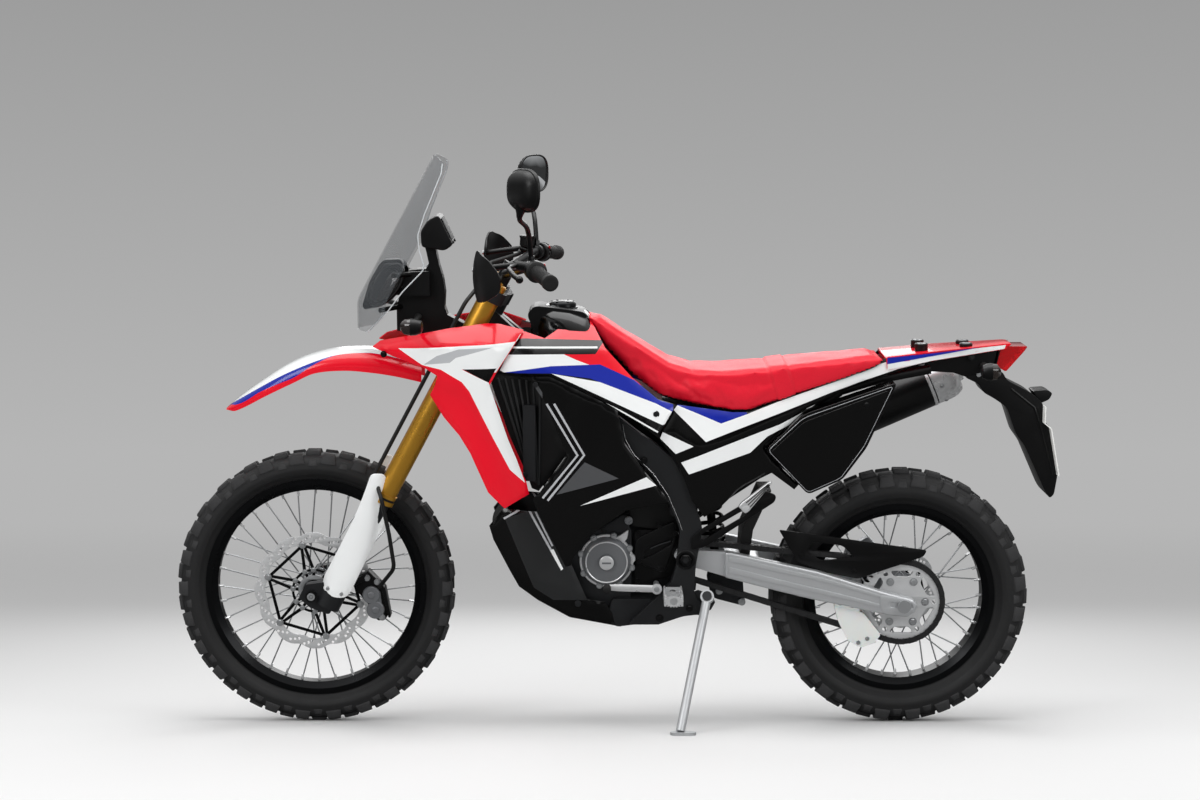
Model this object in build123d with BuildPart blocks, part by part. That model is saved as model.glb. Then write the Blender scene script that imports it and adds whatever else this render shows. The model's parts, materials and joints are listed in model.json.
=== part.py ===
from build123d import *
import math
import os

# Dual sport motorcycle, modelled upright and then leaned onto its side stand.
# Upright frame: x forward from the rear axle, y to the rider's left, z up from the ground.
# Sizes are in millimetres and angles in degrees.

# ---- driving sizes: wheels and chassis ----
wheelbase = 1455.0
rake = 28.2
trail = 114.0
lean = 10.0
front_tyre_radius = 346.5
front_tyre_half_width = 44.0
front_rim_radius = 275.0
front_rim_half_width = 27.0
rear_tyre_radius = 323.0
rear_tyre_half_width = 60.0
rear_rim_radius = 238.0
rear_rim_half_width = 36.0
tyre_wall = 9.0
bead_width = 7.0
crown_edge = 22.8
crown_flat = 10.0
lug_height = 9.5
front_lug_pitches = 26
rear_lug_pitches = 24
rim_depth = 29.0
rim_wall = 6.0
spokes_per_side = 18
spoke_radius = 1.7
seat_gap = 0.3
shaft_gap = 0.08

# ---- front end ----
fork_half_spacing = 100.0
fork_offset = 19.0
fork_tube_radius = 26.0
slider_radius = 21.5
slider_foot_radius = 32.0
front_axle_radius = 8.5
front_lug_inner = 84.0
front_lug_outer = 116.0
steering_lock = 40.0
lower_clamp_low = 655.0
lower_clamp_high = 690.0
upper_clamp_low = 850.0
upper_clamp_high = 880.0
fork_tube_low = 300.0
fork_tube_high = 893.0
guard_wall = 3.0
front_disc_radius = 148.0
front_disc_plane = 58.0
disc_thickness = 4.0
bar_radius = 11.1
grip_radius = 17.0
bar_end = 392.0
grip_length = 122.0
mirror_width = 124.0
mirror_height = 100.0
mirror_turn = 34.0
mirror_forward = -49.0
mirror_side = 372.0
mirror_rise = 218.0

# ---- rear end ----
rear_axle_radius = 9.0
arm_inner = 94.0
arm_outer = 124.0
pivot_x = 537.0
pivot_z = 443.0
pivot_boss_radius = 21.0
frame_inner = 112.0
frame_outer = 140.0
chain_pitch = 15.875
rear_teeth = 40
front_teeth = 14
chain_line = 78.0
chain_half_width = 8.0
chain_half_height = 7.5
sprocket_half = 3.0
tooth_height = 5.0
front_sprocket_x = 612.0
front_sprocket_z = 448.0
rear_disc_radius = 110.0
rear_disc_plane = -80.0
stand_foot_side = 320.0
stand_leg_radius = 11.0
stand_foot_radius = 24.0
stand_foot_thickness = 7.0
panel_wall = 4.0

sin_rake = math.sin(math.radians(rake))
cos_rake = math.cos(math.radians(rake))
front_axle = Vector(wheelbase, 0, front_tyre_radius)
rear_axle = Vector(0, 0, rear_tyre_radius)
steer_up = Vector(-sin_rake, 0, cos_rake)
steer_forward = Vector(cos_rake, 0, sin_rake)
# Perpendicular distance from the steering axis forward to the front axle.
axle_offset = (front_axle - Vector(wheelbase + trail, 0, 0)).dot(steer_forward)
steer_foot = front_axle - steer_forward * axle_offset
# Local frame of the front end: local x forward, local y to the right, local z up the steering axis.
steer_plane = Plane(origin=steer_foot, x_dir=steer_forward, z_dir=steer_up)

built = {}


def station(x):
    """Where a station of the 1455 mm layout lies: what is ahead of the head moves with the front axle, and
    the bodywork between the engine and the head takes up the change."""
    share = (x - 860) / 180
    return x + (wheelbase - 1455.0) * min(1.0, max(0.0, share))


def stations(outline):
    """An outline with each of its x values at its station."""
    return [(station(x), other) for x, other in outline]


def on_arm(outline):
    """An x-z outline of the swingarm or what it carries, whose rear follows the height of the rear axle."""
    return [(x, z + (rear_tyre_radius - 323.0) * (1 - x / pivot_x)) for x, z in outline]


def keep(name, part):
    """Registers a finished piece under its node name."""
    part.label = name
    built[name] = part


def side_slab(outline, y_low, y_high, corner=0.0):
    """A plate whose x-z outline is extruded from y_low to y_high, with its corners rounded."""
    with BuildPart() as slab:
        with BuildSketch(Plane.XZ.offset(-y_high)) as face:
            Polygon(*outline, align=None)
            if corner:
                fillet(face.vertices(), corner)
        extrude(amount=y_high - y_low)
    return slab.part


def plan_slab(outline, z_low, z_high, corner=0.0):
    """A block whose x-y outline is extruded from z_low to z_high, with its corners rounded."""
    with BuildPart() as slab:
        with BuildSketch(Plane.XY.offset(z_low)) as face:
            Polygon(*outline, align=None)
            if corner:
                fillet(face.vertices(), corner)
        extrude(amount=z_high - z_low)
    return slab.part


def rod(start, end, radius):
    """A round bar between two points."""
    start = Vector(start)
    along = Vector(end) - start
    with BuildPart() as bar:
        with BuildSketch(Plane(origin=start, z_dir=along)):
            Circle(radius)
        extrude(amount=along.length)
    return bar.part


def tube(points, radius, bends):
    """A round bar along straight runs joined by tangent arcs, one bend radius for each inner point."""
    points = [Vector(p) for p in points]
    with BuildPart() as bar:
        with BuildLine() as path:
            if len(points) > 2:
                FilletPolyline(*points, radius=bends)
            else:
                Line(*points)
        with BuildSketch(Plane(origin=points[0], z_dir=points[1] - points[0])):
            Circle(radius)
        sweep(path=path.line)
    return bar.part


def skin(plan, slope, outline, z_reference, wall=panel_wall, corner=0.0):
    """The left-hand body panel: a wall that follows plan, a list of (x, y) at z_reference, leans inward
    by slope for each millimetre of height, and is trimmed to the x-z outline."""
    low = min(z for x, z in outline) - 5
    height = max(z for x, z in outline) + 5 - low
    shift = (z_reference - low) * slope
    rise = Vector(0, -slope * height, height)
    first, last = plan[0], plan[-1]

    def block(inset):
        """The solid between the centre plane and the panel's surface, set in by inset."""
        edge = [(x, y + shift - inset) for x, y in plan]
        ring = [(first[0], -300)] + edge + [(last[0], -300)]
        with BuildPart() as core:
            with BuildSketch(Plane.XY.offset(low)):
                Polygon(*ring, align=None)
            extrude(amount=rise.length, dir=rise.normalized())
        return core.part

    with BuildPart() as panel:
        add(side_slab(outline, 0, 320, corner))
        add(block(0), mode=Mode.INTERSECT)
        add(block(wall), mode=Mode.SUBTRACT)
    return panel.part


def both_sides(part):
    """The left-hand piece and its mirror image in the centre plane."""
    with BuildPart() as pair:
        add(part)
        mirror(about=Plane.XZ)
    return pair.part


def minus(part, *others):
    """part with the space of the others cut from it."""
    with BuildPart() as cut:
        add(part)
        for other in others:
            add(other, mode=Mode.SUBTRACT)
    return cut.part


def fused(*parts):
    """The pieces joined into one."""
    with BuildPart() as whole:
        for part in parts:
            add(part)
    return whole.part


def fork_point(forward, left, up):
    """A point of the steering frame, in the upright frame."""
    return steer_foot + steer_forward * forward + Vector(0, left, 0) + steer_up * up


# ---- wheels ----
def ring_about(axle, section):
    """A ring turned about the axle from a (y, radius) section."""
    with BuildPart() as ring:
        with BuildSketch(Plane.YZ.offset(axle.X)):
            Polygon(*[(y, axle.Z + r) for y, r in section], align=None)
        revolve(axis=Axis((axle.X, 0, axle.Z), (0, 1, 0)))
    return ring.part


def tyre_segment(axle, half_section, half_angle, turn):
    """One flat-faceted slice of a tyre: a section drawn at the bottom, cut to its angle and turned round."""
    section = half_section + [(-y, r) for y, r in reversed(half_section)]
    reach = 1.1 * max(r for _, r in half_section)
    half_chord = reach * math.tan(math.radians(half_angle))
    with BuildPart() as segment:
        with BuildSketch(Plane.YZ.offset(axle.X)):
            Polygon(*[(y, axle.Z - r) for y, r in section], align=None)
        extrude(amount=half_chord, both=True)
        with BuildSketch(Plane.XZ):
            Polygon(
                (axle.X, axle.Z),
                (axle.X - half_chord, axle.Z - reach),
                (axle.X + half_chord, axle.Z - reach),
                align=None,
            )
        extrude(amount=reach, both=True, mode=Mode.INTERSECT)
    return segment.part.rotate(Axis((axle.X, 0, axle.Z), (0, 1, 0)), turn)


def tyre(axle, radius, half_width, rim_radius, rim_half, pitches):
    """A knobbly tyre with beads in the rim: slices with a crown lug, between slices with a lug on each
    shoulder."""
    crown = radius - rim_radius
    bead_low = rim_radius - 11
    bead_out = rim_half - 3 - seat_gap
    bead_in = bead_out - bead_width
    cavity = [
        (half_width * 0.66, radius - lug_height - 1.5 * tyre_wall),
        (bead_in, bead_low),
    ]
    sidewall = [
        (bead_out, bead_low),
        (bead_out, rim_radius + 2),
        (half_width * 0.96, rim_radius + crown * 0.48),
    ]
    crown_lug = [
        (half_width * 0.86, rim_radius + crown * 0.76),
        (crown_edge + 1.5, radius - lug_height),
        (crown_edge, rim_radius + crown * 0.975),
        (crown_flat, radius),
    ]
    shoulder_lug = [
        (half_width, rim_radius + crown * 0.6),
        (half_width * 0.92, rim_radius + crown * 0.86),
        (crown_edge + 4, rim_radius + crown * 0.95),
        (crown_edge + 1.5, radius - lug_height),
    ]
    pitch_angle = 360.0 / pitches
    slices = []
    for lugs, phase in ((crown_lug, 0.0), (shoulder_lug, 0.5)):
        half_section = cavity + sidewall + lugs
        for i in range(pitches):
            slices.append(tyre_segment(axle, half_section, pitch_angle / 4, pitch_angle * (i + phase)))
    with BuildPart() as ring:
        add(slices)
    return ring.part


def rim(axle, radius, half_width):
    """A rim: two bead walls on a dropped centre."""
    section = [
        (half_width, radius),
        (half_width - 3, radius),
        (half_width - 3, radius - 11.3),
        (half_width - 9, radius - 11.3),
        (half_width - 13, radius - 17),
        (-half_width + 13, radius - 17),
        (-half_width + 9, radius - 11.3),
        (-half_width + 3, radius - 11.3),
        (-half_width + 3, radius),
        (-half_width, radius),
        (-half_width, radius - 14),
        (-half_width + 12, radius - rim_depth),
        (half_width - 12, radius - rim_depth),
        (half_width, radius - 14),
    ]
    return ring_about(axle, section)


def spoked_hub(axle, sections, bore, flange_left, flange_right, flange_radius, rim_inner, rim_half):
    """A turned hub with its wire spokes, each from a flange to the rim's inner face."""
    with BuildPart() as hub:
        add(ring_about(axle, sections))
        for side, flange in ((1, flange_left), (-1, flange_right)):
            for i in range(spokes_per_side):
                at_rim = 360.0 / spokes_per_side * (i + 0.25 * (1 + side))
                at_hub = at_rim + (52 if i % 2 else -52)
                near = Vector(flange_radius - 4, 0, 0).rotate(Axis.Y, at_hub) + Vector(0, flange, 0)
                far = Vector(rim_inner - 0.6, 0, 0).rotate(Axis.Y, at_rim) + Vector(
                    0,
                    side * rim_half * 0.2,
                    0,
                )
                add(rod(axle + near, axle + far, spoke_radius))
    return hub.part


keep(
    "front_tyre",
    tyre(
        front_axle,
        front_tyre_radius,
        front_tyre_half_width,
        front_rim_radius,
        front_rim_half_width,
        front_lug_pitches,
    ),
)
keep(
    "rear_tyre",
    tyre(
        rear_axle,
        rear_tyre_radius,
        rear_tyre_half_width,
        rear_rim_radius,
        rear_rim_half_width,
        rear_lug_pitches,
    ),
)
keep("front_rim", rim(front_axle, front_rim_radius, front_rim_half_width))
keep("rear_rim", rim(rear_axle, rear_rim_radius, rear_rim_half_width))

front_hub_bore = front_axle_radius + shaft_gap
front_flange = 34.0
front_hub_section = [
    (front_disc_plane - seat_gap, front_hub_bore),
    (front_disc_plane - seat_gap, 40),
    (front_disc_plane - 8, 40),
    (front_disc_plane - 12, 26),
    (front_flange + 3, 26),
    (front_flange + 3, 36),
    (front_flange - 3, 36),
    (front_flange - 8, 21),
    (-front_flange + 8, 21),
    (-front_flange + 3, 36),
    (-front_flange - 3, 36),
    (-front_flange - 3, 24),
    (-front_disc_plane, 20),
    (-front_disc_plane, front_hub_bore),
]
keep(
    "front_hub_spokes",
    spoked_hub(
        front_axle,
        front_hub_section,
        front_hub_bore,
        front_flange,
        -front_flange,
        36,
        front_rim_radius - rim_depth,
        front_rim_half_width,
    ),
)
rear_hub_bore = rear_axle_radius + shaft_gap
rear_flange = 34.0
sprocket_inner_face = chain_line - sprocket_half
rear_hub_section = [
    (sprocket_inner_face - seat_gap, rear_hub_bore),
    (sprocket_inner_face - seat_gap, 62),
    (sprocket_inner_face - 14, 62),
    (rear_flange + 12, 42),
    (rear_flange + 3, 42),
    (rear_flange + 3, 54),
    (rear_flange - 3, 54),
    (rear_flange - 10, 32),
    (-rear_flange + 10, 32),
    (-rear_flange + 3, 54),
    (-rear_flange - 3, 54),
    (-rear_flange - 3, 36),
    (rear_disc_plane + disc_thickness + seat_gap, 36),
    (rear_disc_plane + disc_thickness + seat_gap, rear_hub_bore),
]
keep(
    "rear_hub_spokes",
    spoked_hub(
        rear_axle,
        rear_hub_section,
        rear_hub_bore,
        rear_flange,
        -rear_flange,
        54,
        rear_rim_radius - rim_depth,
        rear_rim_half_width,
    ),
)


def disc_face(axle, y_face, radius, ring_width, arms, boss_radius, bore, thickness):
    """A brake disc or sprocket blank: a ring on arms about a bored boss, its inner face at y_face."""
    with BuildPart() as disc:
        with BuildSketch(Plane.XZ.offset(-(y_face + thickness))):
            with Locations((axle.X, axle.Z)):
                Circle(radius)
                Circle(radius - ring_width, mode=Mode.SUBTRACT)
                Circle(boss_radius)
                with PolarLocations(0, arms):
                    with Locations((radius / 2, 0)):
                        Rectangle(radius - ring_width, 11)
                Circle(bore, mode=Mode.SUBTRACT)
        extrude(amount=thickness)
    return disc.part


keep(
    "front_disc",
    disc_face(front_axle, front_disc_plane, front_disc_radius, 28, 6, 46, front_hub_bore, disc_thickness),
)
keep(
    "rear_disc",
    disc_face(rear_axle, rear_disc_plane, rear_disc_radius, 26, 6, 44, rear_hub_bore, disc_thickness),
)
rear_pitch_radius = chain_pitch / 2 / math.sin(math.pi / rear_teeth)
front_pitch_radius = chain_pitch / 2 / math.sin(math.pi / front_teeth)


def toothed_disc(x, z, y_low, y_high, root, tip, teeth, bore):
    """A toothed wheel: a root circle with a tapered tooth at each pitch."""
    half_pitch = math.pi * root / teeth
    with BuildPart() as wheel:
        with BuildSketch(Plane.XZ.offset(-y_high)):
            with Locations((x, z)):
                Circle(root)
                with PolarLocations(0, teeth):
                    Polygon(
                        (root - 2, -half_pitch * 0.62),
                        (tip, -half_pitch * 0.2),
                        (tip, half_pitch * 0.2),
                        (root - 2, half_pitch * 0.62),
                        align=None,
                    )
                Circle(bore, mode=Mode.SUBTRACT)
        extrude(amount=y_high - y_low)
    return wheel.part


rear_root = rear_pitch_radius - 4.0
keep(
    "rear_sprocket",
    toothed_disc(
        0,
        rear_tyre_radius,
        chain_line - sprocket_half,
        chain_line + sprocket_half,
        rear_root,
        rear_pitch_radius + tooth_height,
        rear_teeth,
        rear_hub_bore,
    ),
)

# ---- front fork, clamps and steering stem ----

def fork_rod(forward, left, low, high, radius):
    """A round bar parallel to the steering axis."""
    return rod(fork_point(forward, left, low), fork_point(forward, left, high), radius)


fork_tube = minus(
    fused(
        fork_rod(fork_offset, fork_half_spacing, fork_tube_low, fork_tube_high, fork_tube_radius),
        fork_rod(
            fork_offset,
            fork_half_spacing,
            fork_tube_low - 12,
            fork_tube_low + 14,
            fork_tube_radius + 2.5,
        ),
    ),
    fork_rod(fork_offset, fork_half_spacing, fork_tube_low - 13, fork_tube_low + 60, slider_radius + 0.2),
)
keep("fork_tubes", both_sides(fork_tube))

slider = fused(
    fork_rod(fork_offset, fork_half_spacing, 30, fork_tube_low + 55, slider_radius),
    fork_rod(fork_offset, fork_half_spacing, -8, 62, slider_foot_radius - seat_gap),
    side_slab(
        [
            tuple(front_axle + steer_forward * f + steer_up * u)[::2]
            for f, u in ((26, -20), (26, 18), (-10, 44), (-60, 34), (-60, -22), (-10, -28))
        ],
        front_lug_inner,
        front_lug_outer,
        8,
    ),
)
front_axle_line = (front_axle + Vector(0, -200, 0), front_axle + Vector(0, 200, 0))
slider = minus(slider, rod(*front_axle_line, front_axle_radius + shaft_gap))
keep("fork_sliders", both_sides(slider))
keep(
    "front_axle",
    fused(
        rod(
            front_axle + Vector(0, -front_lug_outer - 1, 0),
            front_axle + Vector(0, front_lug_outer + 1, 0),
            front_axle_radius,
        ),
        rod(
            front_axle + Vector(0, front_disc_plane + disc_thickness + seat_gap, 0),
            front_axle + Vector(0, front_lug_inner - seat_gap, 0),
            13,
        ),
        rod(
            front_axle + Vector(0, -front_lug_inner + seat_gap, 0),
            front_axle + Vector(0, -front_disc_plane - seat_gap, 0),
            13,
        ),
        rod(
            front_axle + Vector(
                0,
                front_lug_outer + seat_gap,
                0,
            ), front_axle + Vector(0, front_lug_outer + 12, 0), 14
        ),
        rod(
            front_axle + Vector(0, -front_lug_outer - 12, 0), front_axle + Vector(
                0,
                -front_lug_outer - seat_gap,
                0,
            ), 14
        ),
    ),
)

with BuildPart() as clamps:
    for low, high in ((lower_clamp_low, lower_clamp_high), (upper_clamp_low, upper_clamp_high)):
        with BuildSketch(Plane(origin=fork_point(0, 0, low), x_dir=steer_forward, z_dir=steer_up)):
            with Locations((fork_offset, fork_half_spacing), (fork_offset, -fork_half_spacing)):
                Circle(fork_tube_radius + 9)
            Circle(30)
            Polygon(
                (-24, -40),
                (-6, -110),
                (40, -110),
                (34, 0),
                (40, 110),
                (-6, 110),
                (-24, 40),
                align=None,
            )
        extrude(amount=high - low)
    add(fork_rod(0, 0, lower_clamp_low, upper_clamp_high + 10, 14))
    for side in (-1, 1):
        add(
            fork_rod(
                fork_offset,
                side * fork_half_spacing,
                lower_clamp_low - 5,
                upper_clamp_high + 5,
                fork_tube_radius + 0.1,
            ),
            mode=Mode.SUBTRACT,
        )
keep("fork_clamps", clamps.part)

# Guards round the outside and front of each slider, bolted at the slider's foot.
with BuildPart() as guard:
    add(fork_rod(fork_offset, fork_half_spacing, -6, 285, slider_foot_radius + guard_wall))
    add(fork_rod(fork_offset, fork_half_spacing, -10, 286, slider_foot_radius), mode=Mode.SUBTRACT)
    add(
        side_slab(
            stations([(1100, 250), (1600, 250), (1600, 750), (1100, 750)]),
            front_lug_inner - 60,
            front_lug_inner + 8,
        ),
        mode=Mode.SUBTRACT,
    )
    add(slider, mode=Mode.SUBTRACT)
keep("fork_guards", both_sides(guard.part))

# ---- handlebar and what it carries ----
bar_clamp = fork_point(12, 0, upper_clamp_high + 42)
bar_path = [
    (bar_clamp.X - 112, -bar_end, bar_clamp.Z + 12),
    (bar_clamp.X - 62, -205, bar_clamp.Z + 30),
    (bar_clamp.X, -75, bar_clamp.Z),
    (bar_clamp.X, 75, bar_clamp.Z),
    (bar_clamp.X - 62, 205, bar_clamp.Z + 30),
    (bar_clamp.X - 112, bar_end, bar_clamp.Z + 12),
]
handlebar_tube = tube(bar_path, bar_radius, [45, 40, 40, 45])
with BuildPart() as bar:
    add(handlebar_tube)
    for side in (-1, 1):
        add(
            rod(
                fork_point(12, side * 48, upper_clamp_high + seat_gap),
                fork_point(12, side * 48, upper_clamp_high + 60),
                17,
            )
        )
keep("handlebar", bar.part)

bar_tip = Vector(*bar_path[5])
grip_along = (bar_tip - Vector(*bar_path[4])).normalized()
grip_root = bar_tip - grip_along * grip_length
grip_tip = bar_tip + grip_along * 8
grip = minus(
    fused(
        rod(grip_root, grip_tip, grip_radius),
        rod(grip_root, grip_root + grip_along * 5, grip_radius + 8),
        rod(grip_tip - grip_along * 12, grip_tip + grip_along * 8, grip_radius + 2),
    ),
    handlebar_tube,
)
keep("grips", both_sides(grip))

# Switch housings, lever perches and levers.
housing_end = grip_root - grip_along * 2
housing_start = grip_root - grip_along * 34
perch_start = grip_root - grip_along * 62
perch_end = grip_root - grip_along * 38
perch_front = perch_end + Vector(46, -4, 10)
lever_path = [
    perch_front + Vector(-8, 0, 0),
    perch_front + Vector(10, 42, -6),
    perch_front + Vector(-6, 122, -14),
    perch_front + Vector(-20, 176, -18),
]
control = minus(
    fused(
        rod(housing_start, housing_end, 24),
        rod(perch_start, perch_end, 18),
        rod(perch_end - grip_along * 12, perch_front, 11),
        tube(lever_path, 6.5, [30, 60]),
        rod(lever_path[3], lever_path[3] + Vector(-1, 4, 0), 9),
    ),
    handlebar_tube,
)
keep("controls", both_sides(control))

# Mirrors: a stem up from each perch to a rounded head, turned inwards towards the rider.
mirror_base = perch_start + grip_along * 12
mirror_centre = bar_clamp + Vector(mirror_forward, mirror_side, mirror_rise)
mirror_back = Vector(math.cos(math.radians(mirror_turn)), math.sin(math.radians(mirror_turn)), 0)
mirror_out = Vector(-mirror_back.Y, mirror_back.X, 0)
stem_path = [
    mirror_base + Vector(0, 0, 6),
    mirror_base + Vector(6, 18, 95),
    mirror_centre + Vector(6, -14, -66),
    mirror_centre,
]
with BuildPart() as mirror_left:
    add(tube(stem_path, 6, [60, 30]))
    with BuildSketch(Plane(origin=mirror_centre - mirror_back * 14, x_dir=mirror_out, z_dir=mirror_back)):
        RectangleRounded(mirror_width, mirror_height, 40)
    extrude(amount=12)
    with BuildSketch(Plane(origin=mirror_centre - mirror_back * 2, x_dir=mirror_out, z_dir=mirror_back)):
        RectangleRounded(mirror_width, mirror_height, 40)
    extrude(amount=20, taper=35)
    add(rod(perch_start, perch_end, 18), mode=Mode.SUBTRACT)
keep("mirrors", both_sides(mirror_left.part))

# Hand guards: a curved shield ahead of each lever, held from the perch and the bar end.
guard_plan = [
    (66, 212),
    (72, 250),
    (68, 300),
    (46, 350),
    (1, 392),
    (-6, 388),
    (39, 345),
    (60, 298),
    (64, 251),
    (58, 213),
]
guard_side = [(21, 1205), (70, 1188), (78, 1130), (56, 1092), (16, 1100), (-8, 1150)]
with BuildPart() as hand_guard:
    add(plan_slab([(bar_clamp.X + x, y) for x, y in guard_plan], 1085, 1215))
    add(side_slab([(bar_clamp.X + x, z) for x, z in guard_side], 205, 400), mode=Mode.INTERSECT)
hand_guard_left = fused(
    hand_guard.part,
    rod((bar_clamp.X + 62, 228, 1160), perch_end + Vector(40, -6, 10), 7),
)
hand_guard_left = minus(hand_guard_left, control)
keep("hand_guards", both_sides(hand_guard_left))

# Front fender: a crowned shell with side skirts, bolted under the lower clamp.
fender_top = stations([
    (1667, 799),
    (1632, 829),
    (1572, 872),
    (1518, 906),
    (1464, 930),
    (1398, 946),
    (1317, 950),
    (1285, 946),
    (1240, 934),
    (1181, 915),
])
fender_low = stations(
    [(1181, 872), (1246, 888), (1306, 900), (1371, 905), (1442, 896), (1491, 872), (1561, 836), (1640, 796)]
)
fender_plan = stations([(1667, 26), (1640, 48), (1560, 68), (1420, 76), (1300, 74), (1181, 60)])
fender_ring = fender_plan + [(x, -y) for x, y in reversed(fender_plan)]
fender_inner_plan = stations([(1656, 20), (1634, 43), (1557, 63), (1420, 71), (1300, 69), (1185, 55)])
fender_inner_ring = fender_inner_plan + [(x, -y) for x, y in reversed(fender_inner_plan)]
fender_inner_top = [(x - 2, z - 6) for x, z in fender_top[1:-1]]
fender_core = fender_inner_top + stations([(1186, 908), (1186, 780), (1660, 780)])
with BuildPart() as fender_pocket:
    add(plan_slab(fender_inner_ring, 700, 980))
    add(side_slab(fender_core, -90, 90), mode=Mode.INTERSECT)
with BuildPart() as fender:
    add(side_slab(fender_top + fender_low, -90, 90))
    add(plan_slab(fender_ring, 700, 1000), mode=Mode.INTERSECT)
    add(fender_pocket.part, mode=Mode.SUBTRACT)
fender_mount = [
    tuple(fork_point(f, 0, u))[::2]
    for f, u in (
        (-16, lower_clamp_low), (40, lower_clamp_low), (100, 632), (100, 622), (40, 628),
        (-16, 632),
    )
]
keep("front_fender", fused(fender.part, side_slab(fender_mount, -44, 44)))

# Front caliper: straddles the disc behind the left leg.
caliper_outline = stations(
    [(1352, 392), (1322, 400), (1283, 352), (1268, 280), (1300, 268), (1322, 318), (1352, 345)]
)
disc_mid = front_disc_plane + disc_thickness / 2
caliper = minus(
    fused(
        side_slab(caliper_outline, disc_mid - 17, disc_mid + 24),
        side_slab(
            stations([(1340, 340), (1392, 352), (1384, 396), (1340, 396)]),
            disc_mid + 14,
            disc_mid + 24,
        ),
    ),
    ring_about(
        front_axle,
        [
            (disc_mid - 7, 60),
            (disc_mid - 7, front_disc_radius + 5),
            (disc_mid + 7, front_disc_radius + 5),
            (disc_mid + 7, 60),
        ],
    ),
    slider,
    guard.part,
)
caliper = caliper.solids().sort_by(SortBy.VOLUME)[-1]
keep("front_caliper", caliper)

# Brake hose: from the right-hand perch across the top clamp and down the left leg to the caliper.
brake_hose_radius = 5.0
hose_points = [
    Vector(perch_front.X - 6, -perch_front.Y + 4, perch_front.Z - 12),
    fork_point(58, -150, 905),
    fork_point(50, -64, upper_clamp_high + 14),
    fork_point(50, 64, upper_clamp_high + 14),
    fork_point(66, 112, 820),
    fork_point(66, 108, 340),
    fork_point(24, 146, 304),
    fork_point(-34, 140, 232),
    fork_point(-84, 124, 160),
    fork_point(-74, 80, 88),
]
hose = minus(
    tube(hose_points, brake_hose_radius, [30, 24, 24, 40, 24, 28, 50, 40]),
    control.mirror(Plane.XZ),
    caliper,
)
hose = hose.solids().sort_by(SortBy.VOLUME)[-1]
keep("brake_hose", hose)

# ---- left-hand body panels ----
shroud_outline = stations([
    (1298, 960),
    (1278, 975),
    (1192, 994),
    (1108, 1012),
    (1019, 1023),
    (988, 1021),
    (930, 1004),
    (993, 910),
    (1009, 881),
    (967, 751),
    (923, 641),
    (917, 612),
    (975, 583),
    (1014, 625),
    (1035, 672),
    (1056, 719),
    (1082, 761),
    (1119, 803),
    (1153, 855),
    (1140, 881),
    (1134, 902),
    (1166, 920),
    (1244, 941),
])
shroud_plan = stations(
    [(1310, 98), (1240, 140), (1170, 182), (1090, 206), (1010, 205), (960, 180), (900, 142)]
)
shroud = skin(shroud_plan, 0.1, shroud_outline, 850)

fairing_outline = stations([
    (935, 900),
    (879, 886),
    (850, 831),
    (788, 706),
    (760, 655),
    (601, 673),
    (578, 589),
    (682, 572),
    (777, 507),
    (812, 455),
    (816, 420),
    (790, 372),
    (835, 380),
    (885, 470),
    (914, 560),
    (914, 612),
    (885, 611),
    (825, 671),
    (796, 706),
    (866, 843),
    (935, 888),
])
fairing_plan = stations([(960, 190), (880, 190), (780, 182), (680, 172), (560, 160)])
side_fairing = skin(fairing_plan, 0.0, fairing_outline, 650)
shroud = minus(shroud, side_fairing)
side_fairing = minus(side_fairing, shroud)

cover_outline = stations([
    (940, 1003),
    (879, 984),
    (831, 1013),
    (770, 1025),
    (734, 962),
    (669, 892),
    (604, 840),
    (563, 827),
    (609, 753),
    (649, 785),
    (746, 843),
    (867, 901),
    (976, 909),
    (985, 914),
])
cover_plan = stations([(1000, 196), (900, 186), (800, 172), (700, 158), (540, 138)])
tank_cover = minus(skin(cover_plan, 0.35, cover_outline, 860), shroud, side_fairing)

side_cover_outline = [
    (543, 648),
    (566, 693),
    (607, 749),
    (560, 824),
    (501, 815),
    (426, 804),
    (385, 804),
    (269, 844),
    (154, 882),
    (73, 911),
    (52, 932),
    (-263, 962),
    (-228, 950),
    (-24, 912),
    (121, 869),
    (327, 772),
    (389, 735),
    (500, 671),
    (524, 661),
]
side_cover_plan = [(620, 146), (560, 138), (426, 124), (269, 114), (73, 96), (-100, 76), (-270, 48)]
side_cover = minus(skin(side_cover_plan, 0.15, side_cover_outline, 820), tank_cover)

belly_outer = stations([
    (981, 567),
    (1017, 523),
    (1007, 488),
    (945, 370),
    (900, 336),
    (821, 292),
    (695, 268),
    (734, 334),
    (778, 340),
    (821, 440),
    (887, 558),
])
belly_inner = stations(
    [
        (975, 561), (1009, 522), (1000, 490), (941, 375), (897, 341), (819, 297), (690, 273),
        (690, 900), (975, 900),
    ]
)
belly_pan = minus(side_slab(belly_outer, -134, 134), side_slab(belly_inner, -129, 129))
keep("belly_pan", belly_pan)

seat_outline = [
    (782, 1040),
    (760, 1034),
    (689, 985),
    (645, 959),
    (579, 917),
    (522, 901),
    (447, 899),
    (341, 907),
    (294, 913),
    (148, 928),
    (55, 938),
    (49, 925),
    (73, 911),
    (154, 882),
    (269, 844),
    (385, 804),
    (426, 804),
    (501, 815),
    (559, 829),
    (602, 842),
    (668, 895),
    (734, 965),
    (776, 1026),
]
seat_plan = [(790, 60), (740, 82), (600, 104), (450, 126), (300, 124), (150, 110), (49, 92)]
with BuildPart() as seat:
    add(side_slab(seat_outline, -140, 140))
    add(plan_slab(seat_plan + [(x, -y) for x, y in reversed(seat_plan)], 780, 1060), mode=Mode.INTERSECT)
    add(side_cover, mode=Mode.SUBTRACT)
    add(side_cover.mirror(Plane.XZ), mode=Mode.SUBTRACT)
    add(tank_cover, mode=Mode.SUBTRACT)
    add(tank_cover.mirror(Plane.XZ), mode=Mode.SUBTRACT)
seat_solid = seat.part

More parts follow.
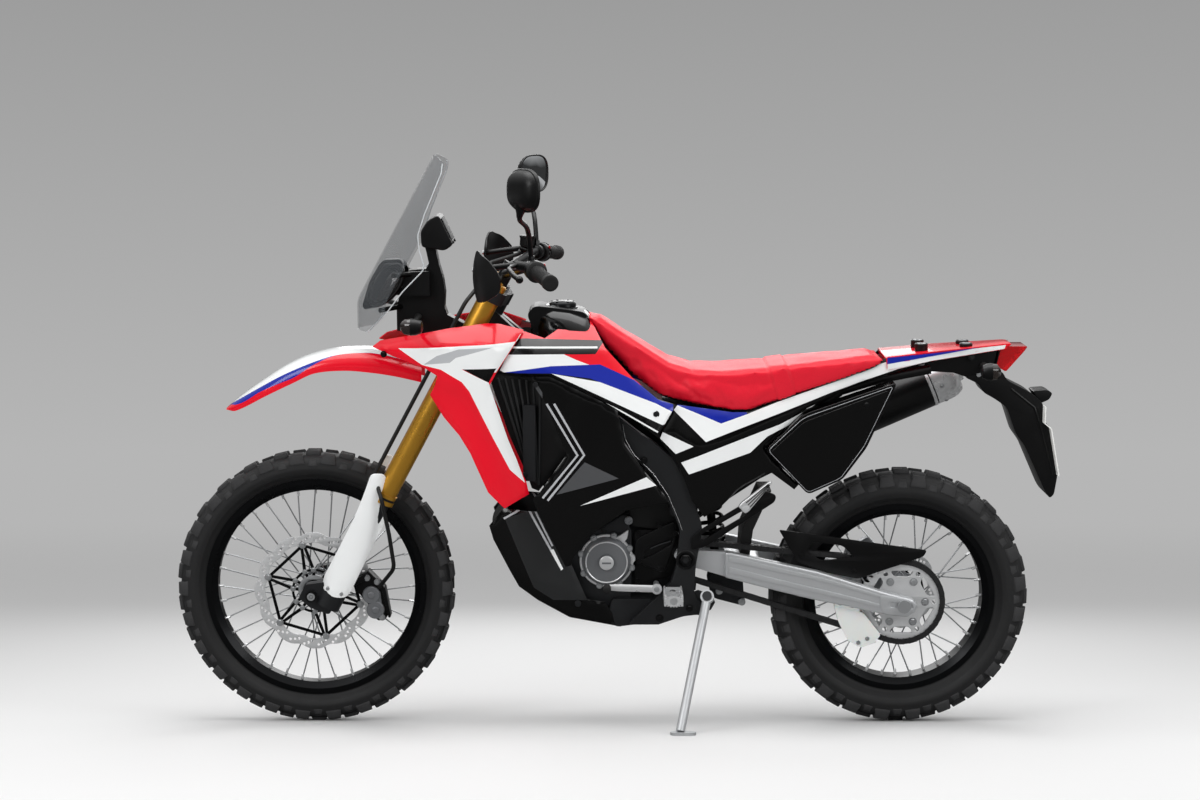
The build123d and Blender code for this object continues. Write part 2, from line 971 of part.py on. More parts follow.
tank_outline = stations(
    [
        (896, 1047), (870, 1056), (790, 1050), (783, 1040), (776, 1024), (734, 962), (668, 892),
        (720, 815), (860, 860), (880, 930), (905, 990),
    ]
)
tank_plan = stations([(960, 40), (905, 44), (870, 60), (800, 96), (640, 104)])
with BuildPart() as tank:
    add(side_slab(tank_outline, -112, 112))
    add(
        plan_slab(tank_plan + [(x, -y) for x, y in reversed(tank_plan)], 780, 1080),
        mode=Mode.INTERSECT,
    )
    add(seat_solid, mode=Mode.SUBTRACT)
    for panel in (tank_cover, shroud):
        add(panel, mode=Mode.SUBTRACT)
        add(panel.mirror(Plane.XZ), mode=Mode.SUBTRACT)
with BuildPart() as tank_cap:
    with BuildSketch(Plane(origin=(838, 0, 1045), z_dir=(0.02, 0, 1))):
        Circle(34)
    extrude(amount=18)
panels = (shroud, side_fairing, tank_cover, side_cover)


def panel_stay(x, z, y_from, radius=6.0):
    """A stay that reaches out sideways from y_from and ends on the inner faces of the panels."""
    reach = minus(rod((x, y_from, z), (x, 230, z), radius), *panels)
    return reach.solids().sort_by(Axis.Y)[0]


tank_lug = panel_stay(850, 962, 40, 8)
tank_solid = fused(tank.part, tank_cap.part, tank_lug, tank_lug.mirror(Plane.XZ))

# ---- engine, chain and drive ----
crankcase_outline = [
    (568, 340),
    (600, 305),
    (690, 283),
    (800, 300),
    (852, 350),
    (856, 460),
    (812, 520),
    (640, 535),
    (575, 500),
]
cylinder_outline = [(655, 515), (806, 500), (842, 690), (836, 785), (700, 800), (672, 700)]
alternator_x = 730.0
alternator_z = 434.0
with BuildPart() as engine:
    add(side_slab(crankcase_outline, -105, 60, 10))
    add(side_slab([(668, 300), (800, 306), (846, 352), (850, 455), (800, 510), (668, 520)], 50, 104, 8))
    add(side_slab(cylinder_outline, -75, 75, 8))
    for x, z in ((600, 325), (640, 695)):
        add(rod((x, -frame_inner, z), (x, frame_inner, z), 13))
    add(rod((800, -129, 330), (800, 129, 330), 8))
engine_solid = engine.part
keep("engine", engine_solid)

with BuildPart() as covers:
    add(rod((alternator_x, 104, alternator_z), (alternator_x, 132, alternator_z), 66))
    add(rod((alternator_x, 132, alternator_z), (alternator_x, 141, alternator_z), 40))
    add(rod((700, -148, 420), (700, -105, 420), 78))
    add(side_slab([(560, 400), (600, 360), (664, 362), (664, 510), (600, 516), (566, 490)], 60, 104, 6))
    add(
        side_slab(
            [(540, 392), (600, 378), (652, 390), (657, 448), (652, 496), (600, 506), (540, 502)],
            58,
            94,
        ),
        mode=Mode.SUBTRACT,
    )
keep("engine_covers", covers.part)

with BuildPart() as gear_lever:
    add(rod((608, 104, 376), (608, 172, 376), 7))
    add(
        side_slab(
            [(600, 368), (616, 368), (724, 374), (736, 374), (736, 388), (724, 388), (612, 388), (600, 384)],
            160,
            170,
        )
    )
    add(rod((729, 168, 381), (729, 204, 381), 9))
    add(rod((590, -166, 332), (590, -frame_outer, 332), 9))
    add(
        side_slab(
            [(580, 322), (600, 320), (660, 318), (748, 362), (744, 374), (660, 334), (600, 342), (580, 342)],
            -168,
            -158,
        )
    )
    add(rod((742, -204, 369), (742, -160, 369), 9))
keep("foot_controls", gear_lever.part)


def belt(extra, y_low, y_high):
    """The tangent loop round both sprockets at their pitch radii plus extra."""
    with BuildPart() as loop:
        with BuildSketch(Plane.XZ.offset(-y_high)):
            with Locations((0, rear_tyre_radius)):
                Circle(rear_pitch_radius + extra)
            with Locations((front_sprocket_x, front_sprocket_z)):
                Circle(front_pitch_radius + extra)
            make_hull()
        extrude(amount=y_high - y_low)
    return loop.part


link_half = 4.2
chain_loop = minus(
    belt(chain_half_height, chain_line - chain_half_width, chain_line + chain_half_width),
    belt(-chain_half_height, chain_line - 20, chain_line + 20),
    belt(tooth_height + 0.6, chain_line - link_half, chain_line + link_half),
)
keep("chain", chain_loop)
keep(
    "front_sprocket",
    fused(
        toothed_disc(
            front_sprocket_x,
            front_sprocket_z,
            chain_line - sprocket_half,
            chain_line + sprocket_half,
            front_pitch_radius - 4,
            front_pitch_radius + tooth_height,
            front_teeth,
            1.0,
        ),
        rod((front_sprocket_x, 60, front_sprocket_z), (front_sprocket_x, 88, front_sprocket_z), 13),
    ),
)

# ---- side stand ----
sin_lean = math.sin(math.radians(lean))
cos_lean = math.cos(math.radians(lean))
# The leaned tyre's lowest point lies below its upright one: at the edge of the crown of the front tyre.
front_crown_radius = front_rim_radius + (front_tyre_radius - front_rim_radius) * 0.975
lift = crown_edge * sin_lean - (front_tyre_radius - front_crown_radius) * cos_lean
floor_normal = Vector(0, -sin_lean, cos_lean)
stand_hinge = Vector(484, 150, 352)
stand_foot = Vector(
    554,
    stand_foot_side * cos_lean + lift * sin_lean,
    stand_foot_side * sin_lean - lift * cos_lean,
)
stand_down = (stand_foot - stand_hinge).normalized()
stand_folded = Vector(-0.985, 0.04, 0.155).normalized()
stand_axis = stand_down.cross(stand_folded).normalized()
stand_range = math.degrees(math.acos(stand_down.dot(stand_folded)))


def on_stand_axis(distance):
    """A point on the stand's hinge line, outwards from the middle of its eye."""
    return stand_hinge + stand_axis * distance


foot_top = stand_foot + floor_normal * stand_foot_thickness
side_stand = minus(
    fused(
        rod(on_stand_axis(-7), on_stand_axis(7), 16.5),
        rod(stand_hinge + stand_down * 14.5, foot_top - stand_down * 2, stand_leg_radius),
        rod(stand_foot, foot_top, stand_foot_radius),
        rod(stand_foot + Vector(-14, 0, 0), foot_top + Vector(-14, 0, 0), stand_foot_radius),
    ),
    rod(on_stand_axis(-9), on_stand_axis(9), 7 + shaft_gap),
)
keep("side_stand", side_stand)
stand_bracket = fused(
    rod(on_stand_axis(-30), on_stand_axis(-7.6), 11.5),
    rod(on_stand_axis(-12), on_stand_axis(12), 7),
    rod(on_stand_axis(7.6), on_stand_axis(12), 11.5),
    side_slab(
        [(548, 302), (548, 345), (505, 362), (478, 352), (464, 334), (474, 316), (500, 303)],
        116,
        134,
    ),
)

# ---- frame and swingarm ----
frame_outline = [
    (697, 785),
    (690, 741),
    (669, 702),
    (621, 654),
    (586, 602),
    (560, 541),
    (551, 515),
    (560, 428),
    (573, 384),
    (677, 280),
    (603, 280),
    (542, 301),
    (501, 306),
    (499, 332),
    (516, 358),
    (512, 428),
    (497, 515),
    (499, 532),
    (521, 602),
    (542, 645),
    (568, 693),
    (621, 737),
]
beam_outline = stations(
    [
        (1078, 938), (1012, 1050), (960, 1004), (820, 880), (690, 788), (640, 748), (690, 690),
        (760, 735), (960, 868),
    ]
)
beam_plan = stations(
    [
        (1060, 0), (1060, 28), (1000, 44), (955, 52), (930, 70), (720, 140), (600, 140), (600, 112),
        (715, 112), (900, 46), (940, 28), (990, 0),
    ]
)
with BuildPart() as beam:
    add(side_slab(beam_outline, 0, 160))
    add(plan_slab(beam_plan, 600, 1100), mode=Mode.INTERSECT)
head_low = lower_clamp_high + 1
head_high = upper_clamp_low - 1
frame_stays = [
    panel_stay(station(900), 880, 50),
    panel_stay(640, 640, frame_inner + 4),
    panel_stay(585, 745, 70),
]
half_frame = fused(
    side_slab(frame_outline, frame_inner, frame_outer, 3),
    beam.part,
    rod((pivot_x, 0, pivot_z), (pivot_x, frame_outer + 6, pivot_z), 9),
    rod((560, 0, 560), (560, frame_inner + 2, 560), 16),
    rod((600, 0, 296), (600, frame_inner + 2, 296), 11),
    rod((station(916), 58, 818), (station(916), 58, 856), 8),
    rod((585, 0, 745), (585, frame_inner, 745), 11),
    side_slab([(600, 735), (600, 757), (585, 762), (482, 716), (480, 690), (505, 684)], 0, 13),
)
with BuildPart() as frame:
    add(both_sides(half_frame))
    add(fork_rod(0, 0, head_low, head_high, 28))
    add(stand_bracket)
    for stay in frame_stays:
        add(stay)
        add(stay.mirror(Plane.XZ))
    add(fork_rod(0, 0, 600, 900, 14.05), mode=Mode.SUBTRACT)
    for other in (engine_solid, tank_solid):
        add(other, mode=Mode.SUBTRACT)
frame_solid = frame.part
keep("frame", frame_solid)

arm_outline = on_arm([
    (560, 448),
    (556, 462),
    (487, 459),
    (421, 455),
    (337, 436),
    (211, 408),
    (47, 356),
    (-23, 338),
    (-36, 323),
    (-28, 305),
    (-9, 293),
    (37, 298),
    (131, 319),
    (225, 338),
    (318, 361),
    (431, 391),
    (501, 412),
    (545, 424),
])
arm_plan = [
    (565, 88), (565, frame_inner - seat_gap), (480, frame_inner - seat_gap), (430, arm_outer),
    (-60, arm_outer), (-60, arm_inner), (400, arm_inner), (440, 88),
]
with BuildPart() as arm_half:
    add(side_slab(arm_outline, 80, 130))
    add(plan_slab(arm_plan, 250, 500), mode=Mode.INTERSECT)
with BuildPart() as swingarm:
    add(both_sides(arm_half.part))
    add(side_slab([(345, 388), (432, 398), (440, 440), (350, 434)], -arm_inner, arm_inner))
    for side in (-1, 1):
        low, high = sorted((side * 88, side * (frame_inner - seat_gap)))
        add(rod((pivot_x, low, pivot_z), (pivot_x, high, pivot_z), pivot_boss_radius))
    add(rod((pivot_x, -130, pivot_z), (pivot_x, 130, pivot_z), 9 + shaft_gap), mode=Mode.SUBTRACT)
    add(
        rod((0, -130, rear_tyre_radius), (0, 130, rear_tyre_radius), rear_axle_radius + shaft_gap),
        mode=Mode.SUBTRACT,
    )
swingarm_solid = minus(swingarm.part, engine_solid, frame_solid)
keep("swingarm", swingarm_solid)

with BuildPart() as axle:
    add(rod((0, -arm_outer - 1, rear_tyre_radius), (0, arm_outer + 1, rear_tyre_radius), rear_axle_radius))
    add(
        rod(
            (0, chain_line + sprocket_half + seat_gap, rear_tyre_radius),
            (0, arm_inner - seat_gap, rear_tyre_radius),
            13,
        )
    )
    add(
        rod(
            (0, -arm_inner + seat_gap, rear_tyre_radius),
            (0, rear_disc_plane - seat_gap, rear_tyre_radius),
            13,
        )
    )
    for side in (-1, 1):
        low, high = sorted((side * (arm_outer + seat_gap), side * (arm_outer + 12)))
        add(rod((0, low, rear_tyre_radius), (0, high, rear_tyre_radius), 16))
keep("rear_axle", axle.part)

chain_guard_outline = on_arm(
    [(307, 508), (-59, 456), (-50, 440), (-8, 425), (110, 384), (200, 402), (260, 428)]
)
keep("chain_guard", side_slab(chain_guard_outline, 89.5, arm_inner))
guide = minus(
    fused(
        side_slab(
            on_arm([(168, 318), (95, 298), (50, 241), (66, 223), (99, 208), (132, 227), (156, 274)]),
            64,
            arm_inner,
        ),
        side_slab(on_arm([(100, 290), (168, 300), (168, 335), (104, 335)]), 89, arm_inner),
    ),
    side_slab(on_arm([(20, 213), (60, 226), (128, 247), (185, 265), (185, 420), (20, 420)]), 68, 89),
    swingarm_solid,
)
guide = guide.solids().sort_by(SortBy.VOLUME)[-1]
keep("chain_guide", guide)

rear_disc_mid = rear_disc_plane + disc_thickness / 2
rear_caliper_outline = on_arm([(38, 420), (78, 386), (96, 350), (138, 362), (120, 420), (70, 452)])
rear_caliper = minus(
    side_slab(rear_caliper_outline, -arm_inner, rear_disc_mid + 17),
    ring_about(
        rear_axle,
        [
            (rear_disc_mid - 7, 50), (rear_disc_mid - 7, rear_disc_radius + 5),
            (rear_disc_mid + 7, rear_disc_radius + 5), (rear_disc_mid + 7, 50),
        ],
    ),
)
keep("rear_caliper", rear_caliper)

with BuildPart() as shock:
    add(rod((450, 0, 342), (486, 0, 690), 12))
    add(rod((461, 0, 455), (484, 0, 668), 31))
    add(rod((486, -24, 692), (486, 24, 692), 15))
    for low, high in ((-34, -24), (24, 34)):
        add(side_slab([(385, 300), (468, 322), (480, 372), (450, 402), (392, 400)], low, high))
    add(rod((392, -40, 312), (392, 40, 312), 9))
    add(rod((449, -40, 340), (449, 40, 340), 9))
shock_solid = minus(shock.part, swingarm_solid, engine_solid, frame_solid)
keep("rear_shock", shock_solid)
mudguard_outline = [(324, 599), (353, 599), (396, 500), (400, 434), (376, 434), (368, 500)]
keep("inner_mudguard", minus(side_slab(mudguard_outline, -62, 62), swingarm_solid))

# ---- subframe, seat, tank and tail ----
subframe_tray = [
    (592, 824), (501, 808), (426, 797), (385, 797), (269, 836), (154, 872), (60, 896), (60, 866),
    (154, 842), (269, 806), (385, 768), (500, 772), (592, 790),
]
tail_tray = [
    (62, 900), (-24, 908), (-224, 946), (-214, 896), (-146, 881), (-119, 890), (-68, 893),
    (19, 889), (62, 866),
]
rail_top = [(612, 84, 752), (560, 78, 775), (400, 70, 775), (60, 62, 878), (-60, 58, 900)]
rail_low = [(538, 96, 592), (440, 84, 650), (160, 66, 845)]
with BuildPart() as sub_half:
    add(side_slab(subframe_tray, 0, 66))
    add(side_slab(tail_tray, 0, 44))
    add(tube(rail_top, 11, [40, 60, 80]))
    add(tube(rail_low, 10, [60]))
    add(rod((560, 66, 775), (560, frame_inner, 775), 9))
    for x, z in ((430, 780), (180, 860), (-60, 929)):
        add(panel_stay(x, z, 40))
with BuildPart() as subframe:
    add(both_sides(sub_half.part))
    for other in (frame_solid, tank_solid, seat_solid, shock_solid, engine_solid):
        add(other, mode=Mode.SUBTRACT)
    for panel in panels:
        add(panel, mode=Mode.SUBTRACT)
        add(panel.mirror(Plane.XZ), mode=Mode.SUBTRACT)

tail_outline = [(52, 932), (-263, 962), (-248, 948), (-24, 916), (48, 900)]
tail_plan = [(52, 90), (-100, 74), (-263, 44)]
boss_points = [(-40, 36), (-40, -36), (-150, 30), (-150, -30)]
boss_radius = 11.0
boss_bore = 4.0
boss_depth = 22.0
boss_top = 962.0
with BuildPart() as tail:
    add(side_slab(tail_outline, -100, 100))
    add(plan_slab(tail_plan + [(x, -y) for x, y in reversed(tail_plan)], 880, 980), mode=Mode.INTERSECT)
    add(side_cover, mode=Mode.SUBTRACT)
    add(side_cover.mirror(Plane.XZ), mode=Mode.SUBTRACT)
    add(seat_solid, mode=Mode.SUBTRACT)
    for x, y in boss_points:
        add(rod((x, y, 860), (x, y, 990), boss_radius + seat_gap), mode=Mode.SUBTRACT)
tail_solid = tail.part
keep("tail_cover", tail_solid)
subframe_solid = minus(subframe.part, tail_solid)
subframe_solid = subframe_solid.solids().sort_by(SortBy.VOLUME)[-1]
keep("subframe", subframe_solid)
with BuildPart() as bosses:
    for x, y in boss_points:
        add(rod((x, y, 908), (x, y, boss_top), boss_radius))
    for x, y in boss_points:
        add(rod((x, y, boss_top - boss_depth), (x, y, boss_top + 2), boss_bore), mode=Mode.SUBTRACT)
    add(subframe_solid, mode=Mode.SUBTRACT)
keep("rack_bosses", bosses.part)
keep("seat", seat_solid)
keep("fuel_tank", tank_solid)
keep("shrouds", both_sides(shroud))
keep("side_fairings", both_sides(side_fairing))
keep("tank_covers", both_sides(tank_cover))
keep("side_covers", both_sides(side_cover))

light_outline = [(-232, 956), (-302, 956), (-246, 888), (-220, 905)]
tail_light = minus(
    side_slab(light_outline, -42, 42),
    tail_solid,
    subframe_solid,
    side_cover,
    side_cover.mirror(Plane.XZ),
)
keep("tail_light", tail_light)

rear_fender_outline = [
    (-240, 893),
    (-250, 872),
    (-308, 843),
    (-340, 814),
    (-342, 772),
    (-357, 759),
    (-379, 639),
    (-372, 590),
    (-362, 580),
    (-350, 597),
    (-298, 710),
    (-276, 739),
    (-253, 804),
    (-221, 826),
    (-195, 840),
    (-182, 862),
    (-146, 879),
    (-180, 890),
    (-212, 895),
]
rear_fender_plan = [(-100, 44), (-250, 44), (-340, 62), (-390, 66)]
with BuildPart() as rear_fender:
    add(side_slab(rear_fender_outline, -70, 70))
    add(
        plan_slab(rear_fender_plan + [(x, -y) for x, y in reversed(rear_fender_plan)], 560, 900),
        mode=Mode.INTERSECT,
    )
rear_fender_solid = minus(rear_fender.part, subframe_solid, tail_light, tail_solid)
keep("rear_fender", rear_fender_solid)
keep(
    "number_plate",
    minus(
        side_slab(
            [
                (-376, 640), (-354, 757), (-338, 770), (-338, 812), (-344, 812), (-345, 772),
                (-360, 759), (-383, 641),
            ],
            -88,
            88,
        ),
        rear_fender_solid,
    ),
)

rear_stalk = rod((-190, 40, 900), (-191, 132, 906), 7)
rear_signal = fused(rear_stalk, rod((-170, 152, 906), (-214, 152, 908), 22))
rear_signal = minus(rear_signal, subframe_solid, side_cover, rear_fender_solid, tail_solid)
front_signal = fused(
    rod((station(1190), 30, 1024), (station(1190), 215, 1024), 7),
    rod((station(1163), 232, 1026), (station(1216), 232, 1026), 21),
)
fairing_stay_outline = stations(
    [
        (1046, 945),
        (1036, 990),
        (1080, 1010),
        (1119, 1030),
        (1126, 1050),
        (1124, 1085),
        (1129, 1120),
        (1139, 1155),
        (1148, 1200),
        (1173, 1200),
        (1169, 1185),
        (1163, 1156),
        (1170, 1143),
        (1214, 1139),
        (1226, 1120),
        (1243, 1046),
        (1243, 991),
        (1150, 978),
    ]
)
lamp_bracket = stations(
    [(1160, 1080), (1160, 1139), (1212, 1137), (1222, 1118), (1230, 1080)]
)
with BuildPart() as stay_part:
    add(side_slab(fairing_stay_outline, -24, 24))
    add(side_slab(lamp_bracket, -50, 50))
    for side in (-1, 1):
        add(rod((station(1190), side * 20, 1130), (station(1250), side * 112, 1134), 6))
        add(rod((station(1232), side * 20, 1050), (station(1281), side * 112, 1050), 6))
        add(rod((station(1205), side * 20, 1090), (station(1270), side * 20, 1090), 12))
    add(frame_solid, mode=Mode.SUBTRACT)

screen_front = station(1342)
screen_bend = 1070.0
screen_slope = Vector(-194, 0, 352)
screen_curve = [(0, 0), (-4, 22), (-14, 48), (-30, 76), (-52, 98), (-78, 112)]
screen_wall = 3.0


def screen_prism(x_front, z_low, rise):
    """The windscreen's bent sheet, its plan curve drawn from x_front at z_low and extruded along rise."""
    outer = [(x_front + x, y) for x, y in screen_curve]
    inner = [(x_front + x - screen_wall * 1.3, max(0, y - screen_wall * 0.4)) for x, y in screen_curve]
    half = outer + inner[::-1]
    with BuildPart() as sheet:
        with BuildSketch(Plane.XY.offset(z_low)):
            Polygon(*half, align=None)
            Polygon(*[(x, -y) for x, y in half], align=None)
        extrude(amount=rise.length, dir=rise.normalized())
    return sheet.part


screen_outline = stations([
    (1148, 1422),
    (1350, 1075),
    (1350, 994),
    (1309, 994),
    (1262, 1040),
    (1220, 1095),
    (1166, 1150),
    (1179, 1202),
    (1181, 1231),
    (1165, 1280),
    (1124, 1378),
    (1120, 1400),
])
with BuildPart() as screen:
    add(screen_prism(screen_front, 994, Vector(0, 0, screen_bend - 994)))
    add(screen_prism(screen_front, screen_bend, screen_slope))
    add(side_slab(screen_outline, -120, 120), mode=Mode.INTERSECT)
headlight_outline = stations(
    [
        (1290, 1156),
        (1279, 1166),
        (1226, 1168),
        (1221, 1118),
        (1251, 1070),
        (1296, 1045),
        (1327, 1038),
        (1334, 1052),
        (1313, 1115),
    ]
)
headlight = minus(side_slab(headlight_outline, -62, 62, 4), screen.part)
headlight = headlight.solids().sort_by(SortBy.VOLUME)[-1]
instrument_outline = stations(
    [(1163, 1262), (1136, 1276), (1101, 1204), (1122, 1189), (1178, 1198), (1180, 1236)]
)
instrument = side_slab(instrument_outline, -56, 56, 3)
stay_solid = minus(stay_part.part, screen.part, headlight, instrument)
stay_solid = stay_solid.solids().sort_by(SortBy.VOLUME)[-1]
keep("windscreen", screen.part)
keep("headlight", headlight)
keep("instrument", instrument)
keep("fairing_stay", stay_solid)
with BuildPart() as signals:
    for signal in (minus(front_signal, stay_solid), rear_signal):
        add(signal)
        add(signal.mirror(Plane.XZ))
keep("turn_signals", signals.part)

side_box = side_slab(
    [(345, 715), (262, 796), (244, 806), (30, 880), (101, 720), (158, 642), (241, 605)],
    78,
    150,
    8,
)
keep("side_box", minus(side_box, side_cover, subframe_solid))

radiator = both_sides(side_slab(stations([(902, 640), (932, 640), (932, 826), (902, 826)]), 34, 150, 4))
with BuildPart() as shroud_stay:
    add(rod((station(925), 140, 655), (station(953), 230, 660), 7))
    add(shroud, mode=Mode.SUBTRACT)
shroud_stay_solid = shroud_stay.part.solids().sort_by(Axis.Y)[0]
keep("radiator", minus(fused(radiator, shroud_stay_solid, shroud_stay_solid.mirror(Plane.XZ)), frame_solid))

pipe_radius = 19.0
pipe_points = [
    (806, -30, 690),
    (station(878), -46, 672),
    (850, -134, 562),
    (715, -148, 521),
    (560, -172, 526),
    (420, -170, 607),
    (300, -168, 659),
]
pipe = minus(tube(pipe_points, pipe_radius, [34, 44, 60, 80, 80]), engine_solid)
pipe = pipe.solids().sort_by(SortBy.VOLUME)[-1]
muffler_start = Vector(300, -168, 659)
muffler_end = Vector(-150, -170, 856)
muffler_along = (muffler_end - muffler_start).normalized()
with BuildPart() as muffler:
    with BuildSketch(Plane(origin=muffler_start, z_dir=muffler_along)):
        Circle(30)
    with BuildSketch(Plane(origin=muffler_start + muffler_along * 110, z_dir=muffler_along)):
        Circle(56)
    loft()
    add(rod(muffler_start + muffler_along * 110, muffler_end, 56))
    add(rod(muffler_end, muffler_end + muffler_along * 22, 42))
    add(rod((60, -70, 800), (60, -170, 800), 8))
    add(pipe, mode=Mode.SUBTRACT)
    add(subframe_solid, mode=Mode.SUBTRACT)
    add(side_cover.mirror(Plane.XZ), mode=Mode.SUBTRACT)
keep("exhaust_pipe", pipe)
keep("muffler", muffler.part)

with BuildPart() as pegs:
    add(side_slab([(546, 348), (592, 348), (592, 382), (546, 382)], 152, 250, 4))
    add(rod((569, frame_outer, 364), (569, 156, 364), 10))
rider_pegs = both_sides(pegs.part)


def passenger_peg(plate_y, foot_y):
    """A bracket up and back from the frame plate, with the peg folded along it."""
    with BuildPart() as peg:
        add(
            side_slab(
                [(524, 468), (524, 500), (500, 520), (345, 616), (318, 604), (322, 588), (490, 476)],
                plate_y,
                plate_y + 8,
            )
        )
        if foot_y < plate_y:
            add(rod((509, foot_y, 490), (509, plate_y + 1, 490), 9))
        add(rod((400, plate_y + 18, 566), (334, plate_y + 22, 638), 11))
        add(rod((392, plate_y + 4, 566), (396, plate_y + 20, 568), 9))
    return peg.part


with BuildPart() as passenger:
    add(rider_pegs)
    add(passenger_peg(frame_outer, frame_outer))
    add(passenger_peg(198, frame_outer).mirror(Plane.XZ))
keep("footpegs", passenger.part)

# ---- the whole machine leans onto its stand, with the middle of its box over the origin ----
leaned = {name: part.rotate(Axis.X, -lean) for name, part in built.items()}
boxes = [part.bounding_box() for part in leaned.values()]
shift = Vector(
    -(min(b.min.X for b in boxes) + max(b.max.X for b in boxes)) / 2,
    -(min(b.min.Y for b in boxes) + max(b.max.Y for b in boxes)) / 2,
    -min(b.min.Z for b in boxes),
)
os.makedirs("parts", exist_ok=True)
for name, part in leaned.items():
    placed = part.moved(Location(shift))
    placed.label = name
    export_step(placed, f"parts/{name}.step")
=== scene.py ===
"""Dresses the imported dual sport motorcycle: tyres, wheels, bodywork, seat, engine and small parts."""

import json
import math

import bmesh
import bpy
from mathutils import Euler, Matrix, Vector, geometry


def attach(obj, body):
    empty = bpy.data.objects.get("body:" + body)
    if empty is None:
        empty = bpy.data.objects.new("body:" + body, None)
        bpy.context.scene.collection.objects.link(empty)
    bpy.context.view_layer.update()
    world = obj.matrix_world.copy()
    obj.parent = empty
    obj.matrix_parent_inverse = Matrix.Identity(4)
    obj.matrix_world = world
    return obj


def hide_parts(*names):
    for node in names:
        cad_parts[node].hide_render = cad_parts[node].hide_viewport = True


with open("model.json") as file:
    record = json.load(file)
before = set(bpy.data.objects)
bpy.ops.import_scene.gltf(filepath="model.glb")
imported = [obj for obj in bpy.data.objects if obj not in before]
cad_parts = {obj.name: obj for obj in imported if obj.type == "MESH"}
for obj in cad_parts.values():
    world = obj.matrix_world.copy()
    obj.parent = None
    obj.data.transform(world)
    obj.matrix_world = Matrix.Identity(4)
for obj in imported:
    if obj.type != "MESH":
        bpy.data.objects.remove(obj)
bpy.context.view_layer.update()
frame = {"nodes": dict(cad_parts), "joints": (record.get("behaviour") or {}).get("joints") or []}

bl_info = {
    "name": "Dual Sport Motorcycle",
    "version": (1, 0, 0),
    "blender": (4, 5, 0),
    "location": "View3D > Sidebar > Motorcycle",
    "description": "Builds the visible surfaces of a dual sport motorcycle on its packed frame",
    "category": "Object",
}

# ---------------------------------------------------------------- frames of reference
# Pieces are drawn on the upright machine: x forward from the rear axle, y left, z up, in millimetres.
JOINTS = {joint["name"]: joint for joint in frame["joints"]}
REAR_RADIUS = 323.0
SIDE = Vector(JOINTS["rear_wheel_spin"]["axis"]).normalized()
AHEAD = Vector((1.0, 0.0, 0.0))
UP = AHEAD.cross(SIDE)
REAR_AXLE = Vector(JOINTS["rear_wheel_spin"]["pos_m"])
LEAN = Matrix((AHEAD, SIDE, UP)).transposed().to_4x4()
METRES = 0.001
ROW = Matrix.Translation(REAR_AXLE - UP * REAR_RADIUS * METRES) @ LEAN @ Matrix.Scale(METRES, 4)
UPRIGHT = ROW.inverted()
FRONT_AXLE = UPRIGHT @ Vector(JOINTS["front_wheel_spin"]["pos_m"])
STEER_UP = (UPRIGHT.to_3x3() @ Vector(JOINTS["steering"]["axis"])).normalized()
STEER_FOOT = UPRIGHT @ Vector(JOINTS["steering"]["pos_m"])
STEER_AHEAD = Vector((0, 1, 0)).cross(STEER_UP)
FORK = Matrix.Translation(STEER_FOOT) @ Matrix((STEER_AHEAD, (0, 1, 0), STEER_UP)).transposed().to_4x4()


def mix(a, b, t):
    """The value a share t of the way from a to b."""
    return a + (b - a) * t


def smoothstep(low, high, value):
    """0 below low, 1 above high and a soft change in between."""
    t = min(1.0, max(0.0, (value - low) / (high - low)))
    return t * t * (3 - 2 * t)


def curve_at(table, x):
    """The y of a soft curve through table, a list of (x, y) in either order of x."""
    rows = sorted(table)
    if x <= rows[0][0]:
        return rows[0][1]
    for i in range(len(rows) - 1):
        (x0, y0), (x1, y1) = rows[i], rows[i + 1]
        if x <= x1:
            before = rows[i - 1] if i else (x0 - (x1 - x0), y0 - (y1 - y0))
            after = rows[i + 2] if i + 2 < len(rows) else (x1 + (x1 - x0), y1 + (y1 - y0))
            span = x1 - x0
            slope0 = (y1 - before[1]) / (x1 - before[0]) * span
            slope1 = (after[1] - y0) / (after[0] - x0) * span
            t = (x - x0) / span
            return (
                (2 * t**3 - 3 * t**2 + 1) * y0
                + (t**3 - 2 * t**2 + t) * slope0
                + (3 * t**2 - 2 * t**3) * y1
                + (t**3 - t**2) * slope1
            )
    return rows[-1][1]


def line_distance(point, a, b):
    """Distance in the plane from point to the stretch from a to b."""
    ax, az = a
    dx, dz = b[0] - ax, b[1] - az
    length = dx * dx + dz * dz or 1.0
    t = min(1.0, max(0.0, ((point[0] - ax) * dx + (point[1] - az) * dz) / length))
    return math.hypot(point[0] - ax - t * dx, point[1] - az - t * dz)


def ring_distance(point, ring):
    """Distance in the plane from point to a closed ring."""
    return min(line_distance(point, a, b) for a, b in zip(ring, ring[1:] + ring[:1]))


def inside(point, ring):
    """True if point lies in the polygon ring."""
    x, z = point
    hit = False
    for (x0, z0), (x1, z1) in zip(ring, ring[1:] + ring[:1]):
        if (z0 > z) != (z1 > z) and x < (x1 - x0) * (z - z0) / (z1 - z0) + x0:
            hit = not hit
    return hit


def stripe(path, width, taper=1.0):
    """The ring round a polyline of that width, narrowing to width * taper at its end."""
    left, right = [], []
    for i, (x, z) in enumerate(path):
        before = path[max(0, i - 1)]
        after = path[min(len(path) - 1, i + 1)]
        dx, dz = after[0] - before[0], after[1] - before[1]
        length = math.hypot(dx, dz)
        half = mix(width, width * taper, i / (len(path) - 1)) / 2
        left.append((x - dz / length * half, z + dx / length * half))
        right.append((x + dz / length * half, z - dx / length * half))
    return left + right[::-1]


# ---------------------------------------------------------------- materials
def linear(hex_colour):
    """An sRGB hex colour as linear RGBA."""
    values = [int(hex_colour[i : i + 2], 16) / 255 for i in (1, 3, 5)]
    return [v / 12.92 if v <= 0.04045 else ((v + 0.055) / 1.055) ** 2.4 for v in values] + [1.0]


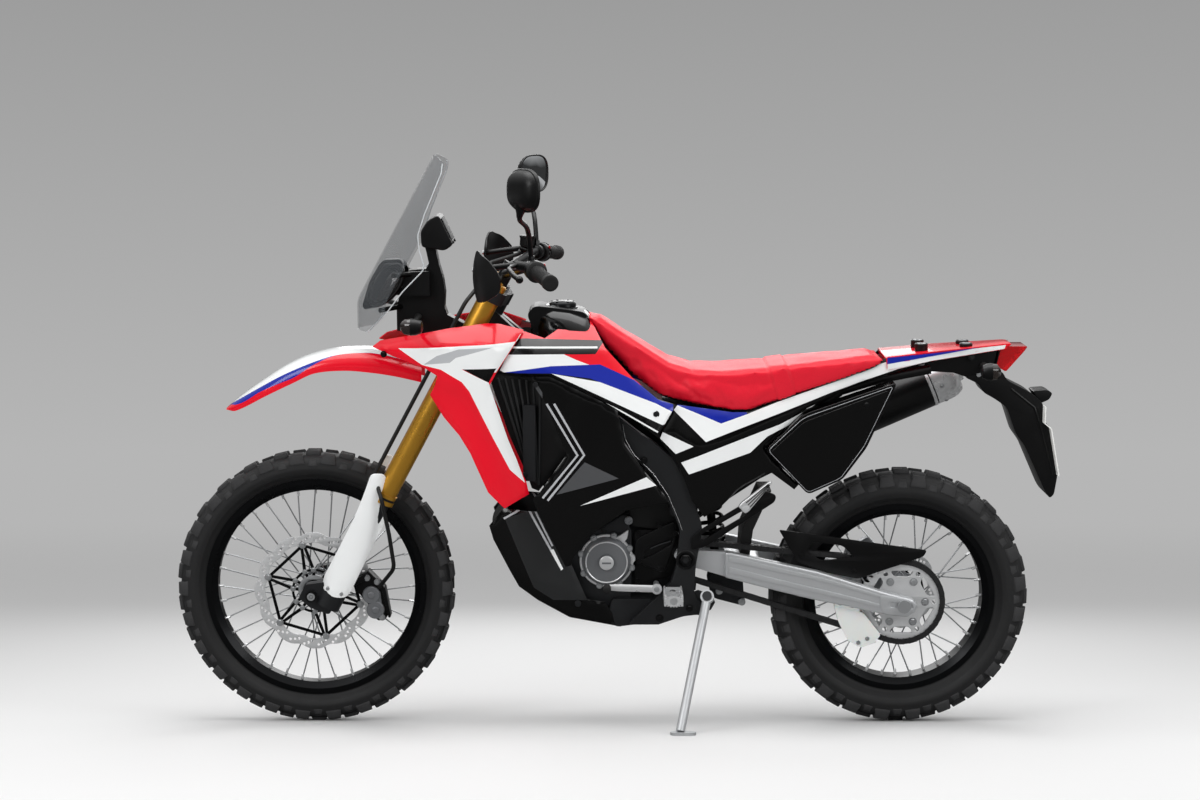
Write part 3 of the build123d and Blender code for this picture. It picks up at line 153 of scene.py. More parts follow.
def add_node(tree, kind, inputs=None, **settings):
    """A new node with its settings; inputs maps socket names or numbers to values or feeding sockets."""
    node = tree.nodes.new(kind)
    for name, value in settings.items():
        setattr(node, name, value)
    for name, value in (inputs or {}).items():
        socket = node.inputs[name]
        if isinstance(value, bpy.types.NodeSocket):
            tree.links.new(value, socket)
        else:
            socket.default_value = value
    return node


MATERIALS = {}


def finish(
    name, colour, rough=0.4, metal=0.0, grain=None, shade=0.08, spread=0.06, bump=0.0, size=1.0, **extra
):
    """A principled material. grain picks the surface: speckle, brushed, leather or None for fine unevenness.
    size is the pattern's size in millimetres, shade the change of colour and spread that of roughness."""
    if name in MATERIALS:
        return MATERIALS[name]
    material = bpy.data.materials.new(name)
    material.use_nodes = True
    tree = material.node_tree
    tree.nodes.clear()
    place = add_node(tree, "ShaderNodeTexCoord").outputs["Object"]
    stretch = extra.pop("stretch", (1, 1, 1))
    mapped = add_node(tree, "ShaderNodeMapping", {"Vector": place, "Scale": stretch}).outputs["Vector"]
    per_metre = 1000.0 / size
    broad = add_node(tree, "ShaderNodeTexNoise", {"Vector": place, "Scale": 9.0, "Detail": 4.0})
    if grain == "leather":
        fine = add_node(tree, "ShaderNodeTexVoronoi", {"Vector": mapped, "Scale": per_metre})
        pattern = fine.outputs["Distance"]
    else:
        fine = add_node(tree, "ShaderNodeTexNoise", {"Vector": mapped, "Scale": per_metre, "Detail": 3.0})
        pattern = fine.outputs["Fac"]
    base = linear(colour)
    dark = [c * (1 - shade) for c in base[:3]] + [1.0]
    light = [min(1.0, c * (1 + shade)) for c in base[:3]] + [1.0]
    blend = add_node(tree, "ShaderNodeMix", data_type="RGBA")
    tree.links.new(broad.outputs["Fac"] if grain is None else pattern, blend.inputs["Factor"])
    blend.inputs[6].default_value = dark
    blend.inputs[7].default_value = light
    wear = add_node(
        tree, "ShaderNodeMapRange",
        {
            "Value": broad.outputs["Fac"], "From Min": 0.3, "From Max": 0.7, "To Min": rough - spread,
            "To Max": rough + spread,
        },
    )
    shader = add_node(tree, "ShaderNodeBsdfPrincipled", {"Metallic": metal})
    tree.links.new(blend.outputs[2], shader.inputs["Base Color"])
    tree.links.new(wear.outputs["Result"], shader.inputs["Roughness"])
    for socket, value in extra.items():
        shader.inputs[socket.replace("_", " ")].default_value = value
    if bump:
        relief = add_node(
            tree, "ShaderNodeBump", {"Height": pattern, "Strength": bump, "Distance": size / 1000 * 0.5}
        )
        tree.links.new(relief.outputs["Normal"], shader.inputs["Normal"])
    out = add_node(tree, "ShaderNodeOutputMaterial")
    tree.links.new(shader.outputs["BSDF"], out.inputs["Surface"])
    MATERIALS[name] = material
    return material


def gloss(name, colour):
    """Injection-moulded ABS with a clear gloss: soft broad unevenness like orange peel."""
    coat = {"Coat_Weight": 0.35, "Coat_Roughness": 0.04, "Specular_IOR_Level": 0.3}
    return finish(name, colour, 0.2, bump=0.05, size=3.0, shade=0.04, spread=0.03, **coat)


def make_materials(colours):
    """Every finish of the machine, named for its real material."""
    gloss("red_abs_gloss_moulded", colours.red)
    gloss("white_abs_gloss_moulded", "#eceeee")
    gloss("blue_abs_gloss_moulded", colours.blue)
    gloss("black_abs_gloss_moulded", "#020202")
    # Silver film cut to stripes; the same silver also draws a painted highlight line round the side box lid.
    gloss("silver_film_stripe_and_painted_highlight", "#b4b6b9")
    # Grey for facets of the black fairings: a painted reflection of facets catching the light.
    gloss("grey_painted_facet_reflection", "#4c4d4f")
    # Unpainted polypropylene scatters light from its fine spark-eroded grain.
    finish(
        "grey_pp_grained_moulded", "#242526", 0.5, grain="speckle", bump=0.25, size=1.2, shade=0.12,
        Specular_IOR_Level=0.35,
    )
    finish(
        "black_pp_satin_moulded", "#050506", 0.4, grain="speckle", bump=0.15, size=1.0,
        Specular_IOR_Level=0.35,
    )
    finish(
        "black_steel_powder_coated", "#060607", 0.34, grain="speckle", bump=0.12, size=0.8,
        Specular_IOR_Level=0.35,
    )
    finish(
        "grey_aluminium_painted_satin", "#1b1c1e", 0.4, grain="speckle", bump=0.1, size=1.0,
        Specular_IOR_Level=0.4,
    )
    # Anodising keeps the metal's drawn lines under its colour.
    finish(
        "gold_aluminium_anodised_drawn", "#dfa63c", 0.3, 0.8, "brushed", 0.16, 0.05, 0.05, 1.2,
        stretch=(6, 6, 0.4),
    )
    finish("black_aluminium_anodised", "#101113", 0.3, 0.7, None, 0.1, 0.06)
    finish("aluminium_brushed", "#d2d4d6", 0.36, 0.62, "brushed", 0.1, 0.06, 0.1, 1.0, stretch=(0.25, 6, 6))
    finish("aluminium_cast_grey", "#808285", 0.45, 0.6, "speckle", 0.14, 0.08, 0.3, 1.3)
    finish("aluminium_cast_dark", "#2c2d2f", 0.5, 0.6, "speckle", 0.2, 0.08, 0.3, 1.4)
    # Bright machined aluminium; the same finish also draws a painted highlight line along the frame plates'
    # front edge.
    finish("aluminium_machined_bright_and_painted_highlight", "#e0e1e2", 0.3, 0.6, "brushed", 0.08, 0.06, 0.06, 0.8)
    finish("steel_stainless_ground", "#d6d7d8", 0.42, 0.5, "brushed", 0.1, 0.08, 0.08, 0.7)
    finish("steel_zinc_plated", "#b4b6b8", 0.34, 0.7, None, 0.1, 0.08)
    # Silver paint over steel: flakes give a soft glow and no clear mirror image.
    finish("silver_steel_painted", "#c6c8ca", 0.4, 0.45, "speckle", 0.05, 0.04, 0.05, 0.8)
    finish("steel_chain_oiled", "#3c3c3d", 0.38, 0.7, "speckle", 0.25, 0.1, 0.1, 2.0)
    finish("steel_exhaust_heat_stained", "#6f6255", 0.34, 1.0, None, 0.25, 0.1)
    finish("muffler_black_enamel", "#0b0b0c", 0.36, 0.2, "speckle", 0.1, 0.06, 0.1, 1.0)
    # Carbon-black rubber is dull, with a paler bloom of road dust in its pores.
    finish(
        "tyre_rubber_vulcanised", "#1a1a1b", 0.66, grain="speckle", bump=0.35, size=1.6, shade=0.3,
        spread=0.08,
    )
    # The blocks are drawn rougher and in a paler grey than the carcass; the paler grey is a painted highlight
    # for the light their faces catch.
    finish(
        "tyre_tread_rubber_painted_highlight", "#303031", 0.8, grain="speckle", bump=0.4, size=2.0, shade=0.3,
        spread=0.08,
    )
    finish("rubber_moulded_black", "#0e0e0e", 0.6, grain="speckle", bump=0.2, size=1.0, shade=0.2)
    finish(
        "seat_vinyl_red_embossed", colours.seat, 0.46, grain="leather", bump=0.22, size=1.5, shade=0.08,
        Specular_IOR_Level=0.3,
    )
    finish("seat_vinyl_black_embossed", "#070707", 0.55, grain="leather", bump=0.22, size=1.5, shade=0.1)
    finish("nylon_milky_moulded", "#e6e7e4", 0.35, shade=0.03, Subsurface_Weight=0.25, Subsurface_Scale=0.01)
    finish("mirror_glass_silvered", "#e4e7ea", 0.03, 1.0, None, 0.01, 0.01)
    finish(
        "screen_polycarbonate_clear", "#6a6e72", 0.12, shade=0.01, spread=0.02, Alpha=0.2,
        Specular_IOR_Level=0.2,
    )
    # A cut edge pipes light along the sheet, so it shows paler than the sheet itself; this pale rim along the
    # screen's edge is a painted highlight.
    finish("screen_edge_painted_highlight", "#d5dadd", 0.2, shade=0.02, Alpha=0.75)
    # A bright metal sliver for the headlight's glint: a painted highlight.
    finish("lamp_glint_painted_highlight", "#d8dcdf", 0.1, 1.0, None, 0.03, 0.03)
    finish(
        "lamp_lens_red_moulded", "#c00d14", 0.1, shade=0.05, spread=0.03, Transmission_Weight=0.35,
        Coat_Weight=0.5,
    )
    finish(
        "lamp_lens_smoked_moulded", "#2a2320", 0.1, shade=0.05, spread=0.03, Transmission_Weight=0.3,
        Coat_Weight=0.5,
    )
    finish("display_panel_dark", "#08090a", 0.5, shade=0.1, spread=0.03, Specular_IOR_Level=0.1)
    finish("plate_blank_enamelled", "#e9e9e6", 0.3, shade=0.02)


# ---------------------------------------------------------------- mesh building
def close_solid(bm, first, last):
    """Closes two rings of vertices as the ends of a solid, with walls between them."""
    bm.faces.new(first)
    bm.faces.new(last[::-1])
    for i in range(len(first)):
        j = (i + 1) % len(first)
        bm.faces.new((first[j], first[i], last[i], last[j]))


def prism(outline, low, high, bevel=0.0, segments=2):
    """A plate between y = low and y = high over an x-z outline, its edges bevelled."""
    bm = bmesh.new()
    ends = [[bm.verts.new((x, y, z)) for x, z in outline] for y in (low, high)]
    close_solid(bm, *ends)
    return rounded(bm, bevel, segments)


def rounded(bm, bevel, segments=2, angle=25):
    """The mesh with its sharper edges bevelled."""
    bmesh.ops.recalc_face_normals(bm, faces=bm.faces)
    if bevel > 0:
        edges = [e for e in bm.edges if len(e.link_faces) == 2 and e.calc_face_angle(0) > math.radians(angle)]
        bmesh.ops.bevel(
            bm, geom=edges, offset=bevel, segments=segments, profile=0.6, affect="EDGES", clamp_overlap=True
        )
    return bm


def welded(bm, gap=0.001):
    """The mesh with coinciding points joined and its faces turned outwards."""
    bmesh.ops.remove_doubles(bm, verts=bm.verts, dist=gap)
    bmesh.ops.recalc_face_normals(bm, faces=bm.faces)
    return bm


def lathe(profile, centre, segments, closed=True):
    """A ring turned about the y axis through centre (x, z), from a profile of (y, radius)."""
    bm = bmesh.new()
    rings = []
    for i in range(segments):
        a = math.radians(360 * i / segments)
        rings.append(
            [bm.verts.new((centre[0] + r * math.cos(a), y, centre[1] + r * math.sin(a))) for y, r in profile]
        )
    n = len(profile)
    for a, b in zip(rings, rings[1:] + rings[:1]):
        for k in range(n if closed else n - 1):
            bm.faces.new((a[k], a[(k + 1) % n], b[(k + 1) % n], b[k]))
    return welded(bm)


def turned(profile, start, end, segments=32):
    """A solid of revolution about the line from start to end; profile is (distance along it, radius)."""
    start, end = Vector(start), Vector(end)
    place = Matrix.Translation(start) @ (end - start).to_track_quat("Z", "Y").to_matrix().to_4x4()
    turns = [2 * math.pi * i / segments for i in range(segments)]
    return skinned(
        [[place @ Vector((r * math.cos(a), r * math.sin(a), along)) for a in turns] for along, r in profile]
    )


def bar(start, end, radius, bevel=1.0, segments=24):
    """A round bar with softened ends."""
    length = (Vector(end) - Vector(start)).length
    edge = min(bevel, radius * 0.4, length * 0.3)
    profile = [(0, radius - edge), (edge * 0.3, radius - edge * 0.3), (edge, radius)]
    profile += [(length - edge, radius), (length - edge * 0.3, radius - edge * 0.3), (length, radius - edge)]
    return turned(profile, start, end, segments)


def filleted(points, radii, step=0.3):
    """The points of straight runs joined by arcs; radii is one number or one for each inner point."""
    points = [Vector(p) for p in points]
    if isinstance(radii, (int, float)):
        radii = [radii] * (len(points) - 2)
    out = [points[0]]
    for before, corner, after, radius in zip(points, points[1:], points[2:], radii):
        a = (before - corner).normalized()
        b = (after - corner).normalized()
        angle = a.angle(b)
        if angle > math.pi - 0.02:
            out.append(corner)
            continue
        reach = radius / math.tan(angle / 2)
        reach = min(reach, (before - corner).length * 0.49, (after - corner).length * 0.49)
        radius = reach * math.tan(angle / 2)
        centre = corner + (a + b).normalized() * (radius / math.sin(angle / 2))
        first, last = corner + a * reach - centre, corner + b * reach - centre
        turn = first.angle(last)
        count = max(2, int(turn / step))
        spin = first.cross(last).normalized()
        for i in range(count + 1):
            out.append(centre + Matrix.Rotation(turn * i / count, 3, spin) @ first)
    out.append(points[-1])
    return out


def add_walls(bm, rings, closed=False):
    """Quads between rings of vertices, with a cap on each end unless the last is closed onto the first."""
    for a, b in zip(rings, rings[1:] + (rings[:1] if closed else [])):
        for k in range(len(a)):
            j = (k + 1) % len(a)
            bm.faces.new((a[k], a[j], b[j], b[k]))
    if not closed:
        bm.faces.new(rings[0][::-1])
        bm.faces.new(rings[-1])


def swept(path, radius, segments=14, flat=1.0, closed=False):
    """A tube along a list of points; radius is a number or one for each point, flat squashes it sideways."""
    path = [Vector(p) for p in path]
    radii = radius if isinstance(radius, (list, tuple)) else [radius] * len(path)
    bm = bmesh.new()
    along = (path[1] - path[0]).normalized()
    side = along.orthogonal().normalized()
    if abs(along.y) < 0.9:
        side = (Vector((0, 1, 0)) - along * along.y).normalized()
    rings = []
    count = len(path)
    for i, point in enumerate(path):
        ahead = path[(i + 1) % count] if closed or i + 1 < count else point
        behind = path[i - 1] if closed or i else point
        new_along = (ahead - behind).normalized()
        side = (along.rotation_difference(new_along) @ side).normalized()
        along = new_along
        other = along.cross(side)
        ring = []
        for k in range(segments):
            a = 2 * math.pi * k / segments
            ring.append(bm.verts.new(point + (side * math.cos(a) * flat + other * math.sin(a)) * radii[i]))
        rings.append(ring)
    add_walls(bm, rings, closed)
    bmesh.ops.recalc_face_normals(bm, faces=bm.faces)
    return bm


def skinned(rings):
    """A closed skin over a list of rings of points."""
    bm = bmesh.new()
    add_walls(bm, [[bm.verts.new(p) for p in ring] for ring in rings])
    return welded(bm)


def grid_skin(rows):
    """An open skin over rows of points."""
    bm = bmesh.new()
    grid = [[bm.verts.new(p) for p in row] for row in rows]
    for a, b in zip(grid, grid[1:]):
        for k in range(len(a) - 1):
            bm.faces.new((a[k], a[k + 1], b[k + 1], b[k]))
    return bm


def facing_out(bm, direction):
    """The open skin with its faces turned so that most of them look along direction."""
    bmesh.ops.recalc_face_normals(bm, faces=bm.faces)
    if sum(f.normal.dot(Vector(direction)) for f in bm.faces) < 0:
        bmesh.ops.reverse_faces(bm, faces=bm.faces)
    return bm


def thickened(bm, wall):
    """A closed shell from an open skin, its wall laid inwards, with the faces' materials kept."""
    bm.normal_update()
    border = [e for e in bm.edges if len(e.link_faces) == 1]
    faces = list(bm.faces)
    inner = {v: bm.verts.new(v.co - v.normal * wall) for v in list(bm.verts)}
    for face in faces:
        copy = bm.faces.new([inner[v] for v in reversed(face.verts)])
        copy.material_index = face.material_index
    for e in border:
        a, b = e.verts
        side = bm.faces.new((a, b, inner[b], inner[a]))
        side.material_index = e.link_faces[0].material_index
    bmesh.ops.recalc_face_normals(bm, faces=bm.faces)
    return bm


def merged(parts):
    """One mesh of several parts, which are freed."""
    whole = bmesh.new()
    for part in parts:
        mesh = bpy.data.meshes.new("part")
        part.to_mesh(mesh)
        part.free()
        whole.from_mesh(mesh)
        bpy.data.meshes.remove(mesh)
    return whole


def panel(outline, height, regions=(), wall=3.5, spacing=11.0, hem=9.0, curl=4.0):
    """A bent sheet over an x-z outline. height(x, z) gives y.
    Regions are (ring, material number), later ones on top.
    Within hem of the edge the sheet curls inwards by curl."""
    rings = [list(outline)] + [list(ring) for ring, _ in regions]
    points = []
    faces = []
    for ring in rings:
        first = len(points)
        for a, b in zip(ring, ring[1:] + ring[:1]):
            steps = max(1, int(math.hypot(b[0] - a[0], b[1] - a[1]) / spacing))
            points += [(mix(a[0], b[0], i / steps), mix(a[1], b[1], i / steps)) for i in range(steps)]
        faces.append(list(range(first, len(points))))
    edge = list(outline)
    x_low, x_high = min(p[0] for p in edge), max(p[0] for p in edge)
    z_low, z_high = min(p[1] for p in edge), max(p[1] for p in edge)
    row = 0
    z = z_low
    while z < z_high:
        x = x_low + (spacing / 2 if row % 2 else 0)
        while x < x_high:
            if inside((x, z), edge) and all(ring_distance((x, z), ring) > spacing * 0.4 for ring in rings):
                points.append((x, z))
            x += spacing
        z += spacing * 0.87
        row += 1
    verts, _, triangles = geometry.delaunay_2d_cdt([Vector(p) for p in points], [], faces, 1, 0.01)[:3]
    bm = bmesh.new()
    made = {}
    for triangle in triangles:
        middle = [sum(verts[v][i] for v in triangle) / 3 for i in (0, 1)]
        if not inside(middle, edge):
            continue
        number = 0
        for ring, material in regions:
            if inside(middle, ring):
                number = material
        corners = []
        for v in triangle:
            if v not in made:
                x, z = verts[v]
                fold = max(0.0, 1 - ring_distance((x, z), edge) / hem)
                made[v] = bm.verts.new((x, height(x, z) - curl * fold * fold, z))
            corners.append(made[v])
        try:
            face = bm.faces.new(corners)
        except ValueError:
            continue
        face.material_index = number
    return thickened(facing_out(bm, (0, 1, 0)), wall)


class Shape:
    """The mesh of one finished piece, gathered from parts, with its list of materials."""

    def __init__(self, *materials):
        self.bm = bmesh.new()
        self.materials = [MATERIALS[name] for name in materials]

    def take(self, part, number=0, both=False, matrix=None, keep=False):
        """Adds a part in material number, or in its own numbers with keep, and its mirror image with both."""
        if not keep:
            for face in part.faces:
                face.material_index = number
        if matrix:
            bmesh.ops.transform(part, matrix=matrix, verts=part.verts)
        mesh = bpy.data.meshes.new("part")
        part.to_mesh(mesh)
        part.free()
        self.bm.from_mesh(mesh)
        if both:
            mesh.transform(Matrix.Scale(-1, 4, (0, 1, 0)))
            mesh.flip_normals()
            self.bm.from_mesh(mesh)
        bpy.data.meshes.remove(mesh)

    def plate(self, outline, low, high, bevel=0.0, number=0, soft=0, both=False, segments=2):
        """Adds a prism over an outline with its corners softened."""
        ring = softened(outline, soft) if soft else outline
        self.take(prism(ring, low, high, bevel, segments), number, both)

    def scatter(self, part, places, number=0, both=False):
        """Adds part at each of places, in material number."""
        self.take(repeated(part, places, self.materials[number]), number, both)

    def done(self, name, body, *replaced, sharp=38, finish_slot=None):
        """Makes the object, moves it to the row frame, parents it to its body's empty and hides the nodes it
        stands for.
        """
        mesh = bpy.data.meshes.new(name)
        self.bm.to_mesh(mesh)
        self.bm.free()
        for material in self.materials:
            mesh.materials.append(material)
        mesh.transform(ROW)
        for face in mesh.polygons:
            face.use_smooth = True
        mesh.set_sharp_from_angle(angle=math.radians(sharp))
        mesh.update()
        obj = bpy.data.objects.new(name, mesh)
        bpy.context.scene.collection.objects.link(obj)
        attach(obj, body)
        if replaced:
            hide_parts(*replaced)
        return obj


# ---------------------------------------------------------------- geometry nodes
def new_tree(name, inputs):
    """A geometry node tree with its inputs, each a (name, kind, default value or None)."""
    tree = bpy.data.node_groups.new(name, "GeometryNodeTree")
    for label, kind, value in inputs:
        socket = tree.interface.new_socket(label, in_out="INPUT", socket_type="NodeSocket" + kind)
        if value is not None:
            socket.default_value = value
    tree.interface.new_socket("Result", in_out="OUTPUT", socket_type="NodeSocketGeometry")
    return tree


def end_in_copies(tree, points, piece, rotation, scale, material):
    """Ends the tree with a piece set on points, the copies made real and given their material."""
    on_points = {"Points": points, "Instance": piece, "Rotation": rotation, "Scale": scale}
    copies = add_node(tree, "GeometryNodeInstanceOnPoints", on_points).outputs["Instances"]
    real = add_node(tree, "GeometryNodeRealizeInstances", {"Geometry": copies}).outputs["Geometry"]
    painted = add_node(tree, "GeometryNodeSetMaterial", {"Geometry": real, "Material": material})
    add_node(tree, "NodeGroupOutput", {"Result": painted.outputs["Geometry"]})


def repeat_tree():
    """Sets a piece on every point, turned and sized by the points' own attributes."""
    name = "Repeat piece"
    if name in bpy.data.node_groups:
        return bpy.data.node_groups[name]
    inputs = [("Points", "Geometry", None), ("Piece", "Object", None), ("Finish", "Material", None)]
    tree = new_tree(name, inputs + [("Overall scale", "Float", 1.0)])
    entry = add_node(tree, "NodeGroupInput").outputs
    turn = add_node(tree, "GeometryNodeInputNamedAttribute", {"Name": "turn"}, data_type="FLOAT_VECTOR")
    size = add_node(tree, "GeometryNodeInputNamedAttribute", {"Name": "size"}, data_type="FLOAT_VECTOR")
    spin = add_node(tree, "FunctionNodeEulerToRotation", {0: turn.outputs["Attribute"]}).outputs[0]
    sized = {0: size.outputs["Attribute"], "Scale": entry["Overall scale"]}
    grown = add_node(tree, "ShaderNodeVectorMath", sized, operation="SCALE").outputs["Vector"]
    piece = add_node(tree, "GeometryNodeObjectInfo", {"Object": entry["Piece"]}).outputs["Geometry"]
    end_in_copies(tree, entry["Points"], piece, spin, grown, entry["Finish"])
    return tree


def spoke_tree():
    """Laced wire spokes: straight bars from alternate holes of two hub flanges to even holes in the rim."""
    name = "Laced spokes"
    if name in bpy.data.node_groups:
        return bpy.data.node_groups[name]
    tree = new_tree(
        name,
        [
            ("Base", "Geometry", None),
            ("Spokes", "Int", 36),
            ("Flange radius", "Float", 32.0),
            ("Rim radius", "Float", 246.0),
            ("Left flange", "Float", 34.0),
            ("Right flange", "Float", -34.0),
            ("Rim offset", "Float", 5.0),
            ("Lacing angle", "Float", 52.0),
            ("Wire radius", "Float", 1.8),
            ("Finish", "Material", None),
        ],
    )
    entry = add_node(tree, "NodeGroupInput").outputs

    def sum_of(kind, a, b=0.0):
        return add_node(tree, "ShaderNodeMath", {0: a, 1: b}, operation=kind).outputs[0]

    points = add_node(tree, "GeometryNodePoints", {"Count": entry["Spokes"]})
    index = add_node(tree, "GeometryNodeInputIndex").outputs[0]
    side = sum_of("MODULO", index, 2.0)
    other_side = sum_of("SUBTRACT", 1.0, side)
    half = sum_of("FLOOR", sum_of("DIVIDE", index, 2.0))
    lace = sum_of("SUBTRACT", sum_of("MULTIPLY", sum_of("MODULO", half, 2.0), 2.0), 1.0)
    step = sum_of("DIVIDE", 2 * math.pi, entry["Spokes"])
    rim_angle = sum_of("MULTIPLY", index, step)
    lacing = sum_of("MULTIPLY", sum_of("RADIANS", entry["Lacing angle"]), lace)
    hub_angle = sum_of("ADD", rim_angle, lacing)
    left = sum_of("MULTIPLY", entry["Left flange"], other_side)
    flange = sum_of("ADD", left, sum_of("MULTIPLY", entry["Right flange"], side))
    lean = sum_of("MULTIPLY", entry["Rim offset"], sum_of("SUBTRACT", 1.0, sum_of("MULTIPLY", side, 2.0)))

    def point_at(radius, angle, offset):
        x = sum_of("MULTIPLY", radius, sum_of("COSINE", angle))
        z = sum_of("MULTIPLY", radius, sum_of("SINE", angle))
        return add_node(tree, "ShaderNodeCombineXYZ", {"X": x, "Y": offset, "Z": z}).outputs[0]

    near = point_at(entry["Flange radius"], hub_angle, flange)
    far = point_at(entry["Rim radius"], rim_angle, lean)
    wire = add_node(tree, "ShaderNodeVectorMath", {0: far, 1: near}, operation="SUBTRACT").outputs[0]
    length = add_node(tree, "ShaderNodeVectorMath", {0: wire}, operation="LENGTH").outputs["Value"]
    moved = add_node(tree, "GeometryNodeSetPosition", {"Geometry": points.outputs[0], "Position": near})
    aim = add_node(tree, "FunctionNodeAlignRotationToVector", {"Vector": wire}, axis="Z")
    shape = add_node(tree, "GeometryNodeMeshCylinder", {"Vertices": 8, "Radius": 1.0, "Depth": 1.0})
    raised = {"Geometry": shape.outputs["Mesh"], "Translation": (0, 0, 0.5)}
    raised = add_node(tree, "GeometryNodeTransform", raised)
    scale = {"X": entry["Wire radius"], "Y": entry["Wire radius"], "Z": length}
    scale = add_node(tree, "ShaderNodeCombineXYZ", scale)
    end_in_copies(
        tree, moved.outputs[0], raised.outputs[0], aim.outputs[0], scale.outputs[0], entry["Finish"]
    )
    return tree


def evaluated(tree, base, values):
    """Runs a node tree on a mesh and returns the finished mesh; values maps input names to what they hold."""
    host = bpy.data.objects.new("host", base)
    bpy.context.scene.collection.objects.link(host)
    modifier = host.modifiers.new("nodes", "NODES")
    modifier.node_group = tree
    sockets = {item.name: item.identifier for item in tree.interface.items_tree if item.in_out == "INPUT"}
    for name, value in values.items():
        modifier[sockets[name]] = value
    graph = bpy.context.evaluated_depsgraph_get()
    mesh = bpy.data.meshes.new_from_object(host.evaluated_get(graph))
    bpy.data.objects.remove(host)
    return mesh


def from_mesh(mesh):
    """A bmesh of a mesh, which is then removed."""
    bm = bmesh.new()
    bm.from_mesh(mesh)
    bpy.data.meshes.remove(mesh)
    return bm


def repeated(part, places, material):
    """part in a material at each of places, a list of (position, rotation matrix or Euler, size)."""
    mesh = bpy.data.meshes.new("piece")
    part.to_mesh(mesh)
    part.free()
    piece = bpy.data.objects.new("piece", mesh)
    points = bpy.data.meshes.new("points")
    points.from_pydata([place[0] for place in places], [], [])
    turn = points.attributes.new("turn", "FLOAT_VECTOR", "POINT")
    size = points.attributes.new("size", "FLOAT_VECTOR", "POINT")
    for i, (_, rotation, scale) in enumerate(places):
        turn.data[i].vector = rotation.to_euler() if isinstance(rotation, Matrix) else rotation
        size.data[i].vector = (scale, scale, scale)
    result = evaluated(repeat_tree(), points, {"Piece": piece, "Finish": material, "Overall scale": 1.0})
    bpy.data.objects.remove(piece)
    bpy.data.meshes.remove(mesh)
    return from_mesh(result)


def facing(direction):
    """The rotation that takes local z to direction."""
    return Vector(direction).to_track_quat("Z", "Y").to_matrix()


def along_y(points, y):
    """Placements on x-z points at y, facing the left side."""
    return [((x, y, z), facing((0, 1, 0)), 1.0) for x, z in points]


def bolt(radius=6.0, height=5.0, hexagon=True):
    """A bolt head with its washer, standing on z = 0."""
    foot, up = (0, 0, 0), (0, 0, 1)
    rim = radius * 1.35
    washer = turned([(0, rim), (1.0, rim), (1.01, radius * 0.9), (1.02, radius * 0.2)], foot, up, 20)
    head = turned(
        [(1.0, radius), (height - 1, radius), (height, radius * 0.86)], foot, up, 6 if hexagon else 20
    )
    return merged([washer, head])


def cut_sheet(rings, low, high, bevel=0.6):
    """A flat plate from y = low to y = high; the first ring of (x, z) is its edge, the others are holes."""
    curve = bpy.data.curves.new("sheet", "CURVE")
    curve.dimensions = "2D"
    curve.fill_mode = "BOTH"
    curve.extrude = max(0.01, (high - low) / 2 - bevel)
    curve.bevel_depth = bevel
    curve.offset = -bevel
    curve.bevel_resolution = 1
    for ring in rings:
        spline = curve.splines.new("POLY")
        spline.points.add(len(ring) - 1)
        spline.use_cyclic_u = True
        for point, (x, z) in zip(spline.points, ring):
            point.co = (x, z, 0, 1)
    obj = bpy.data.objects.new("sheet", curve)
    mesh = bpy.data.meshes.new_from_object(obj)
    bpy.data.objects.remove(obj)
    bpy.data.curves.remove(curve)
    bm = from_mesh(mesh)
    for v in bm.verts:
        x, z, y = v.co
        v.co = (x, y + (low + high) / 2, z)
    return welded(bm, 0.01)


def polar(centre, radius, share):
    """The point at a share of a full turn round centre, in the plane."""
    angle = 2 * math.pi * share
    return (centre[0] + radius * math.cos(angle), centre[1] + radius * math.sin(angle))


def circle(x, z, radius, count=24):
    """A ring of (x, z) points."""
    return [polar((x, z), radius, i / count) for i in range(count)]


def softened(ring, radius=6.0, steps=4):
    """The ring with its corners rounded."""
    out = []
    n = len(ring)
    for i in range(n):
        (x0, z0), (x1, z1), (x2, z2) = ring[i - 1], ring[i], ring[(i + 1) % n]
        d0, d2 = math.hypot(x0 - x1, z0 - z1), math.hypot(x2 - x1, z2 - z1)
        reach = min(radius, d0 * 0.45, d2 * 0.45)
        ax, az = x1 + (x0 - x1) / d0 * reach, z1 + (z0 - z1) / d0 * reach
        bx, bz = x1 + (x2 - x1) / d2 * reach, z1 + (z2 - z1) / d2 * reach
        for k in range(steps + 1):
            t = k / steps
            out.append(
                (
                    (1 - t) ** 2 * ax + 2 * t * (1 - t) * x1 + t * t * bx,
                    (1 - t) ** 2 * az + 2 * t * (1 - t) * z1 + t * t * bz,
                )
            )
    return out


def trimmed(bm, ring):
    """The open skin cut along an x-z ring, with only what lies inside it."""
    x_low, x_high = min(p[0] for p in ring) - 1, max(p[0] for p in ring) + 1
    z_low, z_high = min(p[1] for p in ring) - 1, max(p[1] for p in ring) + 1

    def near(face):
        xs = [v.co.x for v in face.verts]
        zs = [v.co.z for v in face.verts]
        return min(xs) < x_high and max(xs) > x_low and min(zs) < z_high and max(zs) > z_low

    for a, b in zip(ring, ring[1:] + ring[:1]):
        if math.hypot(b[0] - a[0], b[1] - a[1]) < 0.5:
            continue
        faces = [f for f in bm.faces if near(f)]
        geom = faces + list({e for f in faces for e in f.edges}) + list({v for f in faces for v in f.verts})
        across = (b[1] - a[1], 0, a[0] - b[0])
        bmesh.ops.bisect_plane(bm, geom=geom, dist=0.01, plane_co=(a[0], 0, a[1]), plane_no=across)
    middles = {face: face.calc_center_median() for face in bm.faces}
    outside = [face for face, middle in middles.items() if not inside((middle.x, middle.z), ring)]
    bmesh.ops.delete(bm, geom=outside, context="FACES")
    return bm


def paint_node(name, material):
    """Gives a CAD node its material."""
    frame["nodes"][name].material_slots[0].material = MATERIALS[material]


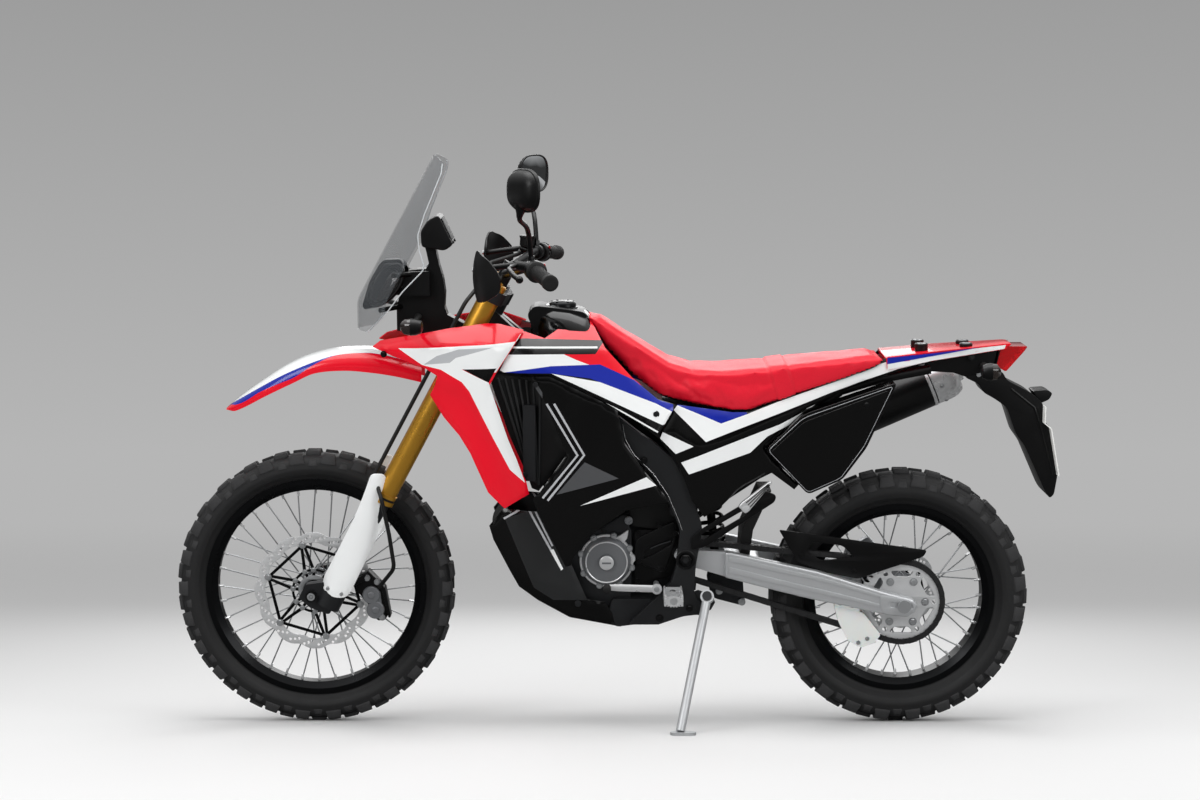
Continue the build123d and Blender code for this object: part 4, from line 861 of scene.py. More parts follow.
# ---------------------------------------------------------------- settings
class MotorcycleColours(bpy.types.PropertyGroup):
    """Main colours of the bodywork, as sRGB hex."""

    red: bpy.props.StringProperty(
        name="Red panels", description="Shrouds and front fender, sRGB hex", default="#e60a24"
    )
    blue: bpy.props.StringProperty(
        name="Blue stripes", description="Stripes on tank and tail, sRGB hex", default="#10249a"
    )
    seat: bpy.props.StringProperty(name="Seat vinyl", description="Seat cover, sRGB hex", default="#dc0a28")


class MotorcycleSizes(bpy.types.PropertyGroup):
    """Sizes of what repeats."""

    front_pitches: bpy.props.IntProperty(
        name="Front tread pitches", description="Crown lugs round the front tyre", default=26
    )
    rear_pitches: bpy.props.IntProperty(
        name="Rear tread pitches", description="Crown lugs round the rear tyre", default=24
    )
    spokes: bpy.props.IntProperty(
        name="Spokes", description="Spokes of each wheel", default=36, min=12, max=48
    )
    wire: bpy.props.FloatProperty(
        name="Spoke radius", description="Radius of the spoke wire in mm", default=1.8
    )


def colours():
    """The scene's colour settings."""
    return bpy.context.scene.motorcycle_colours


def sizes():
    """The scene's size settings."""
    return bpy.context.scene.motorcycle_sizes


# ---------------------------------------------------------------- wheels
FRONT = (FRONT_AXLE.x, FRONT_AXLE.z)
REAR = (0.0, REAR_RADIUS)


def lug(section, length, side):
    """One tread block standing out along x, from its section's (y, radius) corners, with drafted ends."""
    bm = bmesh.new()
    tip = max(r for _, r in section)
    draft = 0.16
    ends = []
    for sign in (-1, 1):
        ends.append(
            [bm.verts.new((r, side * y, sign * (length / 2 + (tip - r) * draft))) for y, r in section]
        )
    close_solid(bm, *ends)
    return rounded(bm, 1.3, 1)


def carcass(half, rim, crown_radius, bead, depth):
    """The y, radius section of a tyre under its blocks, with raised rings on the walls."""
    crown = crown_radius - rim
    outer = [
        (bead, rim - 10),
        (bead, rim + 2),
        (bead + 3.5, rim + 6),
        (half * 0.83, rim + crown * 0.2),
        (half * 0.87, rim + crown * 0.22),
        (half * 0.885, rim + crown * 0.28),
        (half * 0.92, rim + crown * 0.31),
        (half * 0.95, rim + crown * 0.43),
        (half * 0.935, rim + crown * 0.46),
        (half * 0.945, rim + crown * 0.56),
        (half * 0.87, rim + crown * 0.73),
        (half * 0.72, rim + crown * 0.8),
        (24, crown_radius - depth - 0.6),
        (9, crown_radius - depth),
    ]
    inner = [
        (half * 0.6, rim + crown * 0.64), (half * 0.75, rim + crown * 0.4), (bead - 7, rim - 2),
        (bead - 7, rim - 10),
    ]
    right = [(-y, r) for y, r in reversed(outer)]
    return outer + right + [(-y, r) for y, r in reversed(inner)] + inner


class MOTORCYCLE_OT_tyres(bpy.types.Operator):
    """Vulcanised carcasses with pairs of crown blocks in turn with shoulder blocks."""

    bl_idname = "motorcycle.tyres"
    bl_label = "Tyres"

    def execute(self, context):
        # Each block: its phase in half pitches, its share of a half pitch, and its section as (y, radius).
        front_lugs = [
            (0, 0.8, [(2, 346.5), (10, 346.5), (22.8, 344.7), (24.3, 333), (1, 333)]),
            (1, 0.72, [(27, 342.7), (40.4, 336.4), (43.9, 318.4), (41, 315), (33, 324), (26, 332)]),
            (0, 0.42, [(37.4, 329.4), (43.0, 312), (41, 310), (34, 326)]),
        ]
        rear_lugs = [
            (0, 0.84, [(2, 323), (10, 323), (22.8, 320.9), (24.3, 308), (1, 308)]),
            (1, 0.8, [(27, 318.6), (39.5, 315.3), (40.5, 302), (26, 306)]),
            (1, 0.72, [(42.5, 314.4), (55, 311), (59.9, 289.2), (56, 284), (47, 297), (41.5, 303)]),
            (0, 0.42, [(50.6, 303.4), (58.4, 284), (56, 281), (46, 299)]),
        ]
        table = [
            (
                "front_tyre", "front_wheel", FRONT,
                carcass(half=44, rim=275, crown_radius=346.5, bead=23.7, depth=9.6), front_lugs,
                sizes().front_pitches,
            ),
            (
                "rear_tyre", "rear_wheel", REAR,
                carcass(half=60, rim=238, crown_radius=323, bead=32.7, depth=9.6), rear_lugs,
                sizes().rear_pitches,
            ),
        ]
        for name, body, centre, section, lugs, pitches in table:
            # The blocks take the paler second rubber, a painted highlight on the tread.
            shape = Shape("tyre_rubber_vulcanised", "tyre_tread_rubber_painted_highlight")
            shape.take(lathe(section, centre, 144))
            hub = Vector((centre[0], 0, centre[1]))
            for phase, share, corners in lugs:
                length = math.pi / pitches * corners[0][1] * share
                turns = [math.pi / 2 - math.pi * (2 * i + phase) / pitches for i in range(pitches)]
                places = [(hub, Matrix.Rotation(turn, 3, "Y"), 1.0) for turn in turns]
                for side in (1, -1):
                    shape.scatter(lug(corners, length, side), places, 1)
            shape.done(name + "_treaded", body, name, sharp=50)
        return {"FINISHED"}


class MOTORCYCLE_OT_wheels(bpy.types.Operator):
    """Turned hubs laced to black rims, with their nipples."""

    bl_idname = "motorcycle.wheels"
    bl_label = "Hubs, spokes and rims"

    def execute(self, context):
        front_hub = [
            (57.7, 8.6), (57.7, 40), (52, 40), (48, 27), (40, 25), (37.5, 27), (37.5, 36), (30.5, 36),
            (29, 24), (22, 20.5), (-22, 20.5), (-29, 24), (-30.5, 36), (-37.5, 36), (-37.5, 26), (-46, 22),
            (-57.7, 20), (-57.7, 8.6),
        ]
        rear_hub = [
            (74.2, 9.1), (74.2, 62), (61, 62), (57, 46), (46, 42), (37.5, 43), (37.5, 54), (30.5, 54),
            (28, 38), (22, 32), (-22, 32), (-28, 38), (-30.5, 54), (-37.5, 54), (-37.5, 40), (-46, 36),
            (-75.7, 36), (-75.7, 9.1),
        ]
        # End, axle, hub section, flange radius, rim radius and the spokes' offset at the rim.
        table = [
            ("front", FRONT, front_hub, 32.0, 246.5, 5.4),
            ("rear", REAR, rear_hub, 50.0, 209.5, 7.2),
        ]
        flange_y, nipple_length, count = 34.0, 14.0, sizes().spokes
        for end, centre, section, flange, rim, offset in table:
            shape = Shape("aluminium_cast_grey", "steel_zinc_plated", "aluminium_machined_bright_and_painted_highlight")
            shape.take(lathe(section, centre, 64))
            wires = evaluated(
                spoke_tree(),
                bpy.data.meshes.new("base"),
                {
                    "Spokes": count,
                    "Flange radius": flange,
                    "Rim radius": rim,
                    "Left flange": flange_y,
                    "Right flange": -flange_y,
                    "Rim offset": offset,
                    "Wire radius": sizes().wire,
                    "Finish": MATERIALS["steel_zinc_plated"],
                },
            )
            wires.transform(Matrix.Translation((centre[0], 0, centre[1])))
            shape.take(from_mesh(wires), 1)
            nipples = []
            for i in range(count):
                a = 2 * math.pi * i / count
                side = 1 if i % 2 == 0 else -1
                out = Vector((math.cos(a), 0, math.sin(a)))
                aim = (out * (rim - flange) + Vector((0, side * (offset - flange_y), 0))).normalized()
                point = Vector((centre[0], side * offset, centre[1])) + out * rim
                nipples.append((point - aim * nipple_length, facing(aim), 1.0))
            nipple = turned([(0, 2.6), (1.5, 3.2), (10, 3.2), (15, 4.2)], (0, 0, 0), (0, 0, 1), 8)
            shape.scatter(nipple, nipples, 2)
            shape.done(end + "_hub_laced", end + "_wheel", end + "_hub_spokes")
            paint_node(end + "_rim", "black_aluminium_anodised")
        return {"FINISHED"}


def wave_ring(centre, radius, wave, count):
    """A ring whose radius rises and falls count times."""
    steps = count * 10
    shares = [i / steps for i in range(steps)]
    return [
        polar(centre, radius - wave * (0.5 - 0.5 * math.cos(2 * math.pi * s * count)) ** 2, s) for s in shares
    ]


class MOTORCYCLE_OT_brakes(bpy.types.Operator):
    """Ground wave discs with drilled rows on their carriers, and the rear sprocket."""

    bl_idname = "motorcycle.brakes"
    bl_label = "Brake discs and sprocket"

    def execute(self, context):
        # Name, body, axle, outer and inner radius, waves, lowest and highest y, hub radius, bore.
        table = [
            ("front_disc", "front_wheel", FRONT, 148, 118, 12, 58, 62, 46, 8.6),
            ("rear_disc", "rear_wheel", REAR, 110, 84, 10, -80, -76, 44, 9.1),
        ]
        arms, arm_turn, rim_width, hole_radius = 6, 17 / 360, 4, 3.4
        for name, body, centre, outer, inner, waves, low, high, boss, bore in table:
            shape = Shape("steel_stainless_ground", "black_aluminium_anodised", "steel_zinc_plated")
            rings = [wave_ring(centre, outer, 7, waves), wave_ring(centre, inner + rim_width, 5, waves)[::-1]]
            for i in range(waves * 2):
                for k, share in enumerate((0.3, 0.55, 0.8)):
                    hole = polar(
                        centre, mix(inner + rim_width, outer - 6, share),
                        (i + 0.5 + 0.28 * (k - 1)) / (waves * 2),
                    )
                    rings.append(circle(*hole, hole_radius, 10)[::-1])
            shape.take(cut_sheet(rings, low + 0.2, high - 0.2, 0.3))
            # The carrier: a ring on the hub, and struts that meet in pairs at the disc's bobbins.
            ring = boss + 10
            for edge, hole, count, number in (
                (ring, ring - 6, 48, 1), (boss - 6, boss - 18, 48, 2), (boss - 18, bore, 32, 1)
            ):
                band = [circle(*centre, edge, 48), circle(*centre, hole, count)[::-1]]
                shape.take(cut_sheet(band, low + 0.4, high - 0.4, 0.5), number)
            sign, face = (1, high) if high > 0 else (-1, low)
            heads = []
            for i in range(arms):
                turn = i + arm_turn * arms
                bobbin = polar(centre, inner + 1, turn / arms)
                heads.append(((bobbin[0], face, bobbin[1]), facing((0, sign, 0)), 1.0))
                shape.plate(
                    stripe([polar(centre, inner - 5, turn / arms), bobbin], 16), low + 0.5, high - 0.5, 0.8,
                    number=1,
                )
                for share in (-0.2, 0.2):
                    node = polar(centre, inner - 5, (turn + share * 0.16) / arms)
                    root = polar(centre, ring - 3, (turn + share) / arms)
                    foot = polar(centre, boss - 8, (turn + share) / arms)
                    shape.plate(stripe([foot, root, node], 7.5), low + 0.4, high - 0.4, 0.8, number=1)
                    heads.append(((root[0], face, root[1]), facing((0, sign, 0)), 0.75))
                tie = [polar(centre, inner - 4, (turn + share) / arms) for share in (0.06, 0.94)]
                shape.plate(stripe(tie, 7.5), low + 0.6, high - 0.6, 0.8, number=1)
            shape.scatter(bolt(6.5, 3.4, False), heads, 2)
            shape.done(name + "_wave", body, name)
        teeth, tip, root = 40, 106.0, 95.5
        tooth = ((-0.32, root), (-0.14, tip - 1), (0.14, tip - 1), (0.32, root), (0.5, root - 2))
        rings = [[polar(REAR, radius, (i + share) / teeth) for i in range(teeth) for share, radius in tooth]]
        rings.append(circle(*REAR, 9.2, 32)[::-1])
        slot = ((66, -0.3), (84, -0.36), (84, 0.36), (66, 0.3))
        for i in range(6):
            hole = [polar(REAR, radius, (i + 0.5) / 6 + angle / (2 * math.pi)) for radius, angle in slot]
            rings.append(softened(hole, 9)[::-1])
            rings.append(circle(*polar(REAR, 80, i / 6), 6, 12)[::-1])
        shape = Shape("steel_stainless_ground", "steel_zinc_plated")
        shape.take(cut_sheet(rings, 75.2, 80.8, 0.8))
        nuts = along_y([polar(REAR, 58, i / 6) for i in range(6)], 80.8)
        shape.scatter(bolt(7.5, 3.8), nuts, 1)
        shape.done("rear_sprocket_slotted", "rear_wheel", "rear_sprocket")
        return {"FINISHED"}


class MOTORCYCLE_OT_chain(bpy.types.Operator):
    """A roller chain of inner and outer links laid round both sprockets."""

    bl_idname = "motorcycle.chain"
    bl_label = "Chain"

    def execute(self, context):
        pitch, rear_teeth, front_teeth, chain_y = 15.875, 40, 14, 78.0
        rear_r, front_r = (pitch / 2 / math.sin(math.pi / teeth) for teeth in (rear_teeth, front_teeth))
        rear_c, front_c = Vector((0.0, REAR_RADIUS)), Vector((612.0, 448.0))
        gap = front_c - rear_c
        base = math.atan2(gap.y, gap.x)
        spread = math.acos((rear_r - front_r) / gap.length)
        path = []
        for centre, radius, start, sweep in (
            (rear_c, rear_r, base + spread, 2 * math.pi - 2 * spread),
            (front_c, front_r, base - spread, 2 * spread),
        ):
            for i in range(49):
                a = start + sweep * i / 48
                path.append(centre + Vector((math.cos(a), math.sin(a))) * radius)
        path.append(path[0])
        lengths = [0.0]
        for a, b in zip(path, path[1:]):
            lengths.append(lengths[-1] + (b - a).length)
        count = round(lengths[-1] / pitch / 2) * 2

        def at(distance):
            distance %= lengths[-1]
            k = max(i for i in range(len(path) - 1) if lengths[i] <= distance)
            return path[k].lerp(path[k + 1], (distance - lengths[k]) / max(1e-6, lengths[k + 1] - lengths[k]))

        groups = [[], []]
        for i in range(count):
            a, b = at(lengths[-1] * i / count), at(lengths[-1] * (i + 1) / count)
            along = (b - a).normalized()
            x_axis = Vector((along.x, 0, along.y))
            turn = Matrix((x_axis, (0, 1, 0), x_axis.cross(Vector((0, 1, 0))))).transposed()
            middle = (a + b) / 2
            groups[i % 2].append((Vector((middle.x, chain_y, middle.y)), turn, 1.0))
        shape = Shape("steel_chain_oiled")
        pin = 7.9
        eye = circle(0, 0, 7.0, 10)
        plate = [(x - pin, z) for x, z in eye if x < 1] + [(x + pin, z) for x, z in eye if x > -1]
        plate.sort(key=lambda p: math.atan2(p[1], p[0]))
        # Inner links carry the rollers and outer links the pins.
        for k, (inner, outer, half, radius) in enumerate(((4.3, 6.0, 4.3, 5.0), (6.1, 7.7, 7.95, 2.5))):
            parts = [prism(plate, inner, outer), prism(plate, -outer, -inner)]
            parts += [bar((s * pin, -half, 0), (s * pin, half, 0), radius, 0.1, 8) for s in (1, -1)]
            shape.scatter(merged(parts), groups[k])
        shape.done("drive_chain_linked", "chassis", "chain", sharp=30)
        return {"FINISHED"}


# ---------------------------------------------------------------- bodywork outlines, x and z in mm
SHROUD = [
    (1298, 960), (1278, 975), (1192, 994), (1108, 1012), (1019, 1023), (988, 1021), (930, 1004), (993, 910),
    (1009, 881), (967, 751), (923, 641), (917, 612), (975, 583), (1014, 625), (1035, 672), (1056, 719),
    (1082, 761), (1119, 803), (1153, 855), (1140, 881), (1134, 902), (1166, 920), (1244, 941),
]
SHROUD_PLAN = [(1310, 98), (1240, 140), (1170, 182), (1090, 206), (1010, 205), (960, 180), (900, 142)]
FAIRING = [
    (935, 897), (911, 887), (879, 838), (826, 711), (893, 617), (908, 604), (896, 572), (829, 436),
    (816, 440), (812, 455), (777, 507), (682, 572), (578, 589), (593, 612), (641, 670), (687, 738),
    (699, 790), (706, 815), (746, 840), (867, 898),
]
DUCT = [
    (1003, 903), (1007, 880), (965, 751), (922, 648), (912, 618), (895, 612), (820, 711), (872, 838),
    (900, 880), (930, 905), (985, 908),
]
FAIRING_PLAN = [(960, 190), (880, 190), (780, 182), (680, 172), (560, 160)]
COVER = [
    (940, 1003), (879, 984), (831, 1013), (770, 1025), (734, 962), (669, 892), (604, 840), (563, 827),
    (609, 753), (649, 785), (746, 843), (867, 901), (976, 909), (985, 914),
]
COVER_PLAN = [(1000, 196), (900, 186), (800, 172), (700, 158), (540, 138)]
SIDE = [
    (543, 648), (566, 693), (607, 749), (560, 824), (501, 815), (426, 804), (385, 804), (269, 844),
    (154, 882), (73, 911), (52, 932), (-263, 962), (-228, 950), (-24, 912), (121, 869), (245, 812),
    (348, 719), (329, 692), (262, 626), (273, 614), (329, 656), (407, 619), (454, 574), (493, 551),
    (522, 590),
]
SIDE_PLAN = [(620, 146), (560, 138), (426, 124), (269, 114), (73, 96), (-100, 76), (-270, 48)]
BELLY = [
    (981, 567), (1017, 523), (1007, 488), (945, 370), (900, 336), (821, 292), (695, 268), (734, 334),
    (778, 340), (821, 440), (887, 558),
]


class MOTORCYCLE_OT_shrouds(bpy.types.Operator):
    """Red moulded shrouds with a white field and a darker turned-in facet."""

    bl_idname = "motorcycle.shrouds"
    bl_label = "Shrouds"

    def execute(self, context):
        white = [
            (1231, 962), (1072, 975), (930, 981), (937, 996), (931, 1005), (994, 911), (1075, 920),
            (1011, 888), (983, 805), (926, 641), (930, 645), (962, 677), (983, 720), (1057, 868), (1075, 890),
            (1125, 918), (1171, 927),
        ]
        black = [(1073, 920), (993, 921), (1011, 888)]
        grey = [(1167, 928), (1135, 950), (1082, 967), (1000, 971), (1089, 947), (1103, 935)]

        def height(x, z):
            y = curve_at(SHROUD_PLAN, x) + (850 - z) * 0.1
            crest = curve_at([(1300, 950), (1120, 972), (930, 968)], x)
            y -= max(0.0, z - crest) ** 1.15 * 0.5
            lower = curve_at([(1160, 905), (1060, 868), (983, 720), (926, 630)], x)
            return y - 9 * smoothstep(0, 40, lower - z)

        shape = Shape(
            "red_abs_gloss_moulded", "white_abs_gloss_moulded", "black_abs_gloss_moulded",
            "silver_film_stripe_and_painted_highlight",
        )
        sheet = panel(SHROUD, height, [(white, 1), (black, 2), (grey, 3)], wall=3.5, spacing=10)
        shape.take(sheet, both=True, keep=True)
        heads = [((1268, height(1268, 945) - 1, 945), facing((0.2, 1, 0)), 1.0)]
        shape.scatter(bolt(6, 4), heads, 2, both=True)
        shape.done("shrouds_moulded", "chassis", "shrouds")
        return {"FINISHED"}


class MOTORCYCLE_OT_fairings(bpy.types.Operator):
    """Black gloss side fairings with silver lines and a white wedge, radiator ducts and belly pan."""

    bl_idname = "motorcycle.fairings"
    bl_label = "Side fairings and belly pan"

    def execute(self, context):
        # Material 3, the grey triangle and the grey sliver by the duct, is a painted reflection of facets
        # catching the light.
        regions = [
            ([(783, 692), (701, 651), (851, 614)], 3),
            ([(794, 586), (634, 653), (610, 632)], 2),
            (stripe([(856, 833), (784, 709), (872, 600)], 5.5), 1),
            (stripe([(874, 833), (800, 709), (884, 606)], 5.5), 1),
            ([(908, 881), (884, 842), (884, 860), (898, 884)], 3),
        ]

        def height(x, z):
            y = curve_at(FAIRING_PLAN, x) - 0.03 * (z - 650)
            return y - 10 * smoothstep(0, 60, (x - 800) * 0.6 + (z - 700) * 0.2) * smoothstep(640, 700, z)

        shape = Shape(
            "black_abs_gloss_moulded", "silver_film_stripe_and_painted_highlight", "white_abs_gloss_moulded",
            "grey_painted_facet_reflection",
        )
        shape.take(panel(FAIRING, height, regions, wall=3.5, spacing=10, hem=8, curl=3), both=True, keep=True)
        shape.done("side_fairings_moulded", "chassis", "side_fairings")

        # The duct behind each shroud is set back, with slats that narrow to its foot.
        def recess(x, z):
            return 128 + abs(x - 915) * 0.35

        shape = Shape("black_pp_satin_moulded", "grey_pp_grained_moulded")
        shape.take(panel(DUCT, recess, wall=3, spacing=12, hem=6, curl=4), both=True, keep=True)
        for i in range(7):
            top, foot = Vector((992 - 17 * i, 0, 893 - 2 * i)), Vector((912 - 3 * i, 0, 640 - 2 * i))
            top.y, foot.y = recess(top.x, top.z) + 1, recess(foot.x, foot.z) + 1
            shape.take(bar(top, foot, 3.2, 1.0, 8), 1, both=True)
        shape.done("radiator_ducts_moulded", "chassis")

        satin = [(979, 544), (912, 563), (878, 559), (822, 443), (774, 339), (860, 337), (908, 369)]
        pan = [
            (satin, 1),
            (stripe([(882, 602), (920, 566), (842, 421)], 5.5), 2),
            ([(868, 464), (860, 468), (836, 418), (841, 414)], 3),
            (stripe([(893, 590), (906, 566), (862, 475)], 4.5), 2),
            (stripe([(981, 542), (916, 580), (884, 600)], 5), 2),
        ]

        def pan_side(x, z):
            return 131 - 10 * smoothstep(940, 1010, x) - 12 * smoothstep(60, 0, z - 268 - (x - 695) * 0.35)

        shape = Shape(
            "black_abs_gloss_moulded", "grey_pp_grained_moulded", "silver_film_stripe_and_painted_highlight",
            "white_abs_gloss_moulded",
        )
        shape.take(panel(BELLY, pan_side, pan, wall=3.5, spacing=10, hem=10, curl=6), both=True, keep=True)
        # The pan's front and floor run on from side to side along the first stretch of its outline.
        front = filleted([(x, 0, z) for x, z in BELLY[:7]], 18)
        bow = 4
        rows = []
        for x, _, z in front:
            side = pan_side(x, z) - 6
            rows.append(
                [
                    (x - bow * 2 * s**2 - 1, side * s, z + bow * 0.4 * s**2)
                    for s in (k / 8 for k in range(-8, 9))
                ]
            )
        shape.take(thickened(facing_out(grid_skin(rows), (1, 0, 0)), 3))
        shape.done("belly_pan_moulded", "chassis", "belly_pan")
        return {"FINISHED"}


class MOTORCYCLE_OT_covers(bpy.types.Operator):
    """Tank covers and side covers with plain bands of colour."""

    bl_idname = "motorcycle.covers"
    bl_label = "Tank and side covers"

    def execute(self, context):
        regions = [
            ([(991, 1010), (700, 1030), (600, 850), (746, 924), (863, 922), (991, 907)], 1),
            ([(991, 980), (930, 985), (735, 978), (757, 948), (811, 948), (833, 949), (991, 950)], 0),
            (stripe([(965, 966), (752, 963)], 4), 2),
            ([(991, 950), (833, 949), (800, 934), (757, 918), (766, 905), (863, 920), (991, 905)], 2),
            (
                [
                    (991, 907), (982, 908), (863, 922), (746, 924), (663, 886), (607, 840), (570, 828),
                    (570, 810), (611, 831), (770, 892), (863, 905),
                ],
                3,
            ),
            ([(863, 905), (746, 883), (611, 831), (570, 810), (570, 790), (596, 781), (770, 862)], 2),
            (stripe([(607, 765), (690, 812), (770, 851)], 4), 2),
        ]

        def height(x, z):
            y = curve_at(COVER_PLAN, x) + (860 - z) * 0.35
            return y - max(0.0, z - 955) ** 1.2 * 0.35

        shape = Shape(
            "black_abs_gloss_moulded", "red_abs_gloss_moulded", "white_abs_gloss_moulded",
            "blue_abs_gloss_moulded", "black_steel_powder_coated",
        )
        shape.take(panel(COVER, height, regions, wall=3.5, spacing=10, hem=8, curl=3.5), both=True, keep=True)
        heads = [((612, height(612, 806) - 1.5, 806), facing((0, 1, 0.3)), 1.0)]
        shape.scatter(bolt(6.5, 4, False), heads, 4, both=True)
        shape.done("tank_covers_moulded", "chassis", "tank_covers")

        side_regions = [
            ([(595, 761), (520, 725), (563, 707), (601, 746)], 2),
            ([(568, 830), (559, 823), (453, 778), (389, 800), (397, 812)], 3),
            (
                [
                    (568, 812), (559, 823), (453, 778), (389, 800), (269, 846), (154, 884), (100, 900),
                    (102, 879), (183, 851), (321, 798), (490, 735),
                ],
                2,
            ),
            (
                [
                    (550, 686), (531, 657), (382, 707), (341, 746), (247, 794), (184, 836), (183, 840),
                    (310, 775), (512, 700),
                ],
                2,
            ),
            ([(51, 934), (51, 930), (-126, 950), (-242, 958), (-263, 964), (52, 940)], 1),
            ([(51, 930), (51, 921), (-34, 932), (-149, 946), (-226, 955), (-242, 958), (-126, 950)], 3),
            (
                [
                    (102, 905), (102, 879), (20, 905), (-92, 929), (-226, 949), (-149, 946), (-34, 932),
                    (51, 921),
                ],
                2,
            ),
        ]

        def side_height(x, z):
            y = curve_at(SIDE_PLAN, x) + (820 - z) * 0.15
            ridge = curve_at([(568, 760), (500, 725), (320, 790), (183, 845), (20, 905), (-228, 952)], x)
            return y - abs(z - ridge) * 0.12 + 3

        shape = Shape(
            "black_abs_gloss_moulded", "red_abs_gloss_moulded", "white_abs_gloss_moulded",
            "blue_abs_gloss_moulded", "black_steel_powder_coated",
        )
        shape.take(
            panel(SIDE, side_height, side_regions, wall=3.0, spacing=9, hem=7, curl=3), both=True, keep=True
        )
        heads = [((-161, side_height(-161, 930) - 1, 930), facing((0, 1, 0.3)), 1.0)]
        shape.scatter(bolt(6, 4, False), heads, 4, both=True)
        shape.done("side_covers_moulded", "chassis", "side_covers")
        return {"FINISHED"}


def fender_shell(stations):
    """A crowned skin from stations of (x, crown z, skirt z, half width, roundness, inner band, outer band).
    The bands are shares of the way from crown to skirt, with material 1 inside the inner one, 2 between them
    and 0 outside."""
    rows = []
    for x, top, low, half, power, first, second in stations:
        shares = [first * k / 10 for k in range(11)]
        shares += [mix(first, second, k / 4) for k in range(1, 5)]
        shares += [mix(second, 1, k / 9) for k in range(1, 10)]
        row = []
        for t in [-t for t in shares[:0:-1]] + shares:
            a = t * math.pi / 2
            y = half * math.copysign(abs(math.sin(a)) ** power, a)
            row.append((x, y, low + (top - low) * max(0.0, math.cos(a)) ** power))
        rows.append(row)
    bm = grid_skin(rows)
    columns = len(rows[0]) - 1
    for i, face in enumerate(bm.faces):
        column = abs(i % columns + 0.5 - columns / 2)
        face.material_index = 1 if column < 10 else 2 if column < 14 else 0
    return facing_out(bm, (0, 0, 1))


class MOTORCYCLE_OT_front_fender(bpy.types.Operator):
    """A long crowned fender with a pointed nose, white and blue side bands and its bracket."""

    bl_idname = "motorcycle.front_fender"
    bl_label = "Front fender"

    def execute(self, context):
        top = [
            (1667, 799), (1632, 829), (1572, 871), (1518, 905), (1464, 929), (1398, 945), (1317, 949),
            (1285, 945), (1240, 933), (1181, 913),
        ]
        low = [
            (1667, 796), (1640, 796), (1561, 836), (1491, 870), (1442, 892), (1371, 899), (1306, 894),
            (1246, 884), (1181, 868),
        ]
        width = [(1667, 24), (1640, 46), (1560, 67), (1420, 75), (1300, 73), (1181, 59)]
        inner = [
            (1666, 0.01), (1640, 0.4), (1576, 0.58), (1480, 0.66), (1443, 0.64), (1388, 0.5), (1300, 0.42),
            (1181, 0.4),
        ]
        outer = [
            (1666, 0.02), (1640, 0.72), (1576, 0.8), (1505, 0.9), (1480, 0.89), (1443, 0.76), (1388, 0.51),
            (1300, 0.43), (1181, 0.41),
        ]
        stations = []
        for i in range(81):
            x = mix(1666.5, 1182, i / 80)
            crown, skirt = curve_at(top, x), min(curve_at(low, x), curve_at(top, x) - 2)
            stations.append(
                (x, crown, skirt, curve_at(width, x), 0.72, curve_at(inner, x), curve_at(outer, x))
            )
        bm = fender_shell(stations)
        shape = Shape(
            "red_abs_gloss_moulded", "white_abs_gloss_moulded", "blue_abs_gloss_moulded",
            "black_pp_satin_moulded",
        )
        shape.take(thickened(bm, 3.0), keep=True)
        low_at = [
            tuple(FORK @ Vector((f, 0, u)))[::2]
            for f, u in ((-16, 655), (40, 655), (100, 632), (100, 622), (40, 628), (-16, 632))
        ]
        shape.plate(low_at, -44, 44, 3, number=3)
        shape.done("front_fender_moulded", "steering", "front_fender")
        return {"FINISHED"}


class MOTORCYCLE_OT_fork(bpy.types.Operator):
    """Gold tubes, machined feet, white guards and the cast clamps."""

    bl_idname = "motorcycle.fork"
    bl_label = "Front fork"

    def execute(self, context):
        paint_node("fork_tubes", "gold_aluminium_anodised_drawn")
        paint_node("fork_sliders", "grey_aluminium_painted_satin")
        paint_node("fork_clamps", "aluminium_cast_dark")
        paint_node("front_axle", "black_steel_powder_coated")
        paint_node("brake_hose", "rubber_moulded_black")
        outline = [
            (1302, 655), (1322, 600), (1345, 545), (1385, 468), (1424, 395), (1429, 372), (1420, 356),
            (1395, 346), (1369, 343), (1356, 362), (1342, 390), (1310, 455), (1276, 523), (1266, 575),
            (1264, 630), (1271, 655),
        ]
        foot = Vector((1398, 352))
        axis = Vector((-110, 303)).normalized()

        def height(x, z):
            offset = (x - foot.x) * axis.y - (z - foot.y) * axis.x
            along = (x - foot.x) * axis.x + (z - foot.y) * axis.y
            half = curve_at([(-20, 30), (60, 46), (220, 45), (330, 26)], along)
            return 102 + 32 * math.sqrt(max(0.06, 1 - (offset / half) ** 2))

        shape = Shape("white_abs_gloss_moulded", "steel_zinc_plated")
        shape.take(panel(softened(outline, 10, 3), height, wall=3, spacing=8, hem=5, curl=2), both=True)
        heads = []
        for x, z in ((1412, 368), (1381, 355)):
            heads.append(((x, height(x, z) - 0.8, z), facing((0, 1, 0)), 1.0))
        shape.scatter(bolt(4, 3), heads, 1, both=True)
        for low, high, rings in ((127.6, 129.2, (9.5, 5)), (127.6, 128.6, (4, 1))):
            ring = [circle(*FRONT, rings[0], 32), circle(*FRONT, rings[1], 24)[::-1]]
            shape.take(cut_sheet(ring, low, high, 0.4), 1, both=True)
        shape.done("fork_guards_moulded", "steering", "fork_guards")
        return {"FINISHED"}


